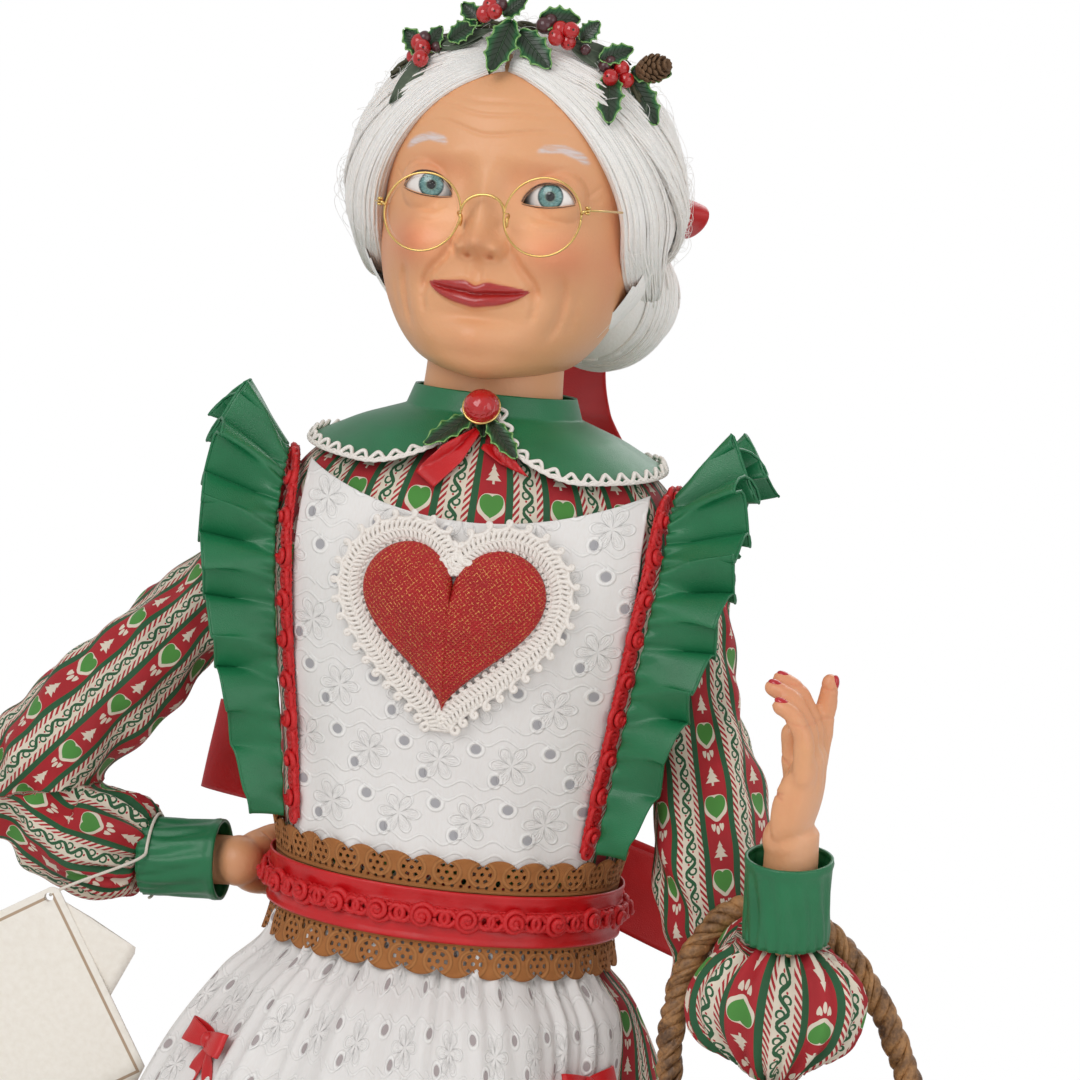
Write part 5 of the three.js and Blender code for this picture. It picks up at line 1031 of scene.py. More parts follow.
u, v = np.meshgrid(np.linspace(0, 1, 420), np.linspace(0, 1, 40))
shape = collar_point(u, v)
shape = shape + unit(shape * (1, 1, 0)) * (0.0004 * np.sin(u * 60 + v * 4) * v * (1 - v))[..., None]
collar = Piece().sheet(shape, 0.0009).object("collar_satin", green_satin, "figure", "green_satin", ["collar"])
border = np.concatenate([shape[::-1, 0][:30], shape[-1], shape[:, -1][::-1][:30]])
border, length = resample(border, 1200)
out = unit(border * (1, 1, 0) + (0, 0, 0.04))
trim = Piece()
loops = np.linspace(0, round(length / 0.0070) * 2 * np.pi, 1200)[:, None]
_, side, outward = frames_along(border, out)
outer = border + outward * 0.0010
trim.tube(outer + side * 0.0016 * (1 - np.cos(loops)) + outward * 0.0003 * np.sin(loops), 0.0008, 6)
trim.tube(outer - side * 0.0006 + outward * 0.0002 * np.sin(loops * 2), 0.00062, 5)
trim.tube(outer + side * 0.0004 * np.sin(loops * 2) + outward * 0.0004, 0.0005, 5)
trim.object("collar_cord_trim", gimp, "figure", "white_gimp", ["collar_trim"])

# Brooch: a faceted red berry bead in a gilt cup, on three cloth holly leaves with a short satin
# ribbon tie, pinned through the collar at the throat.
BROOCH_SEAT = (0, -0.0455, 0.660)
HOLLY_DARK = (0.018, 0.034, 0.017)
HOLLY_EDGE = (0.22, 0.44, 0.13)

berry_red = flecked("berry_lacquer", 180, 2, (0.33, 0.004, 0.006), (0.58, 0.012, 0.014), Roughness=0.12,
    Coat_Weight=0.6, Coat_Roughness=0.05)
gilt = Finish("gilt_metal", Metallic=1.0, Roughness=0.22)
wear = gilt.noise(gilt.place(), 300, 3)
gilt.set("Base Color", gilt.mix(wear, (0.62, 0.38, 0.11), (0.86, 0.62, 0.25)))
gilt.set("Roughness", wear * 0.16 + 0.14)
leaf_cloth = Finish("holly_leaf", Roughness=0.38, Coat_Weight=0.15)
u, v, _ = leaf_cloth.split(leaf_cloth.attribute("cloth"))
tone = leaf_cloth.noise(leaf_cloth.place(), 260, 3)
vein = leaf_cloth.ease(abs(((u * 9.0 - abs(v) * 2.2)).fn("FRACT") - 0.5), 0.0, 0.09, 1.0, 0.0)
midrib = leaf_cloth.ease(abs(v), 0.02, 0.07, 1.0, 0.0)
rim = leaf_cloth.ease(abs(v), 0.78, 0.97, 0.0, 1.0)
green = leaf_cloth.mix(leaf_cloth.ease(abs(v) + tone * 0.3, 0.45, 1.0), HOLLY_DARK, (0.012, 0.125, 0.030))
green = leaf_cloth.mix(vein.fn("MAXIMUM", midrib) * 0.4, green, (0.05, 0.12, 0.05))
leaf_cloth.set("Base Color", leaf_cloth.mix(rim, green, HOLLY_EDGE))
leaf_cloth.bump(vein * -0.7 - midrib + tone * 0.6, 0.0005)


def basis(origin, along, normal):
    x = unit(np.asarray(along, float))
    y = unit(np.cross(normal, x))
    return np.asarray(origin, float), np.array([x, y, np.cross(x, y)])


def holly_leaf(piece, origin, along, normal, length, half, bow=0.15, cup=0.5):
    """A pressed cloth holly leaf with five spiny lobes a side, cupped along its midrib."""
    u = np.linspace(0, 1, 33)[:, None]
    v = np.linspace(-1, 1, 15)[None]
    spines = np.abs(np.sin(np.pi * (u * 4.0 + 0.08))) ** 0.8
    width = half * np.sin(np.pi * np.clip(u, 0, 1) ** 0.85) ** 0.62 * (1.0 - 0.30 * spines * np.abs(v) ** 1.5)
    width = np.maximum(width, 0.0003)
    lift = cup * half * np.abs(v) ** 1.6 * 0.5 - bow * length * u * u
    lift = lift + 0.02 * length * np.abs(v) ** 3 * np.sin(u * 26)
    flat = abreast(length * u, width * v, lift)
    place, turn = basis(origin, along, normal)
    marks = abreast(u, v, 0)
    piece.sheet(place + flat @ turn, 0.00045, marks)


fan = np.concatenate([np.linspace(0, 0.16, 40), np.linspace(0.84, 1, 40)])
collar_front = collar_point(*np.meshgrid(fan, np.linspace(0, 1, 40))).reshape(-1, 3)


def over_collar(across, down, off):
    """A place in front of the collar, in millimetres from the bead's middle and off the cloth."""
    x, z = across / 1000, BROOCH_SEAT[2] + down / 1000
    near = np.hypot(collar_front[:, 0] - x, collar_front[:, 2] - z) < 0.0045
    chest = float(chest_point(np.array([x]), np.array([z]), 0.0022)[0, 1])
    return np.array([x, min(chest, collar_front[near, 1].min() if near.any() else 0.0) - off / 1000, z])


BEAD = 0.0066
seat = collar_point(np.array(0.0), np.array(0.45))
bead = np.array([0.0, float(seat[1]) - 0.00435, BROOCH_SEAT[2]])
face = unit(np.array([0, -0.86, 0.5]))
jewel = Piece()
place, turn = basis(bead + face * 0.0033, (1, 0, 0), face)
angle = np.linspace(0, 2 * np.pi, 16, endpoint=False)
rows = []
for k, climb in enumerate(np.linspace(0, 0.97, 8) * np.pi / 2):
    spin = angle + (np.pi / 16 if k % 2 else 0)
    radius = BEAD * math.cos(climb)
    rows.append(place + abreast(radius * np.cos(spin), radius * np.sin(spin),
        BEAD * 0.92 * math.sin(climb)) @ turn)
jewel.grid(np.array(rows), True, True)
jewel.object("brooch_bead", berry_red, "figure", "berry", ["brooch_button"], smooth=False)
cup = Piece()
ring = np.linspace(0, 2 * np.pi, 73)
cup.tube(place + abreast(BEAD * np.cos(ring), BEAD * np.sin(ring), -0.0003) @ turn, 0.0005, 8)
cup.object("brooch_cup", gilt, "figure", "gold_wire")
sprig = Piece()
for foot, tip, half, off in (((-3, -2), (-17.5, -13.5), 0.0052, 2.4), ((3, -3), (15.0, -15.0), 0.0050, 2.8),
    ((0, 1), (1.5, -9.0), 0.0036, 1.9)):
    start, stop = over_collar(*foot, off + 0.6), over_collar(*tip, off)
    holly_leaf(sprig, start, stop - start, (tip[0] * 0.02, -1.0, 0.45),
        float(np.linalg.norm(stop - start)) * 1.04, half, 0.0, 0.35)
sprig.object("brooch_holly", leaf_cloth, "figure", "holly", ["brooch_leaves"])
tails = Piece()
for top, low, wide, slant, off in (((-0.5, -7), (-17.0, -26.5), 9.0, 0.06, 3.0),
    ((2, -12.5), (21.5, -18.5), 5.5, 0.55, 2.2)):
    shape = np.zeros((28, 13, 3))
    way = unit(np.array(low, float) - top)
    for i, v in enumerate(np.linspace(0, 1, 28)):
        for j, u in enumerate(np.linspace(-0.5, 0.5, 13)):
            run = v - slant * (u + 0.5) * v
            spot = (np.array(top) * (1 - run) + np.array(low) * run + np.array([-way[1], way[0]]) * u
                * wide * (0.3 + 0.7 * min(1, v * 2.2)))
            shape[i, j] = over_collar(*spot, off + 0.5 * math.sin(v * 6 + u * 2))
    shape[..., 1] = np.array([shape[max(0, i - 2):i + 3, :, 1].min(0) for i in range(28)])
    tails.sheet(shape, 0.0005)
tails = tails.object("brooch_ribbon_tie", red_satin, "figure", "red_satin", ["brooch_ribbon"])

# Sleeves: each is one puffed tube of the striped cotton over the wired and stuffed arm, gathered at
# the shoulder and into the cuff, with folds in the cloth over the elbow.
SHOULDER_X = 0.076
SHOULDER_Z = 0.604
LEFT_ELBOW = np.array([0.11171, -0.03173, 0.4597])
RIGHT_ELBOW = np.array([-0.1764, 0.01213, 0.49052])
LEFT_WRIST = np.array([0.131, -0.080, 0.491])
RIGHT_WRIST = np.array([-0.117, 0.007, 0.473])
LEFT_CUFF_WAY = unit(np.array([-0.06, -0.16, 1]))
RIGHT_CUFF_WAY = unit(np.array([1, -0.06, 0.08]))
LEFT_PUFF = ((0, 0.00035, -0.0245), (0.031, 0.020, 0.0245))
UPPER_SWELL = [(0, 0.8), (0.3, 0.78), (0.65, 1), (0.85, 0.98), (1, 0.94)]
LOWER_SWELL = [(0, 0.84), (0.3, 0.86), (0.65, 1), (0.85, 0.93), (1, 0.70)]
SLEEVE_RADIUS = 0.0218


def fused(piece, voxel, soften=8, levels=1):
    """The union of overlapping closed shapes as one even skin: its points, normals and faces."""
    mesh = bpy.data.meshes.new("fused")
    mesh.from_pydata(np.concatenate(piece.points).tolist(), [], piece.faces)
    holder = bpy.data.objects.new("fused", mesh)
    bpy.context.collection.objects.link(holder)
    remesh = holder.modifiers.new("remesh", "REMESH")
    remesh.mode = "VOXEL"
    remesh.voxel_size = voxel
    smooth = holder.modifiers.new("smooth", "SMOOTH")
    smooth.iterations = soften
    if levels:
        holder.modifiers.new("halve", "SUBSURF").levels = levels
    result = bpy.data.meshes.new_from_object(holder.evaluated_get(bpy.context.evaluated_depsgraph_get()))
    points = np.empty(len(result.vertices) * 3)
    normals = np.empty(len(result.vertices) * 3)
    result.vertices.foreach_get("co", points)
    result.vertices.foreach_get("normal", normals)
    faces = [tuple(face.vertices) for face in result.polygons]
    bpy.data.objects.remove(holder)
    bpy.data.meshes.remove(mesh)
    bpy.data.meshes.remove(result)
    return points.reshape(-1, 3), normals.reshape(-1, 3), faces


def along_line(points, line):
    """For each point, its place along a bent line in metres, its turn about it and its distance from it."""
    line = np.asarray(line, float)
    step = np.diff(line, axis=0)
    length = np.linalg.norm(step, axis=1)
    gone = np.concatenate([[0], np.cumsum(length)])
    way = step / length[:, None]
    side = np.cross((0.2, 1.0, 0.1), way[0])
    sides = []
    for direction in way:
        side = side - direction * side.dot(direction)
        side = side / np.linalg.norm(side)
        sides.append(side)
    best = np.full(len(points), 1e9)
    out = np.zeros((len(points), 2))
    for k, direction in enumerate(way):
        offset = points - line[k]
        reach = np.clip(offset @ direction, 0, length[k])
        away = offset - reach[:, None] * direction
        distance = np.linalg.norm(away, axis=1)
        near = distance < best
        turn = np.arctan2(away @ np.cross(direction, sides[k]), away @ sides[k])
        out[near] = np.stack([gone[k] + reach, turn], 1)[near]
        best = np.minimum(best, distance)
    return out[:, 0], out[:, 1], best, gone[-1]


sleeve_cotton = printed_cotton("sleeve_cotton", 6)
sleeves = {
    "left": (1, LEFT_ELBOW, LEFT_WRIST, LEFT_CUFF_WAY),
    "right": (-1, RIGHT_ELBOW, RIGHT_WRIST, RIGHT_CUFF_WAY),
}
for name, (sign, elbow, wrist, cuff_way) in sleeves.items():
    shoulder = np.array([sign * SHOULDER_X, 0, SHOULDER_Z])
    way = unit(elbow - shoulder)
    shape = Piece()
    shape.ball(shoulder, 0.0205, 28, 18)
    upper = smooth_read(UPPER_SWELL, np.linspace(0, 1, 30))[0] * SLEEVE_RADIUS
    shape.tube(np.linspace(shoulder, elbow - way * 0.010, 30), upper, 28)
    shape.ball(elbow - way * 0.004, 0.0192, 28, 18)
    if sign > 0:
        shape.tube(np.linspace(elbow, wrist, 12), np.full(12, 0.0150), 24)
        centre, half = LEFT_PUFF
        shape.ball(wrist + np.array(centre), 1.0, 40, 26, scale=half)
        line = [shoulder, elbow, elbow * 0.45 + wrist * 0.55 + np.array([0, 0, -0.034]), wrist]
    else:
        lower = smooth_read(LOWER_SWELL, np.linspace(0, 1, 24))[0] * 0.0218
        middle = (elbow + wrist) / 2 + np.array([0, 0, -0.0042])
        shape.tube(resample([elbow, middle, wrist], 24)[0], lower, 28)
        line = [shoulder, elbow, middle, wrist]
    points, normals, faces = fused(shape, 0.0024, 5)
    along, turn, _, whole = along_line(points, line)
    elbow_at = np.linalg.norm(elbow - shoulder)
    to_cuff = whole - along
    gathers = (0.0021 * np.cos(19 * turn + 2.2 * np.sin(3 * turn)) * np.exp(-((to_cuff / 0.020) ** 2))
        * rise(to_cuff, -0.002, 0.004))
    head_gathers = 0.0009 * np.cos(17 * turn) * np.exp(-((along / 0.020) ** 2))
    soft = (0.0019 * np.cos(5 * turn + 2.4 * np.sin(along * 55) + sign) * rise(along, 0.02, 0.06)
        * rise(to_cuff, 0.004, 0.03))
    folds = (0.0019 * np.cos((along - elbow_at) * 330 + 1.2 * np.cos(turn + 0.6))
        * np.exp(-(((along - elbow_at) / 0.026) ** 2)))
    creases = 0.0013 * np.sin(along * 190 + turn * 3) * np.sin(turn * 2 + along * 70)
    if sign > 0:
        pole = points - (wrist + np.array(LEFT_PUFF[0]))
        spin = np.arctan2(pole[:, 1] * 1.5, pole[:, 0])
        share = np.clip(pole[:, 2] / 0.0245, -1, 1)
        in_puff = np.exp(-(((np.abs(pole) / np.array(LEFT_PUFF[1])) ** 2).sum(1) - 1.0).clip(0) * 5)
        ribs = np.cos(20 * spin + 0.8 * np.sin(4 * spin)) * (0.35 + 0.65 * np.abs(share) ** 1.5)
        gathers = gathers * (1 - in_puff) + 0.0020 * ribs * in_puff
    moved = points + normals * (gathers + head_gathers + soft * 0.8 + folds + creases - 0.0003)[:, None]
    if sign > 0:
        turn = turn * (1 - in_puff) + spin * in_puff
    sleeve = Piece().add(moved, faces, turn_marks(turn, along))
    sleeve = sleeve.object(f"sleeve_cloth_{name}", sleeve_cotton, None, "print")
    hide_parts(f"upper_sleeve_{name}", f"lower_sleeve_{name}", f"arm_core_{name}")
    bend = unit(unit(wrist - elbow) + way)
    tuple(elbow - bend * 0.012)
    tuple(elbow + bend * 0.014)
    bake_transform(sleeve)

# Cuffs: bands of the green satin round each wrist, pleated lightly, with a turned edge at both ends.
CUFF_RADIUS = 0.0146
CUFF_LENGTH = 0.030

for name, (sign, elbow, wrist, cuff_way) in sleeves.items():
    side = unit(np.cross((0, 1, 0), cuff_way))
    across = np.cross(cuff_way, side)
    turn = np.linspace(0, 2 * np.pi, 150, endpoint=False)[None]
    share = np.linspace(0, 1, 34)[:, None]
    ease = (0.0005 * np.cos(13 * turn + share * 5) * np.sin(np.pi * share) + 0.0004 * np.cos(23 * turn)
        * (1 - share) ** 3)
    flare = (0.0007 * (share - 0.5) ** 2 * 4 + 0.0004 * np.exp(-(((share - 0.93) / 0.04) ** 2)) - 0.0006
        * np.exp(-((share / 0.08) ** 2)))
    reach = CUFF_RADIUS - 0.0004 + ease + flare
    shape = (wrist + cuff_way * (CUFF_LENGTH * share)[..., None] + reach[..., None]
        * (np.cos(turn)[..., None] * side + np.sin(turn)[..., None] * across))
    cuff = Piece().sheet(shape, 0.0011, around=True)
    cuff = cuff.object(f"cuff_satin_{name}", green_satin, f"{name}_forearm", "green_satin", [f"cuff_{name}"])
    seams = Piece()
    for level in (0.02, 0.985):
        row = int(level * 33)
        seams.tube(np.concatenate([shape[row], shape[row][:1]]), 0.00062, 6)
    seams.object(f"cuff_edges_{name}", green_satin, f"{name}_forearm", "green_satin")

# Hands: cast resin with separate fingers and painted red nails, on pegs that go into the cuffs.
PALM = 0.033
FINGER = 0.031
PALM_HALF = 0.013
WRIST_RADIUS = 0.0102
SKIN = (0.76, 0.385, 0.188)
SKIN_WARM = (0.68, 0.24, 0.125)

resin = Finish("painted_resin", Roughness=0.42, Subsurface_Weight=0.12, Coat_Weight=0.12, Coat_Roughness=0.3)
resin.shader.inputs["Subsurface Radius"].default_value = (0.004, 0.0018, 0.0010)
# The first paint channel is a flush with painted shade in the creases; the last is painted light on the back
# of the hand.
blush_and_hollow_shade, _, lit = resin.split(resin.attribute("paint", "Color"))
patch = resin.noise(resin.place(), 90, 3)
grain = resin.noise(resin.place(), 700, 3)
tone = resin.mix(patch * 0.35 + blush_and_hollow_shade * 0.9, SKIN, SKIN_WARM)
resin.set("Base Color", resin.mix(lit, tone, (0.84, 0.52, 0.36)))
resin.set("Roughness", grain * 0.16 + 0.34)
resin.bump(grain, 0.00016)
nail_lacquer = flecked("nail_lacquer", 200, 2, (0.40, 0.004, 0.010), (0.52, 0.008, 0.018), Roughness=0.14,
    Coat_Weight=0.5)

hands = {
    "left": (LEFT_WRIST, LEFT_CUFF_WAY, unit(np.array([0.13, -0.15, 1])), unit(np.array([-1, 0.18, 0.157])),
    (0.1, 0.95, 1.05, 1.0)),
    "right": (RIGHT_WRIST, RIGHT_CUFF_WAY, unit(np.array([0.31, 0.94, -0.16])),
    unit(np.array([0.94, -0.31, 0])), (0.3, 0.32, 0.34, 0.36)),
}
for name, (wrist, cuff_way, way, palm, curl) in hands.items():
    start = wrist + cuff_way * (CUFF_LENGTH + WRIST_RADIUS * 0.6)
    edge = unit(np.cross(way, palm))

    def at(along, side, down):
        return start + way * along + edge * side + palm * down

    shape = Piece()
    shape.tube(np.linspace(start - cuff_way * 0.040, start + way * 0.004, 20),
        np.linspace(0.0101, 0.0094, 20), 24)
    shape.ball(start, 0.0098, 24, 16)
    frame_turn = np.array([edge, palm, way])
    shape.ball(at(PALM * 0.50, 0, -0.0002), 1.0, 28, 20, (0.0124, 0.0070, 0.0205), frame_turn)
    shape.ball(at(PALM * 0.80, 0.0002, -0.0006), 1.0, 28, 20, (0.0128, 0.0055, 0.0098), frame_turn)
    shape.ball(at(PALM * 0.42, -0.0072, 0.0035), 1.0, 24, 18, (0.0056, 0.0062, 0.0135), frame_turn)
    shape.ball(at(PALM * 0.42, 0.0080, 0.0026), 1.0, 24, 18, (0.0042, 0.0052, 0.0135), frame_turn)
    nails = []
    for k, share in enumerate((0.92, 1.0, 0.94, 0.74)):
        side = (-0.72 + 1.44 * k / 3) * PALM_HALF
        length = FINGER * share
        bend = curl[k]
        knots = [at(PALM * 0.72, side * 0.96, -0.001), at(PALM + length * 0.30, side, length * 0.10 * bend),
            at(PALM + length * (0.74 - 0.12 * bend), side, length * 0.38 * bend),
            at(PALM + length * (1 - 0.32 * bend), side, length * 0.75 * bend)]
        line, _ = resample(knots, 60)
        line, _ = resample(np.array([line[max(0, i - 5):i + 6].mean(0) for i in range(60)]), 40)
        share_along = np.linspace(0, 1, 40)
        knuckles = (1 + 0.09 * np.exp(-(((share_along - 0.36) / 0.07) ** 2)) + 0.06
            * np.exp(-(((share_along - 0.68) / 0.06) ** 2)))
        radius = 0.0040 * (1 - 0.26 * share_along**1.6) * knuckles * (0.94 if k == 3 else 1)
        radius[-4:] *= (0.97, 0.88, 0.70, 0.36)
        shape.tube(line, radius, 18)
        tip_way = unit(line[-1] - line[-8])
        back = unit(-palm + tip_way * palm.dot(tip_way))
        nails.append((line[-5], tip_way, back, 0.0030))
    thumb = [at(PALM * 0.12, -PALM_HALF * 0.45, 0.001), at(PALM * 0.50, -PALM_HALF * 0.90, 0.0048),
        at(PALM * 0.86, -PALM_HALF * 1.0, 0.0092), at(PALM * 1.18, -PALM_HALF * 0.82, 0.0122)]
    line, _ = resample(thumb, 50)
    line, _ = resample(np.array([line[max(0, i - 5):i + 6].mean(0) for i in range(50)]), 36)
    share_along = np.linspace(0, 1, 36)
    radius = 0.0050 * (1 - 0.24 * share_along) * (1 + 0.08 * np.exp(-(((share_along - 0.60) / 0.08) ** 2)))
    radius[-4:] *= (0.97, 0.88, 0.72, 0.40)
    shape.tube(line, radius, 18)
    tip_way = unit(line[-1] - line[-8])
    back = unit(-edge * 0.8 - palm * 0.6)
    nails.append((line[-5], tip_way, unit(back - tip_way * back.dot(tip_way)), 0.0034))
    points, normals, faces = fused(shape, 0.00095, 3)
    rel = points - start
    reach, down, side = rel @ way, rel @ palm, rel @ edge
    ridges = 0
    for k in range(3):
        between = (-0.72 + 1.44 * (k + 0.5) / 3) * PALM_HALF
        ridges = (ridges - 0.0006 * np.exp(-(((side - between) / 0.0016) ** 2))
            * rise(reach, PALM * 0.45, PALM * 0.9) * rise(-down, 0, 0.003))
    creases = 0
    for turned, off in ((0.5, 0.013), (-0.35, 0.021)):
        creases = (creases - 0.0005 * np.exp(-(((reach - off - turned * side) / 0.0006) ** 2))
            * rise(down, 0.003, 0.0055))
    for place in (0.36, 0.68):
        fold = PALM + FINGER * place
        creases = creases - 0.00022 * np.exp(-(((reach - fold) / 0.0005) ** 2))
    points = points + normals * (ridges + creases)[:, None]
    # Paint: a flush on the fingers with painted shade in the creases, and painted light that makes the back
    # of the hand lighter.
    flush_and_crease_shade = np.clip(rise(reach, PALM, PALM + FINGER * 0.9) * 0.45 - creases * 900, 0, 1)
    paint = np.stack([flush_and_crease_shade, 0 * flush_and_crease_shade, 0.22 * rise(-down, 0.0, 0.006)], 1)
    body = "left_hand" if name == "left" else "right_forearm"
    made = Piece().add(points, faces, paint=paint)
    made.object(f"hand_resin_{name}", resin, body, "resin", [f"hand_{name}"])
    painted = Piece()
    for tip, tip_way, back, size in nails:
        across = np.cross(tip_way, back)
        painted.ball(tip + back * 0.0017 + tip_way * 0.0004, 1.0, 18, 12,
            (size * 0.60, size * 0.95, size * 0.50), np.array([across, tip_way, back]))
    painted.object(f"nails_{name}", nail_lacquer, body, "resin")

# Head: one hollow resin casting with a neck flange, an elderly smiling face with painted brows, lips
# and blush with painted shade in its hollows, and glass eyes set in from behind.
HEAD_PLACE = np.array([-0.001, 0, 0.732])
HEAD_TURN = math.radians(-4)
HEAD_HALF = (0.047, 0.053, 0.064)
HEAD_TABLE = [
    (-0.95, 0.14, 0.66, 0.1), (-0.90, 0.46, 0.86, 0.3), (-0.8, 0.68, 0.93, 0.5), (-0.6, 0.87, 0.95, 0.68),
    (-0.35, 0.98, 0.97, 0.85), (0, 1.005, 0.98, 0.97), (0.3, 1.02, 0.97, 1), (0.6, 0.92, 0.88, 0.92),
    (0.82, 0.68, 0.65, 0.7), (0.95, 0.38, 0.36, 0.4), (1, 0.1, 0.1, 0.1),
]
HEAD_LOW = -0.0605
NECK_RADIUS = 0.0262
NECK_LOW = -0.0735
FACE_RISE = 6.4
EYE = (22.1, -37.0, 7.0)
EYE_RADIUS = 11.4
EYE_HALF = 9.4
LID_RADIUS = 12.2
LIP_HALF = 18.4
BROW = [(14.6, 21.4), (19, 23.7), (24.5, 24.4), (30, 22.6), (35.2, 18.6)]

head_turn = np.array([[math.cos(HEAD_TURN), math.sin(HEAD_TURN), 0],
    [-math.sin(HEAD_TURN), math.cos(HEAD_TURN), 0], [0, 0, 1]])


def in_head(points):
    return HEAD_PLACE + np.asarray(points, float) @ head_turn


def head_point(angle, height, grow=0.0):
    width, front, back = smooth_read(HEAD_TABLE, height / HEAD_HALF[2])
    depth = HEAD_HALF[1] * np.where(np.sin(angle) < 0, front, back)
    return abreast((HEAD_HALF[0] * width + grow) * np.cos(angle), (depth + grow) * np.sin(angle), height)


def hump(x, z, centre, size, tilt=0.0):
    x, z = x - centre[0], z - centre[1]
    turned_x, turned_z = x * math.cos(tilt) + z * math.sin(tilt), z * math.cos(tilt) - x * math.sin(tilt)
    return np.exp(-((turned_x / size[0]) ** 2 + (turned_z / size[1]) ** 2))


def groove(x, z, knots, width):
    """Nearness to a line through the knots, on both sides of the face."""
    line, _ = resample([(a, 0, b) for a, b in knots], 24)
    x = np.abs(x)
    best = np.full(x.shape, 1e9)
    for step, (a, _, b) in enumerate(line):
        end = max(0.0, 1 - min(step, 23 - step) / 6)
        best = np.minimum(best, ((x - a) ** 2 + (z - b) ** 2) / width**2 + 2.4 * end**2)
    return np.exp(-best)


def lid(side, top):
    """The height of a lid's edge at a distance from the face's middle line."""
    across = np.clip((side - EYE[0]) / EYE_HALF, -1, 1)
    arch = 7.4 * (1 - np.abs(across) ** 2.2) ** 0.62 if top else -1.3 * (1 - across**2)
    return EYE[2] - 2.65 + 0.75 * across + arch


def lid_gap(x, z):
    """Below 0 between the lids, in shares of the opening's half height."""
    side = np.abs(x)
    top, low = lid(side, True), lid(side, False)
    inside = np.abs(z - (top + low) / 2) / np.maximum((top - low) / 2, 1e-3) - 1
    return np.where(np.abs(side - EYE[0]) < EYE_HALF, inside, 1.0)


def lip_line(x):
    return (-29.4 + 1.5 * (x / LIP_HALF) ** 2 + 0.5 * np.abs(x / LIP_HALF) ** 6 - 0.5
        * np.exp(-((x / 3.2) ** 2)))


def lip_fullness(x):
    side = np.abs(x)
    wide = np.clip(1 - (side / LIP_HALF) ** 2.2, 0, 1)
    upper = (3.9 * wide**0.7 * (1 - 0.20 * np.exp(-((x / 2.2) ** 2)) + 0.10
        * np.exp(-(((side - 4.4) / 2.6) ** 2))))
    return wide, upper, 4.9 * wide**0.8


def relief(x, z):
    """How far the face stands forward of the plain head, in millimetres."""
    side = np.abs(x)
    mouth = lip_line(x)
    wide, upper, lower = lip_fullness(x)
    up, down = (z - mouth) / np.maximum(upper, 0.4), (mouth - z) / np.maximum(lower, 0.4)
    out = wide**0.5 * 1.6 * np.where((up > 0) & (up < 1.3), np.sin(np.clip(up / 1.3, 0, 1) * np.pi) ** 0.8, 0)
    out += wide**0.5 * 2.3 * np.where((down > 0) & (down < 1.25),
        np.sin(np.clip(down / 1.25, 0, 1) * np.pi) ** 0.8, 0)
    out -= 1.1 * np.exp(-(((z - mouth) / 0.55) ** 2)) * np.clip(1 - (side / (LIP_HALF + 1)) ** 4, 0, 1)
    out -= 1.3 * hump(side, z, (19.6, -28.2), (1.9, 2.0))
    out -= 1.1 * groove(x, z, [(20.0, -28.5), (20.6, -33.0), (19.4, -38.5)], 1.4)
    out -= 2.1 * groove(x, z, [(29.0, -19.5), (29.8, -28.0), (28.2, -36.5), (24.6, -45.5)], 1.7)
    out -= 0.8 * groove(x, z, [(34.0, -25.0), (33.2, -33.5), (30.0, -42.5)], 1.6)
    out -= 2.2 * groove(x, z, [(9.8, -11.5), (13.6, -18.0), (18.8, -24.0), (22.4, -30.6)], 1.8)
    z = z - FACE_RISE
    out += 1.6 * hump(side, z, (16, 13.0), (14, 4.5), -0.06) + 0.5 * hump(x, z, (0, 30), (26, 16))
    out -= 2.4 * hump(side, z, (21.5, 2.6), (11.5, 7.5)) + 1.6 * hump(side, z, (8.5, 4.0), (4.0, 7.0))
    bridge = 1 / (1 + np.exp((z - 3.5) / 3.2)) * (1 / (1 + np.exp(-(z + 22.5) / 1.5)))
    run = 4.6 + 4.4 * np.clip((3 - z) / 20, 0, 1)
    out += run * np.exp(-((x / (4.3 + 1.7 * np.clip(-z / 18, 0, 1))) ** 2)) * bridge
    out += 4.5 * hump(x, z, (0, -17.8), (4.9, 4.4)) + 4.6 * hump(side, z, (6.9, -19.8), (2.6, 2.9))
    out -= 3.6 * hump(side, z, (4.0, -22.4), (1.7, 1.0)) + 1.6 * groove(x, z,
        [(8.9, -14.8), (10.6, -19.3), (8.8, -23.8)], 1.0)
    out += 5.6 * hump(side, z, (26, -20.5), (12, 9.5)) + 1.4 * hump(side, z, (21, -10.5), (8, 3.0), 0.12)
    out += 2.1 * hump(x, z, (0, -37), (17, 8.5)) + 1.6 * hump(side, z, (22.5, -44), (6.0, 7.0))
    out -= 0.8 * hump(x, z, (0, -28.5), (1.7, 3.6)) - 0.5 * hump(side, z, (3.0, -28.5), (1.2, 3.4))
    out -= 1.7 * hump(x, z, (0, -44.6), (11, 2.2))
    out += 4.0 * hump(x, z, (0, -52.0), (10, 6.2)) + 1.6 * hump(side, z, (16, -52), (8, 6))
    for height, sag, wave in ((22.0, 1.7, 6.5), (28.5, 1.1, 8.0), (33.0, 0.7, 10.0)):
        line = height - sag * np.cos(x / wave) + 0.3 * np.sin(x / 4.0)
        out -= 0.60 * np.exp(-(((z - line) / 0.80) ** 2)) * np.exp(-((x / 25) ** 4))
    for reach in (4.5, 0.5, -3.5):
        out -= 0.45 * groove(x, z, [(33.0, -0.2 + reach * 0.15), (35.5, reach * 0.8), (38.5, reach * 1.5)],
            0.6)
    out -= 0.6 * groove(x, z, [(14.0, -5.6), (19.0, -7.8), (25.0, -7.8), (31.0, -5.0)], 0.8)
    return out - 0.35 * groove(x, z, [(15.0, -9.8), (20.0, -12.2), (27.0, -11.5)], 0.8)


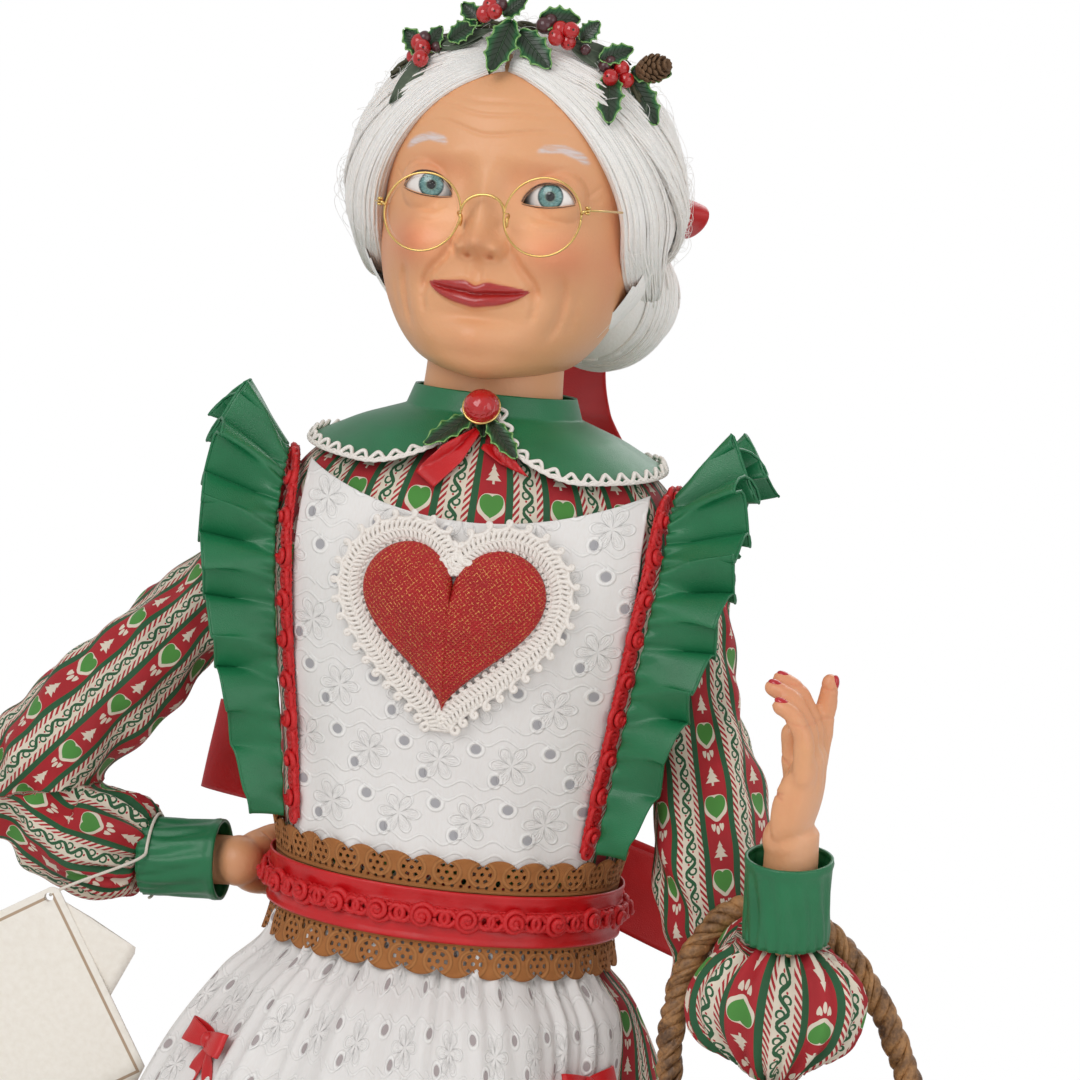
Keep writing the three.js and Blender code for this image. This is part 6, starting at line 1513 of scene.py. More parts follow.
def face_depth(x, z, base):
    """The face's y in millimetres: the relief laid on the head, with the lids' round over each eye."""
    skin = base - relief(x, z)
    away = (np.abs(x) - EYE[0]) ** 2 + (z - EYE[2]) ** 2
    dome = EYE[1] - np.sqrt(np.clip(LID_RADIUS**2 - away, 0, None))
    fold = 0.9 * groove(x, z, [(13.0, 10.0), (17, 13.6), (22, 15.0), (27.5, 14.2), (32.5, 10.5)], 0.8)
    dome = np.where(away < LID_RADIUS**2, dome + fold, 99.0)
    blend = np.clip(0.5 + 0.5 * (skin - dome) / 1.3, 0, 1)
    return skin * (1 - blend) + dome * blend - 1.3 * blend * (1 - blend)


sweep = np.concatenate([np.linspace(-np.pi * 1.5, -np.pi, 34)[:-1], np.linspace(-np.pi, 0, 320),
    np.linspace(0, np.pi * 0.5, 34)[1:-1]])
levels = np.concatenate([np.linspace(HEAD_LOW, -0.053, 14)[:-1], np.linspace(-0.053, 0.042, 210),
    np.linspace(0.042, 0.0639, 30)[1:]])
angle, height = np.meshgrid(sweep, levels)
skull = head_point(angle, height) * 1000
x, z = skull[..., 0].copy(), skull[..., 2].copy()
front = rise(-np.sin(angle), 0.02, 0.45)
gap = lid_gap(x, z)
near = (gap < 0) & (np.sin(angle) < 0)
core = near & (gap < -0.34)
edge_band = near & ~core
side = np.abs(x)
middle = (lid(side, True) + lid(side, False)) / 2
z = np.where(edge_band, middle + (z - middle) / np.maximum(gap + 1, 0.2), z)
y = skull[..., 1] * (1 - front) + face_depth(x, z, skull[..., 1]) * front
index = np.arange(x.size).reshape(x.shape)
right = np.roll(index, -1, 1)
quads = abreast(index[:-1], right[:-1], right[1:], index[1:]).reshape(-1, 4)
quads = quads[~core.reshape(-1)[quads].any(1)]

mouth = lip_line(x)
wide, upper, lower = lip_fullness(x)
on_lip = np.where(z > mouth, (z - mouth) / np.maximum(upper, 0.05), (mouth - z) / np.maximum(lower, 0.05))
lips = (1 - rise(on_lip, 0.88, 1.10)) * (wide > 0.01) * (np.sin(angle) < 0)
# Paint: blush on the cheeks, nose and chin, a warm tint on the upper lids and towards the sides of the face,
# and painted shade: the hollows of the relief painted warmer and darker.
rosy_and_hollow_shade = (0.9 * hump(side, z, (27, -14), (12, 9)) + 0.3 * hump(x, z, (0, -12), (7, 6)) + 0.22
    * hump(x, z, (0, -47), (9, 6)))
rosy_and_hollow_shade = (rosy_and_hollow_shade + 0.3 * np.clip(-relief(x, z) / 3.0, 0, 1) + 0.4 * hump(side, z, (19, 15), (11, 4)) + 0.5
    * rise(side, 36, 45))
brow = rise(groove(x, z, BROW, 1.75), 0.25, 0.75) * (np.sin(angle) < 0)
paint = abreast(np.clip(rosy_and_hollow_shade, 0, 1) * front, lips, brow)

face_resin = Finish("face_resin", Roughness=0.44, Subsurface_Weight=0.12, Coat_Weight=0.08,
    Coat_Roughness=0.35)
face_resin.shader.inputs["Subsurface Radius"].default_value = (0.004, 0.0018, 0.0010)
blush_and_hollow_shade, lip, brow_paint = face_resin.split(face_resin.attribute("paint", "Color"))
place = face_resin.place()
patch = face_resin.noise(place, 70, 3)
grain = face_resin.noise(place, 800, 3)
brushed = face_resin.noise(place, 38, 2)
strokes = face_resin.noise(face_resin.stretch(place, (150, 150, 1100)), 1.0, 3)
tone = face_resin.mix(patch * 0.35, SKIN, (0.66, 0.30, 0.15))
# Painted shade: the first paint channel darkens the hollows of the face as well as giving the blush.
tone = face_resin.mix(blush_and_hollow_shade * (brushed * 0.6 + 0.5), tone, (0.68, 0.215, 0.10))
tone = face_resin.mix(lip, tone, face_resin.mix(grain, (0.33, 0.010, 0.009), (0.47, 0.022, 0.016)))
white_paint = face_resin.mix(strokes, (0.50, 0.40, 0.38), (0.80, 0.73, 0.73))
face_resin.set("Base Color", face_resin.mix(brow_paint * face_resin.ease(strokes, 0.35, 0.6, 0.45, 0.9),
    tone, white_paint))
face_resin.set("Roughness", (grain * 0.16 + 0.36) * (1.0 - lip * 0.55))
face_resin.set("Coat Weight", lip * 0.6 + 0.06)
face_resin.bump(grain + patch * 0.6 + brow_paint * strokes * 2.0, 0.00014)

head = Piece().add(in_head(abreast(x, y, z) / 1000),
    quads.tolist() + [tuple(index[0][::-1]), tuple(index[-1])], paint=paint)
neck_turn = np.linspace(0, 2 * np.pi, 64, endpoint=False)[None]
neck_rise = np.linspace(NECK_LOW, -0.030, 34)[:, None]
flare = (NECK_RADIUS - 0.0012 * np.sin(np.pi * (neck_rise - NECK_LOW) / 0.0435) + 0.0005
    * np.cos(neck_turn * 2))
neck = abreast(flare * np.cos(neck_turn), flare * np.sin(neck_turn) - 0.0008, neck_rise)
head.grid(in_head(neck), True, True)
head.object("head_resin", face_resin, "head", "resin", ["head"])

# Lids' edges: a rounded rim of resin along each opening, with painted lash lines on both lids.
# The lash line is a fine brown stroke, thicker above than below.
lids = Piece()
lashes = Piece()
lx = EYE[0] - EYE_HALF * np.cos(np.linspace(0.02, np.pi - 0.02, 60))
for sign in (1, -1):
    for top in (True, False):
        lz = lid(lx, top)
        base = head_point(-np.arccos(lx / 1000 / HEAD_HALF[0]), lz / 1000)[..., 1] * 1000
        line = abreast(sign * lx, face_depth(lx, lz, base) + 0.12, lz) / 1000
        lids.tube(in_head(line), 0.00045 * np.sin(np.linspace(0.25, np.pi - 0.25, 60)) ** 0.3, 8)
        lift = line + (0, -0.0004, 0.0001 if top else 0.0)
        lashes.tube(in_head(lift[2:-2]), (0.00042 if top else 0.00020)
            * np.sin(np.linspace(0.35, np.pi - 0.25, 56)) ** 0.5, 6)
lids.object("eyelid_rims", face_resin, "head", "resin")
lash_paint = flecked("lash_brown", 600, 2, (0.030, 0.010, 0.006), (0.075, 0.030, 0.018), Roughness=0.6)
lashes.object("lash_lines", lash_paint, "head", "resin")

# Eyes: blown glass with a teal iris, fine fibres and a dark rim, under a clear dome.
# Each is set into the head from behind and fills its opening.
GAZE = (0.075, 0.015)
IRIS = 0.405
eye_glass = Finish("glass_eye", Roughness=0.05, Coat_Weight=0.8, Coat_Roughness=0.02)
ex, ey, _ = eye_glass.split(eye_glass.attribute("cloth"))
radius = (ex * ex + ey * ey).fn("SQRT") / IRIS
spoke = ey.fn("ARCTAN2", ex)
fibres = eye_glass.noise(eye_glass.point(spoke.fn("COSINE") * 4.0, spoke.fn("SINE") * 4.0, radius * 0.6),
    5.0, 4)
iris = eye_glass.mix(eye_glass.ease(fibres, 0.3, 0.7), (0.035, 0.115, 0.120), (0.20, 0.40, 0.38))
iris = eye_glass.mix(eye_glass.ease(radius, 0.38, 0.52, 0.45, 0.0), iris, (0.16, 0.17, 0.09))
iris = eye_glass.mix(eye_glass.ease(radius, 0.78, 0.98, 0.0, 0.9), iris, (0.008, 0.030, 0.036))
iris = eye_glass.mix(eye_glass.ease(radius, 0.33, 0.38, 1.0, 0.0), iris, (0.002, 0.002, 0.002))
veins = eye_glass.noise(eye_glass.place(), 400, 4)
white = eye_glass.mix(veins * 0.3, (0.80, 0.78, 0.75), (0.72, 0.55, 0.50))
eye_glass.set("Base Color", eye_glass.mix(eye_glass.ease(radius, 0.99, 1.06), iris, white))
for name, sign in (("left", 1), ("right", -1)):
    gaze = unit(np.array([GAZE[0] - sign * 0.03, -1.0, GAZE[1]]))
    across = unit(np.cross(gaze, (0, 0, 1)))
    up = np.cross(across, gaze)
    polar = np.linspace(0.004, np.pi * 0.5, 90)[:, None]
    turn = np.linspace(0, 2 * np.pi, 72, endpoint=False)[None]
    bulge = 1 + 0.022 * np.exp(-((polar / 0.33) ** 4))
    local = (np.sin(polar)[..., None] * (np.cos(turn)[..., None] * across + np.sin(turn)[..., None] * up)
        + np.cos(polar)[..., None] * gaze)
    ball = (np.array([sign * EYE[0], EYE[1], EYE[2]]) + EYE_RADIUS * bulge[..., None] * local) / 1000
    marks = abreast(polar * np.cos(turn), polar * np.sin(turn), 0)
    Piece().grid(in_head(ball), True, True, marks).object(f"glass_eye_{name}", eye_glass, "head",
        "eye_glass", [f"eye_{name}"])

# Hair: a wig of white mohair, parted in the middle, rolled softly back from the face, combed over the
# ears and wound into a low bun behind the left ear; every lock is laid over a padded cap.
WIG_HALF = (0.064, 0.058)
WIG_BACK = 0.003
WIG_TOP = 0.071
WIG_LOW = 0.042
WIG_TABLE = [
    (0, 0.66, 0.5, 0.75), (0.15, 0.86, 0.62, 0.9), (0.37, 1, 0.84, 1), (0.52, 0.98, 0.93, 0.99),
    (0.68, 0.88, 0.9, 0.92),
    (0.82, 0.7, 0.76, 0.76), (0.93, 0.44, 0.5, 0.5), (1, 0.12, 0.14, 0.12),
]
WIG_CENTRE = np.array([0, 0.004, 0.012])
BUN_PLACE = np.array([0.027, 0.053, -0.028])
BUN_RADIUS = 0.033
OPENING = (0.0450, 0.0500)
TEMPLE = 0.62
ROLLED = 330
LOCKS = 700
BACK_LOCKS = 330
STRAYS = 420

mohair = Finish("white_mohair", Roughness=0.70, Subsurface_Weight=0.2)
mohair.shader.inputs["Subsurface Radius"].default_value = (0.006, 0.005, 0.0045)
soft = mohair.noise(mohair.place(), 55, 3)
fine = mohair.noise(mohair.place(), 900, 2)
mohair.set("Base Color", mohair.mix(soft * 0.6 + fine * 0.4, (0.84, 0.79, 0.74), (0.98, 0.965, 0.945)))
mohair.bump(fine, 0.0002)


def wig_reach(direction):
    """How far the wig's surface lies from its middle along each direction."""
    direction = unit(direction)
    low, high = np.zeros(direction.shape[:-1]), np.full(direction.shape[:-1], 0.12)
    for _ in range(20):
        middle = (low + high) / 2
        p = WIG_CENTRE + direction * middle[..., None]
        width, front, back = smooth_read(WIG_TABLE, (p[..., 2] + WIG_LOW) / (WIG_TOP + WIG_LOW))
        deep = WIG_HALF[1] * np.where(p[..., 1] < WIG_BACK, front, back)
        inside = np.hypot(p[..., 0] / (WIG_HALF[0] * width), (p[..., 1] - WIG_BACK) / deep) < 1
        inside = inside & (p[..., 2] < WIG_TOP - 0.0005) & (p[..., 2] > -WIG_LOW + 0.0005)
        low, high = np.where(inside, middle, low), np.where(inside, high, middle)
    return low


def on_wig(direction, above):
    direction = unit(direction)
    reach = wig_reach(direction)
    return WIG_CENTRE + direction * (reach + above)[..., None]


def wig_front(x, z):
    width, front, _ = smooth_read(WIG_TABLE, (z + WIG_LOW) / (WIG_TOP + WIG_LOW))
    return WIG_BACK - WIG_HALF[1] * front * np.sqrt(np.clip(1 - (x / (WIG_HALF[0] * width)) ** 2, 0, 1))


def skin_front(x, z):
    width, front, _ = smooth_read(HEAD_TABLE, z / HEAD_HALF[2])
    return -HEAD_HALF[1] * front * np.sqrt(np.clip(1 - (x / (HEAD_HALF[0] * width)) ** 2, 0.02, 1))


def opening(share):
    """The hair's edge round the face: from the parting at 0 past the temple to below the ear at 1."""
    turn = np.clip(share / TEMPLE, 0, 1) * np.pi / 2
    x = OPENING[0] * np.sin(turn) ** 1.25
    return (x, OPENING[1] * np.cos(turn).clip(0) ** 1.25 - 0.028
        * np.clip((share - TEMPLE) / (1 - TEMPLE), 0, 1))


def bezier(knots, t):
    knots = [np.asarray(k, float) for k in knots]
    t = np.asarray(t, float)[:, None]
    while len(knots) > 1:
        knots = [a * (1 - t) + b * t for a, b in zip(knots[:-1], knots[1:])]
    return knots[0]


polar = np.linspace(0.03, np.pi * 0.80, 90)[:, None]
turn = np.linspace(0, 2 * np.pi, 160, endpoint=False)[None]
direction = abreast(np.sin(polar) * np.cos(turn), np.sin(polar) * np.sin(turn), np.cos(polar))
cap_shape = on_wig(direction, -0.0030 - 0.0016 * np.exp(-((direction[..., 0] / 0.035) ** 2)))
index = np.arange(polar.size * turn.size).reshape(polar.size, turn.size)
right = np.roll(index, -1, 1)
quads = abreast(index[:-1], right[:-1], right[1:], index[1:]).reshape(-1, 4)
in_face = (cap_shape[..., 0] / 0.0525) ** 2 + (np.maximum(cap_shape[..., 2], 0) / 0.0560) ** 2 < 1
hidden = ((cap_shape[..., 1] < -0.010) & in_face).reshape(-1)
quads = quads[~hidden[quads].any(1)]
cap = Piece().add(in_head(cap_shape), quads.tolist() + [tuple(index[0])])
cap.object("wig_cap", mohair, "head", "mohair", ["wig"])

random = np.random.default_rng(11)
locks = Piece()
for sign in (1, -1):
    ends = np.array([0.62, 0.80, -0.58]) if sign > 0 else np.array([0.22, 0.95, -0.50])
    for k in range(ROLLED):
        level = random.random() ** 0.85
        share = np.linspace(0.012 + 0.02 * random.random(), 1 - 0.20 * random.random(), 36)
        x, z = opening(share)
        spread = random.uniform(0, 0.17) * (1 - np.clip((share - 0.55) / 0.45, 0, 1))
        out_x, out_z = x * (1.25 + spread) + 0.0004, z * (1.13 + spread * 0.4) + 0.0012
        root = abreast(x, skin_front(x, z) + 0.0010, z)
        crest = abreast(x * 0.99, wig_front(x, z) - 0.0026, z * 0.985)
        back = abreast(out_x, wig_front(out_x, out_z), out_z)
        line = root * (1 - level) ** 2 + crest * 2 * level * (1 - level) + back * level**2
        line[:, 1] += 0.0020 * np.exp(-((x / 0.0035) ** 2)) + 0.0005 * np.sin(level * 47 + share * 4)
        line[:, 1] += 0.014 * np.clip((share - 0.70) / 0.30, 0, 1) ** 2
        line = line * (sign, 1, 1)
        t = np.linspace(0, 1, 17)[1:]
        start = line[-1] - WIG_CENTRE
        over = np.linalg.norm(start) - float(wig_reach(start))
        sweep_back = on_wig(bezier([unit(start), (sign * 0.85, 0.30, -0.58), ends], t),
            over * (1 - t) ** 2 - 0.0010 * t)
        line = np.concatenate([line, sweep_back])
        line = np.array([line[i - min(i, 51 - i, 4):i + min(i, 51 - i, 4) + 1].mean(0) for i in range(52)])
        locks.tube(in_head(line), random.uniform(0.00032, 0.00062)
            * np.clip(np.sin(np.pi * (0.03 + 0.94 * np.linspace(0, 1, 52))) ** 0.3, 0.3, 1), 4)
    for k in range(LOCKS):
        u = (k + random.random()) / LOCKS
        phi = math.radians(-46 + 102 * u)
        start = np.array([sign * (0.022 + 0.02 * random.random()), math.sin(phi), math.cos(phi)])
        side = np.array([sign, -0.58 + 1.01 * u, 0.42 + 0.30 * math.sin(u * 2.5)])
        ear = np.array([sign, -0.20 + 0.74 * u, -0.30 + 0.42 * u])
        low = np.array([sign * (0.80 - 0.45 * u), 0.62 + 0.25 * u, -0.50 + 0.42 * u])
        end = ends * (0.9, 1, 1) + (0, 0, 0.30 * u)
        t = np.linspace(0, 1, 26)
        jitter = random.normal(0, 0.022, 3)
        path = bezier([start, side * 0.9 + jitter, side + jitter, ear * 1.1 + jitter, low * 1.15 + jitter,
            end], t)
        clump = 0.0010 * math.sin(u * 150 + sign) + random.uniform(-0.0004, 0.0011)
        above = clump * np.sin(np.pi * np.clip(t * 1.3, 0, 1)) ** 0.6 + 0.0007 * np.sin(t * 17 + u * 60) * t
        line = on_wig(path, above - 0.0012 - 0.0014 * np.exp(-t / 0.035))
        locks.tube(in_head(line), random.uniform(0.00035, 0.00070)
            * np.clip(np.sin(np.pi * (0.04 + 0.92 * t)) ** 0.3, 0.3, 1), 4)
    for k in range(BACK_LOCKS):
        u = (k + random.random()) / BACK_LOCKS
        phi = math.radians(48 + 74 * u)
        start = np.array([sign * 0.02, math.sin(phi), math.cos(phi)])
        bulge = np.array([sign * (0.62 - 0.20 * u), 0.30 + 0.62 * u, 0.62 - 0.78 * u])
        t = np.linspace(0, 1, 22)
        path = bezier([start, bulge + random.normal(0, 0.02, 3),
            (sign * (0.75 - 0.3 * u), 0.75, -0.20 - 0.25 * u), ends], t)
        above = 0.0009 * math.sin(u * 95 + sign) * np.sin(np.pi * t) + random.uniform(-0.0003, 0.0009)
        line = on_wig(path, above - 0.0008 - 0.0012 * np.exp(-t / 0.04))
        locks.tube(in_head(line), random.uniform(0.00035, 0.00070)
            * np.clip(np.sin(np.pi * (0.04 + 0.92 * t)) ** 0.3, 0.3, 1), 4)
locks.object("wig_locks", mohair, "head", "mohair")

bun_axis = unit(np.array([0.45, 0.86, -0.12]))
bun_side = unit(np.cross(bun_axis, (0, 0, 1)))
bun_up = np.cross(bun_side, bun_axis)
bun = Piece()
bun.ball(in_head(BUN_PLACE), BUN_RADIUS * 0.88, 40, 26, (1, 0.9, 0.9))
for k in range(230):
    lag = random.uniform(0, 2 * np.pi)
    band = random.uniform(0.10, 1.9)
    t = np.linspace(0, 1, 34)
    spin = lag + t * random.uniform(2.4, 3.8)
    sink = band + 0.22 * np.sin(t * 2.6 + lag) * abs(1.4 - band)
    bulk = (BUN_RADIUS * (0.905 + 0.045 * np.sin(band * 9 + lag * 0.2 + t * 1.5)
        + random.uniform(-0.012, 0.02)))
    local = (np.cos(sink)[:, None] * bun_axis + np.sin(sink)[:, None]
        * (np.cos(spin)[:, None] * bun_side + np.sin(spin)[:, None] * bun_up))
    bun.tube(in_head(BUN_PLACE + bulk[:, None] * local * (1, 0.9, 0.9)),
        0.00075 * np.sin(np.pi * (0.05 + 0.9 * t)) ** 0.4, 5)
bun.object("hair_bun", mohair, "head", "mohair", ["bun"])

stray = Piece()
for k in range(STRAYS):
    around = random.uniform(-0.3, np.pi + 0.3)
    t = np.linspace(0, 1, 14)
    path = unit(np.array([math.cos(around), random.uniform(-0.55, 0.8), math.sin(around) * 0.9 - 0.12]))
    path = path + np.outer(t, random.normal(0, 0.22, 3)) + np.outer(np.sin(t * 3), random.normal(0, 0.05, 3))
    line = on_wig(path, 0.0002 + random.uniform(0.0008, 0.0042) * np.sin(np.pi * t) ** 1.2)
    clear_of_face = (line[:, 1] > -0.012) | ((line[:, 0] / 0.047) ** 2
        + (np.maximum(line[:, 2], 0) / 0.053) ** 2 > 1)
    if clear_of_face.all():
        stray.tube(in_head(line), 0.00008, 3)
stray.object("stray_hairs", mohair, "head", "mohair")


def bow_loop(piece, root, reach, fullness, width, thickness=0.0006, pinch=0.3, twist=0.0, creases=1.0):
    """A ribbon loop that leaves a knot pinched, opens to its full width at the tip and comes back."""
    reach, fullness = np.asarray(reach, float), np.asarray(fullness, float)
    across = unit(np.cross(reach, fullness))
    v = np.linspace(0.04, 2 * np.pi - 0.04, 96)[:, None]
    u = np.linspace(-0.5, 0.5, 21)[None]
    open_width = width * (pinch + (1 - pinch) * np.sin(v / 2) ** 0.7)
    out = (1 - np.cos(v)) / 2
    bulge = np.sin(v) * (0.75 + 0.25 * out) + 0.10 * np.sin(2 * v)
    crease = (creases * 0.10 * np.sin(u * 14 + 1.0) * np.exp(-((out / 0.35) ** 2)) + 0.05
        * np.sin(u * 6 + out * 4))
    points = root + out[..., None] * reach + (bulge + crease)[..., None] * fullness
    points = points + (u * open_width)[..., None] * (across + unit(fullness) * twist)
    piece.sheet(points, thickness)


# Hair bow: red satin ribbon tied over the bun, with one long tail down the back of the shoulder.
# The knot is pinned through the bun, so bow and tail turn with the head.
BOW_PLACE = np.array([0.046, 0.068, 0.004])
RIBBON = 0.016
tied = Piece()
bow_loop(tied, BOW_PLACE, (0.033 * 0.45, -0.033 * 0.78, 0.004), (0, 0, RIBBON * 0.45), RIBBON * 0.92,
    twist=0.2)
bow_loop(tied, BOW_PLACE, (-0.033 * 0.8, 0.033 * 0.55, 0.001), (0, 0, RIBBON * 0.45), RIBBON * 0.92,
    twist=-0.2)
tied.ball(BOW_PLACE, 0.0052, 20, 14, (0.95, 0.95, 1.15))
for lag in (0, 1.1, 2.3):
    ring = np.linspace(0, 2 * np.pi, 30)
    fold = (BOW_PLACE + abreast(0.0050 * np.cos(ring), 0.0050 * np.sin(ring) * math.cos(lag * 0.3),
        0.0056 * np.sin(ring + lag * 0.4)))
    tied.tube(fold, 0.0005, 5)
u, v = np.meshgrid(np.linspace(-0.5, 0.5, 15), np.linspace(0, 1, 70))
knot = RIBBON * 0.28
back = (knot * 0.5 + RIBBON * np.sin(np.minimum(1, v * 1.2) * np.pi) ** 0.8 - 0.010 * v * v + 0.0012
    * np.sin(v * 11 + u * 3))
spread = (0.42 + 0.58 * np.minimum(1, v * 3)) * RIBBON * (1.1 + 0.25 * v)
tip = 0.005 * np.maximum(0, (v - 0.9) / 0.1) * (0.5 - u)
drift = -0.0275 * np.sin(np.pi * 0.88 * v)
tail = BOW_PLACE + abreast(u * spread + drift, back - u * spread * 0.4, -knot * 0.5 - 0.091 * v + tip)
tied.sheet(tail, 0.0006)
tied.points = [in_head(points) for points in tied.points]
tied = tied.object("hair_bow_ribbon", red_satin, "head", "red_satin", ["hair_bow"])

# Spectacles: round thin gold wire rims with nose pads, thin lenses and straight temples.
# They rest on the nose, and the temples pass under the hair.
LENS_PLACE = (0.0216, -0.0605, -0.0016)
LENS_RADIUS = 0.0132
RIM_RADIUS = 0.0138
SPECTACLE_TILT = 0.055


def in_specs(points):
    points = np.asarray(points, float)
    return in_head(points + points[..., :1] * (0, 0, SPECTACLE_TILT) + (0.0012, 0, 0))


wire = Piece()
plain = Piece()
ring = np.linspace(0, 2 * np.pi, 97)
for sign in (1, -1):
    centre = np.array([sign * LENS_PLACE[0], LENS_PLACE[1], LENS_PLACE[2]])
    wire.tube(in_specs(centre + abreast(RIM_RADIUS * np.cos(ring), 0, RIM_RADIUS * np.sin(ring))), 0.00042,
        10)
    hinge = centre + np.array([sign * 0.0158, 0.0001, 0.0030])
    wire.tube(in_specs([centre + (sign * 0.0136, 0, 0.0016), centre + (sign * 0.0146, -0.0004, 0.0026),
        hinge]), 0.00055, 8)
    for k in range(3):
        wire.ball(in_specs(hinge + (0, 0.0004, -0.0010 + 0.0010 * k)), 0.00095, 12, 8, (1.2, 1, 0.6))
    pad = centre + np.array([-sign * 0.0133, 0.0040, -0.0022])
    wire.tube(in_specs(bezier([centre + (-sign * 0.0136, 0, 0.0006),
        centre + (-sign * 0.0112, 0.0026, 0.0012), pad], np.linspace(0, 1, 14))), 0.0003, 6)
    wire.ball(in_specs(pad), 1.0, 14, 10, (0.0007, 0.0015, 0.0023))
    start = centre + np.array([sign * 0.0160, 0.0010, 0.0030])
    stop = np.array([sign * 0.0455, skin_front(0.0455, start[2]) - 0.0008, start[2] + 0.0005])
    plain.tube(in_specs(bezier([start, start + (sign * 0.006, 0.006, 0.0003), stop],
        np.linspace(0, 1, 20))), 0.00045, 8)
inner = LENS_PLACE[0] - RIM_RADIUS
low, high = LENS_PLACE[2] + 0.0008, LENS_PLACE[2] + 0.0090
knots = [(-inner, LENS_PLACE[1], low), (-inner * 0.9, LENS_PLACE[1], high),
    (inner * 0.9, LENS_PLACE[1], high), (inner, LENS_PLACE[1], low)]
wire.tube(in_specs(bezier(knots, np.linspace(0, 1, 40))), 0.00055, 10)
wire.object("spectacles_wire", gilt, "head", "gold_wire", ["spectacles_frame"])
plain.object("spectacles_temples", gilt, "head", "gold_wire", ["temple_left", "temple_right"])
clear = Finish("spectacle_glass", Roughness=0.02, Transmission_Weight=1.0, IOR=1.08, Specular_IOR_Level=0.35)
smear = clear.noise(clear.place(), 60, 2)
clear.set("Roughness", smear * 0.03)
clear.shader.inputs["Base Color"].default_value = (0.99, 0.99, 0.985, 1)
shadow_ray = clear.node("LightPath", {}, {}, "Is Shadow Ray")
open_path = clear.node("BsdfTransparent", {}, {})
passed = clear.node("MixShader", {},
    {0: shadow_ray * 0.25 + 0.7, 1: Wire(clear, clear.shader.outputs[0]), 2: open_path})
clear.tree.links.new(passed.socket, clear.tree.nodes["Material Output"].inputs[0])
for name, sign in (("left", 1), ("right", -1)):
    centre = np.array([sign * LENS_PLACE[0], LENS_PLACE[1], LENS_PLACE[2]])
    share = np.linspace(0.02, 1, 14)[:, None]
    turn = np.linspace(0, 2 * np.pi, 64, endpoint=False)[None]
    reach = (LENS_RADIUS - 0.0005) * share
    face = abreast(reach * np.cos(turn), -0.0004 - 0.0007 * (1 - share**2), reach * np.sin(turn))
    rear = face[::-1] + (0, 0.0008, 0)
    Piece().grid(in_specs(centre + np.concatenate([face, rear])), True,
        True).object(f"spectacle_lens_{name}", clear, "head", "lens", [f"lens_{name}"])

# Wreath: a wired vine laid over the front of the hair with cloth holly leaves, four clusters of
# lacquered berries, dark berries, long sage leaves at the right temple and a small pine cone.
WREATH_REACH = math.radians(47)
WREATH_FORWARD = 0.018
VINE_RADIUS = 0.0017
BERRY_RADIUS = 0.0031
CROWN_REACH = 0.062
CROWN_FRONT = -0.014
CROWN_HALVINGS = 26
CONE_HALF = 0.0046
CONE_LENGTH = 0.0118
CONE_ROWS = 8
CONE_SCALES = 9
HOLLY = [
    (-1, 68, -4, 50, 6.6), (2, 65, 15, 54, 6.4), (9, 70, 23, 71, 5.6), (-33, 54, -42, 62, 5.0),
    (-33, 55, -28, 64, 4.8),
    (-12, 66, -20, 73, 4.6), (35, 53, 39, 37, 6.2), (42, 53, 53, 38, 6.2), (42, 55, 56, 56, 5.2),
    (24, 64, 30, 71, 4.4),
    (-24, 60, -14, 67, 4.6), (-4, 70, 4, 77, 4.4), (31, 58, 42, 63, 4.6),
]
SAGE = [
    (-31, 56, -9, 65, 3.0), (-27, 57, -12, 62, 2.6), (-30, 53, -46, 44, 3.2), (-31, 52, -43, 35, 3.2),
    (21, 63, 42, 58, 2.8),
    (20, 62, 33, 55, 2.4), (-20, 66, -6, 70, 2.6), (44, 50, 49, 41, 2.6),
]
CLUSTERS = [
    [(-38, 53), (-34, 56), (-36, 58), (-33, 52)], [(-11, 70), (-7, 71), (-9, 73)],
    [(17, 67), (21, 67), (20, 63), (16, 64)], [(36, 52), (41, 52), (39, 56)],
]
DARK_BERRIES = [(-6, 74, 3.0), (11, 68, 3.2), (13, 70, 2.4), (-34, 60, 2.6), (33, 56, 2.4), (35, 58, 2.0),
    (-29, 57, 2.0), (26, 61, 2.0)]


def crown_point(angle, above):
    direction = np.array([math.sin(angle), 0, math.cos(angle)])
    low, high = 0.0, 2.0
    for _ in range(CROWN_HALVINGS):
        middle = (low + high) / 2
        p = direction * WIG_TOP * middle + (0, -WREATH_FORWARD, 0)
        width, front, _ = smooth_read(WIG_TABLE, np.array((p[2] + WIG_LOW) / (WIG_TOP + WIG_LOW)))
        inside = math.hypot(p[0] / (WIG_HALF[0] * width), (p[1] - WIG_BACK) / (WIG_HALF[1] * front)) < 1
        low, high = (middle, high) if p[2] < WIG_TOP and inside else (low, middle)
    return direction * (WIG_TOP * low + above) + (0, -WREATH_FORWARD - above * 0.4, 0)


def on_crown(x, z, off):
    """A place on the front of the hair, in millimetres across and up, standing off by some more."""
    x, z = x / 1000, z / 1000
    shrink = min(1.0, CROWN_REACH / math.hypot(x * 0.85, z))
    return np.array([x, min(float(wig_front(x * shrink, z * shrink)), CROWN_FRONT) - off / 1000, z])


def add_leaf(piece, leaf, off, cup, bow):
    x, z, tip_x, tip_z, half = leaf
    foot, tip = on_crown(x, z, off), on_crown(tip_x, tip_z, off + random.uniform(0.0, 2.5))
    out = unit(np.array([x * 0.006, -1.0, 0.35]) + random.normal(0, 0.13, 3))
    length = float(np.linalg.norm(tip - foot))
    if piece is leaves:
        holly_leaf(piece, foot, tip - foot, out, length * 1.04, half / 1000, bow, cup)
    else:
        lance(piece, foot, tip - foot, out, length, half / 1000)


def lance(piece, foot, along, normal, length, half):
    t = np.linspace(0, 1, 24)[:, None]
    v = np.linspace(-1, 1, 9)[None]
    flat = abreast(length * t, half * np.sin(np.pi * t**0.8) ** 0.8 * v,
        half * 0.35 * np.abs(v) - 0.10 * length * t * t)
    place, turned = basis(foot, along, normal)
    piece.sheet(place + flat @ turned, 0.00035, abreast(t, v, 0))


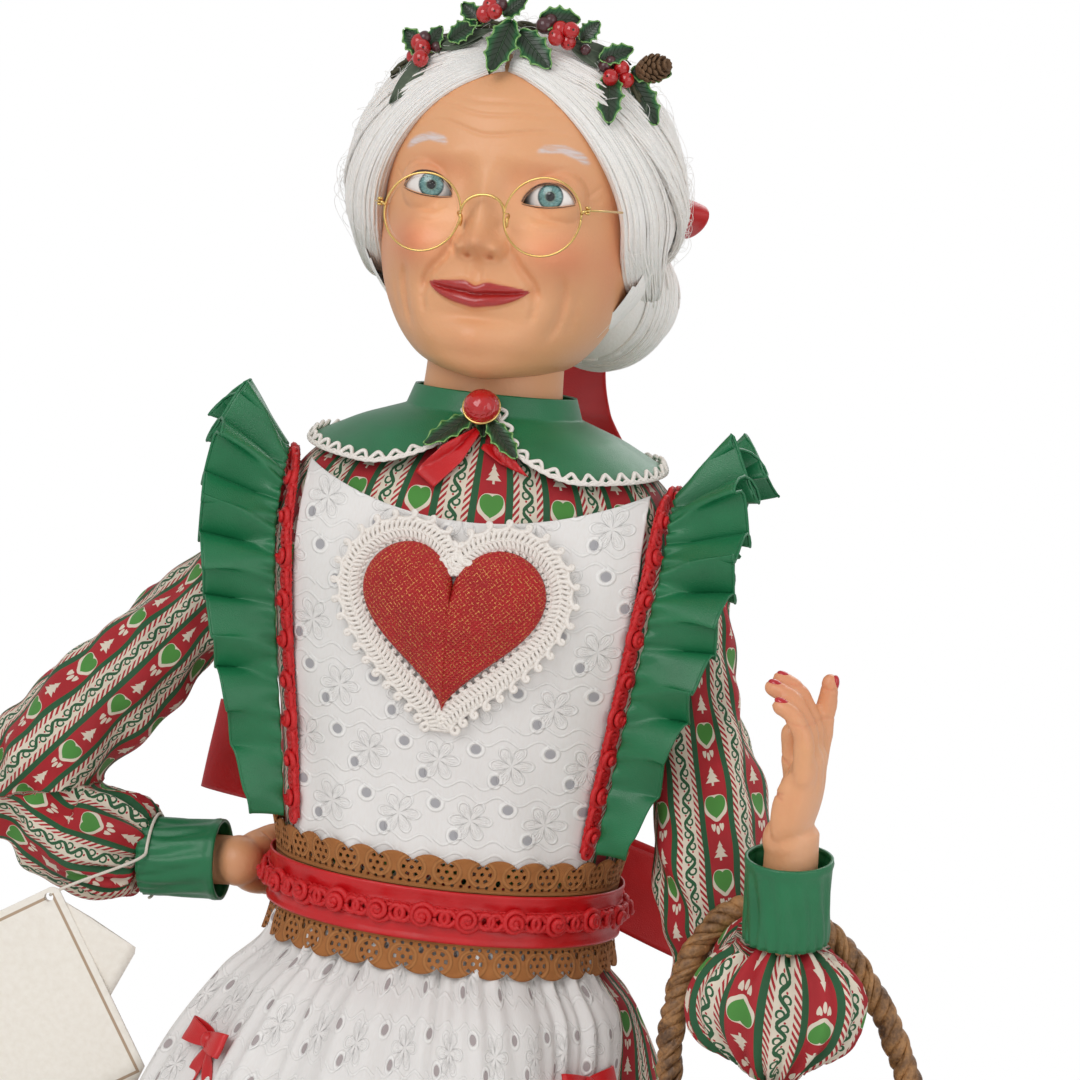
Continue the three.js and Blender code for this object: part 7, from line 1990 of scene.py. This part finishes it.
line = np.array([crown_point(share * WREATH_REACH, VINE_RADIUS) for share in np.linspace(-1, 1, 90)])
line = np.array([line[max(0, i - 3):i + 4].mean(0) for i in range(90)])
vine = Piece()
for ply in range(3):
    spin = np.linspace(0, 36, 90)[:, None] + ply * 2.1
    vine.tube(in_head(line + 0.0010 * np.concatenate([0 * spin, np.cos(spin), np.sin(spin)], 1)), 0.00075, 6)
bark = flecked("vine_bark", 500, 3, (0.025, 0.030, 0.016), (0.11, 0.10, 0.05), 0.0004, Roughness=0.75)
vine.object("wreath_vine", bark, "head", "holly", ["wreath_holly"])

random = np.random.default_rng(5)
leaves = Piece()
for leaf in HOLLY:
    add_leaf(leaves, leaf, random.uniform(3.0, 4.5), random.uniform(0.3, 0.6), random.uniform(0.02, 0.14))
leaves.points = [in_head(points) for points in leaves.points]
leaves.object("wreath_leaves", leaf_cloth, "head", "holly")
sage = Finish("sage_leaf", Roughness=0.7)
u, v, _ = sage.split(sage.attribute("cloth"))
fleck = sage.noise(sage.place(), 320, 3)
sage.set("Base Color", sage.mix(fleck * 0.6 + sage.ease(abs(v), 0.0, 0.1, 0.4, 0.0), (0.040, 0.062, 0.040),
    (0.17, 0.21, 0.14)))
sage.bump(fleck, 0.0003)
thin = Piece()
for leaf in SAGE:
    add_leaf(thin, leaf, random.uniform(1.8, 2.8), 0, 0)
thin.points = [in_head(points) for points in thin.points]
thin.object("wreath_sage", sage, "head", "holly")

berries = Piece()
stems = Piece()
caps = Piece()
for cluster in CLUSTERS:
    foot = on_crown(*np.mean(cluster, 0), 1.5)
    for k, (x, z) in enumerate(cluster):
        spot = on_crown(x, z, 6.0 + 1.8 * (k % 2))
        size = BERRY_RADIUS * random.uniform(0.9, 1.05)
        berries.ball(in_head(spot), size, 26, 18, (1, 1, random.uniform(0.98, 1.12)))
        tip_way = unit(spot - foot + random.normal(0, 0.002, 3))
        caps.ball(in_head(spot + tip_way * size * 0.93), size * 0.16, 8, 6)
        stems.tube(in_head(bezier([foot, foot + (0, -0.002, 0.001), spot], np.linspace(0, 1, 12))), 0.00035,
            5)
berries.object("wreath_berries", berry_red, "head", "berry",
    ["berries_outer_right", "berries_top", "berries_outer_left"])
dark_berry = Finish("dark_berry", Roughness=0.25, Coat_Weight=0.4)
bloom = dark_berry.noise(dark_berry.place(), 260, 3)
dark_berry.set("Base Color", dark_berry.mix(bloom, (0.030, 0.006, 0.010), (0.11, 0.030, 0.035)))
dark_berry.set("Roughness", bloom * 0.3 + 0.15)
dark = Piece()
for x, z, size in DARK_BERRIES:
    spot = on_crown(x, z, 4.5)
    dark.ball(in_head(spot), size / 1000, 20, 14)
    stems.tube(in_head(bezier([on_crown(x * 0.95, z * 0.96, 1), spot], np.linspace(0, 1, 6))), 0.0003, 5)
dark.object("wreath_dark_berries", dark_berry, "head", "berry")
stems.object("berry_stems", bark, "head", "holly")
caps.object("berry_tips", lash_paint, "head", "berry")

cone_bark = flecked("cone_scales", 420, 3, (0.045, 0.020, 0.008), (0.24, 0.13, 0.06), 0.0004, Roughness=0.7)
cone = Piece()
foot = on_crown(45, 55.5, 3.5)
out = unit(np.array([0.85, -0.45, 0.25]))
place, turned = basis(foot, out, np.array([0, 0, 1.0]))
for ring_row in range(CONE_ROWS):
    share = ring_row / (CONE_ROWS - 1)
    radius = CONE_HALF * math.sin(math.pi * (0.22 + 0.70 * share)) ** 0.8
    for k in range(CONE_SCALES):
        spin = (k + 0.5 * (ring_row % 2)) / CONE_SCALES * 2 * math.pi
        local = np.array([0.0012 + 0.0105 * share, radius * math.cos(spin), radius * math.sin(spin)])
        tilt = np.array([[0.86, 0.5 * math.cos(spin), 0.5 * math.sin(spin)],
            [0, -math.sin(spin), math.cos(spin)], [-0.5, 0.86 * math.cos(spin), 0.86 * math.sin(spin)]])
        shape_turn = tilt @ turned
        cone.ball(in_head(place + local @ turned), 1.0, 8, 6, (0.0016, 0.0014, 0.0005),
            shape_turn @ np.eye(3))
cone.tube(in_head(np.linspace(foot, foot + out * CONE_LENGTH, 8)),
    np.array([0.0030, 0.0038, 0.0040, 0.0038, 0.0034, 0.0028, 0.0020, 0.0008]), 12)
cone.object("wreath_cone", cone_bark, "head", "holly")

# Basket: twisted brown vine over a woven willow bowl, hung by its handle on the raised forearm.
# The rim is a thick border of the same vine, bound where the handle joins it.
BASKET_HALF = (0.054, 0.036)
BASKET_DEEP = 0.052
BASKET_TABLE = [(0, 0.72), (0.12, 0.82), (0.5, 0.93), (1, 1)]
BASKET_LEAN = math.radians(17.5)
HANDLE_HEIGHT = 0.092
HANDLE_RADIUS = 0.005

lean_out = np.array([math.cos(BASKET_LEAN), 0, math.sin(BASKET_LEAN)])
lean_up = np.array([-math.sin(BASKET_LEAN), 0, math.cos(BASKET_LEAN)])
forearm_way = unit(LEFT_WRIST - LEFT_ELBOW)
slope = lean_up.dot(forearm_way) / forearm_way[1]
basket_top = (0.014 + HANDLE_RADIUS + 0.0007) * math.sqrt(1 + slope**2)
basket_origin = (LEFT_ELBOW + (LEFT_WRIST - LEFT_ELBOW) * 0.42 + lean_up * (basket_top - HANDLE_HEIGHT)
    + lean_out * 0.004)


def in_basket(points):
    points = np.asarray(points, float)
    return (basket_origin + points[..., :1] * lean_out + points[..., 1:2] * (0, 1, 0) + points[..., 2:]
        * lean_up)


willow = Finish("brown_willow", Roughness=0.55, Coat_Weight=0.18, Coat_Roughness=0.4)
streak = willow.noise(willow.place(), 150, 4)
fibre = willow.noise(willow.place(), 900, 3)
bark = willow.mix(willow.ease(streak * 0.7 + fibre * 0.3, 0.25, 0.75), (0.060, 0.024, 0.008),
    (0.52, 0.26, 0.095))
willow.set("Base Color", bark)
willow.set("Roughness", streak * 0.3 + 0.35)
willow.bump(streak * 0.5 + fibre, 0.0006)


def basket_ring(turn, share, grow):
    width = smooth_read(BASKET_TABLE, share)[0]
    return abreast((BASKET_HALF[0] * width + grow) * np.cos(turn),
        (BASKET_HALF[1] * width + grow) * np.sin(turn), BASKET_DEEP * (share - 1))


STAKES = 34
rows = 17
bowl = Piece()
turn = np.linspace(0, 2 * np.pi, 281)
for row in range(rows):
    share = np.full(281, 0.045 + 0.90 * row / (rows - 1))
    way = 1 if row % 2 else -1
    weave = way * 0.00125 * np.cos(turn * STAKES / 2)
    bowl.tube(in_basket(basket_ring(turn, share, weave - 0.0021)), 0.00165, 7)
for k in range(STAKES):
    spin = (k + 0.0) / STAKES * 2 * np.pi
    share = np.linspace(0.0, 1.0, 26)
    bowl.tube(in_basket(basket_ring(np.full(26, spin), share, -0.0021)), 0.00125, 6)
for k in range(6):
    size = 0.10 + 0.15 * k
    ring = basket_ring(turn, np.zeros(281), 0) * (size, size, 1) + (0, 0, 0.0016)
    bowl.tube(in_basket(ring + abreast(0, 0, 0.0010 * np.cos(turn * 12 + k * np.pi))), 0.0026, 7)
for k in range(17):
    spin = k / 17 * np.pi
    ends = (np.linspace(-0.98, 0.98, 14)[:, None] * basket_ring(np.array([spin]), np.array([0.0]), 0)
        * (1, 1, 0) + (0, 0, -BASKET_DEEP + 0.0016))
    bowl.tube(in_basket(ends), 0.0012, 6)
bowl.object("basket_weave", willow, "basket", "willow", ["basket_bowl"])
border = Piece()
for ply in range(3):
    phase = turn * 13 + ply * 2 * np.pi / 3
    path = (basket_ring(turn, np.ones(281), -0.0007 + 0.0019 * np.cos(phase))
        + abreast(0, 0, 0.0019 * np.sin(phase) + 0.0002))
    border.tube(in_basket(path), 0.00215, 8)
for ply in range(2):
    phase = turn * 15 + ply * np.pi
    path = (basket_ring(turn, np.full(281, 0.03), -0.0018 + 0.0015 * np.cos(phase))
        + abreast(0, 0, 0.0013 * np.sin(phase) + 0.0006))
    border.tube(in_basket(path), 0.0018, 7)
border.object("basket_border", willow, "basket", "willow")

half = BASKET_HALF[0] - 0.0036 - HANDLE_RADIUS - 0.0014
foot = BASKET_DEEP * 0.45
knots = [(-half * 0.93, 0, -foot), (-half, 0, -foot * 0.3)]
for k in range(1, 24):
    angle = np.pi * (1 - k / 24)
    knots.append((half * math.cos(angle), 0, HANDLE_HEIGHT * math.sin(angle) ** 0.9))
knots += [(half, 0, -foot * 0.3), (half * 0.93, 0, -foot)]
line, length = resample(knots, 420)
line = np.array([line[max(0, i - 6):i + 7].mean(0) for i in range(420)])
handle = Piece()
vines = ((3, 0.0024, 0.0024, 17, 0.0), (1, 0.0005, 0.0030, 4, 0.0), (2, 0.0040, 0.0011, 9, 1.1))
for plies, off, thick, turns, lag in vines:
    for ply in range(plies):
        spin = np.linspace(0, turns * 2 * np.pi, 420)[:, None] + ply * 2 * np.pi / plies + lag
        knotty = 1 + 0.20 * np.sin(np.linspace(0, 47, 420) + ply * 2.3) * np.sin(np.linspace(0, 9, 420) + ply)
        path = (line + off * (np.cos(spin) * (0, 1, 0) + np.sin(spin)
            * np.cross(frames_along(line, np.tile((0, 1.0, 0), (420, 1)))[0], (0, 1.0, 0))))
        handle.tube(in_basket(path), thick * knotty, 8)
handle.object("basket_handle_vine", willow, "basket", "willow", ["basket_handle"])
lashing = Piece()
for sign in (-1, 1):
    for k in range(7):
        ring = np.linspace(0, 2 * np.pi, 33)
        place = np.array([sign * (half - 0.0002), 0, -0.0075 + k * 0.0016])
        loop = (place + abreast(0.0072 * np.cos(ring) + sign * 0.0036, 0.0066 * np.sin(ring),
            0.0007 * np.sin(ring + k)))
        lashing.tube(in_basket(loop), 0.00085, 6)
lashing.object("basket_lashing", willow, "basket", "willow")

# Back bow: wide red satin ribbon tied over the waistband behind, with two tails down the gown.
# It is one ribbon folded into two loops round a tight knot.
SASH_WIDTH = 0.032
SASH_LOOP = 0.102
SASH_ROOT = np.array([0, 0.0604, 0.496])

sash = Piece()
for sign, reach in ((1, (SASH_LOOP - 0.004, 0.006, -0.034)), (-1, (-SASH_LOOP - 0.008, 0.014, 0.012))):
    bow_loop(sash, SASH_ROOT, reach, (0, 0.0088, 0), SASH_WIDTH * 1.12, 0.0007, pinch=0.30, twist=0.12 * sign)
sash.ball(SASH_ROOT, 0.0066, 24, 16, (1.0, 0.9, 1.35))
ring = np.linspace(0, 2 * np.pi, 40)
for lag in (-0.6, 0.0, 0.7):
    fold = (SASH_ROOT + abreast(0.0058 * np.cos(ring), 0.0058 * np.sin(ring),
        0.0066 * lag + 0.0010 * np.sin(ring * 2)))
    sash.tube(fold, 0.0006, 6)
sash = sash.object("sash_bow_satin", red_satin, "figure", "red_satin", ["sash_bow"])
for name, sign in (("left", 1), ("right", -1)):
    u, v = np.meshgrid(np.linspace(-0.5, 0.5, 31), np.linspace(0, 1, 120))
    low = 0.52 if sign > 0 else 0.46
    share = -0.045 + (low + 0.045) * v
    reach = HEM_HALF[1] * (0.42 + 0.38 * v)
    narrow = 0.42 + 0.58 * rise(v, 0.0, 0.22)
    angle = np.pi / 2 - sign * (np.radians(19 + 24 * v) + (u * SASH_WIDTH * narrow) / reach)
    over = 1 - rise(share, 0.03, 0.12)
    notch = 0.030 * np.abs(u) * rise(v, 0.9, 1.0)
    standoff = (0.0046 + (0.0071 + 0.0018) * over + 0.0014 * np.sin(v * 8 + u * 5 * (1 - v)) * v + 0.0012
        * np.sin(u * 15) * (1 - narrow))
    shape = skirt_point(angle, share + notch, standoff)
    tail = Piece().sheet(shape, 0.0007).object(f"sash_tail_satin_{name}", red_satin, "figure", "red_satin",
        [f"sash_tail_{name}"])
    across = np.linalg.norm(np.diff(shape, axis=1), axis=-1).sum(1).mean()
    along = np.linalg.norm(np.diff(shape, axis=0), axis=-1).sum(0).mean()

# Apron bows: small red satin bows stitched to the apron at each side, with short tails.
# They are tied from narrow ribbon and lie on the cloth.
for name, sign in (("left", 1), ("right", -1)):
    angle = -np.pi / 2 + sign * math.radians(52)
    out = unit(np.array([math.cos(angle), math.sin(angle), 0.3]))
    side = np.array([-math.sin(angle), math.cos(angle), 0])
    outside = 0.0024 + 0.002 * 0.5 + 0.00035
    seat = skirt_point(np.array(angle), np.array(0.125), outside)
    highest = max(float((skirt_point(np.array(angle + math.radians(k)), np.array(0.125), outside)
        - seat) @ out) for k in (-8, -4, 0, 4, 8))
    root = seat + out * (highest + 0.0034 * 0.6)
    bow = Piece()
    for way in (1, -1):
        bow_loop(bow, root, side * way * 0.0135 + out * 0.0022 + np.array([0, 0, 0.001]), out * 0.0026,
            0.0095, 0.0005, twist=0.15 * way)
        u, v = np.meshgrid(np.linspace(-0.5, 0.5, 11), np.linspace(0, 1, 26))
        spread = (0.35 + 0.65 * v) * 0.0080
        notch = 0.35 * np.abs(u) * rise(v, 0.85, 1.0)
        shape = (root + side * (way * 0.0078 * v + u * spread)[..., None] + out
            * (0.0052 * v - 0.0018 * v * v + 0.0007 * np.sin(v * 6 + u * 4))[..., None])
        shape = shape + np.array([0, 0, -0.0195]) * (v * (1 - 0.3 * notch))[..., None]
        bow.sheet(shape, 0.0005)
    bow.ball(root + out * 0.0006, 0.0031, 16, 12, (1, 1, 1.1))
    bow = bow.object(f"apron_bow_satin_{name}", red_satin, "figure", "red_satin", [f"apron_bow_{name}"])

# Swing tags: two blank cream cards, the larger one with a tan printed border, on a fine cord that is
# looped round the right cuff.
TAG_PLACE = RIGHT_WRIST + np.array([-0.022 * 1.33, 0, -0.014])
TAG_PLACE[1] = -0.024
TAG_TILT = math.radians(32)
CARE_TILT = math.radians(-24)
TAG = (0.060, 0.080)
CARE_TAG = (0.030, 0.042)

card = Finish("cream_card", Roughness=0.62)
u, v, width = card.split(card.attribute("cloth"))
fibre = card.noise(card.place(), 420, 4)
stock = card.mix(fibre, (0.79, 0.73, 0.64), (0.90, 0.86, 0.79))
inset = (TAG[0] * 500 - abs(u)).fn("MINIMUM", TAG[1] * 500 - abs(v))
framed = card.ease(abs(inset - 3.1), 0.45, 0.65, 1.0, 0.0) * (width > 0.5)
card.set("Base Color", card.mix(framed * 0.8, stock, (0.33, 0.19, 0.085)))
card.bump(fibre, 0.0002)
for name, (wide, tall), depth, lean, corner_side in (("swing", TAG, 0.0, TAG_TILT, 1),
    ("care", CARE_TAG[::-1], 0.00135, CARE_TILT, -1)):
    tilt = np.array([[math.cos(lean), 0, math.sin(lean)], [0, 1, 0], [-math.sin(lean), 0, math.cos(lean)]])
    hole = np.array([corner_side * 0.42 * wide, 0.46 * tall])
    ring = np.linspace(0, 2 * np.pi, 96, endpoint=False)
    corner = 0.0035
    edge = []
    for spin in ring:
        way = np.array([math.cos(spin), math.sin(spin)])
        limit = np.array([wide / 2 - corner, tall / 2 - corner])
        low, high = 0.0, 0.2
        for _ in range(24):
            middle = (low + high) / 2
            over = np.maximum(np.abs(hole + way * middle) - limit, 0)
            low, high = (middle, high) if np.hypot(*over) < corner else (low, middle)
        edge.append(hole + way * low)
    edge = np.array(edge)
    rim = hole + 0.0017 * abreast(np.cos(ring), np.sin(ring))
    share = np.linspace(0, 1, 12)[:, None, None] ** 1.2
    flat = rim[None] * (1 - share) + edge[None] * share
    curl = 0.0012 * (flat[..., 0] / wide * 2) ** 2 + 0.0006 * np.sin(flat[..., 1] * 40)
    place = abreast(flat[..., 0] - hole[0], curl - curl[0, 0], flat[..., 1] - hole[1])
    marks = abreast(flat[..., 0] * 1000, flat[..., 1] * 1000,
        np.full(flat.shape[:2], 1.0 if name == "swing" else 0.0))
    shape = TAG_PLACE + (place + (0, depth, 0)) @ tilt
    tag = Piece().sheet(shape, 0.0008, marks, around=True)
    tag.object(f"{name}_tag_card", card, "right_forearm", "card", [f"{name}_tag"])

tag_thread = flecked("tag_thread", 1500, 2, (0.58, 0.52, 0.43), (0.83, 0.78, 0.70), 0.0003, Roughness=0.8)
neck = RIGHT_WRIST + RIGHT_CUFF_WAY * 0.0028
around = CUFF_RADIUS + 0.0016
spin = np.linspace(0.08 * np.pi, 1.55 * np.pi, 60)
loop = neck + abreast(0, -around * np.cos(spin), around * np.sin(spin))
start = TAG_PLACE + (0.0, 0.0022, 0.0004)
under = TAG_PLACE + (0.0, -0.0012, 0.0004)
lead = [start, under, under + (0.004, 0.0, 0.006), loop[0] + (0, -0.004, -0.004), loop[0]]
lead = bezier(lead, np.linspace(0, 1, 30))[:-1]
cord_line = np.concatenate([lead, loop])
cord_line, cord_length = resample(cord_line, 150)
cord = Piece().tube(cord_line, 0.0006, 8).object("tag_cord_thread", tag_thread, "right_forearm", "tag_cord",
    ["tag_cord"])
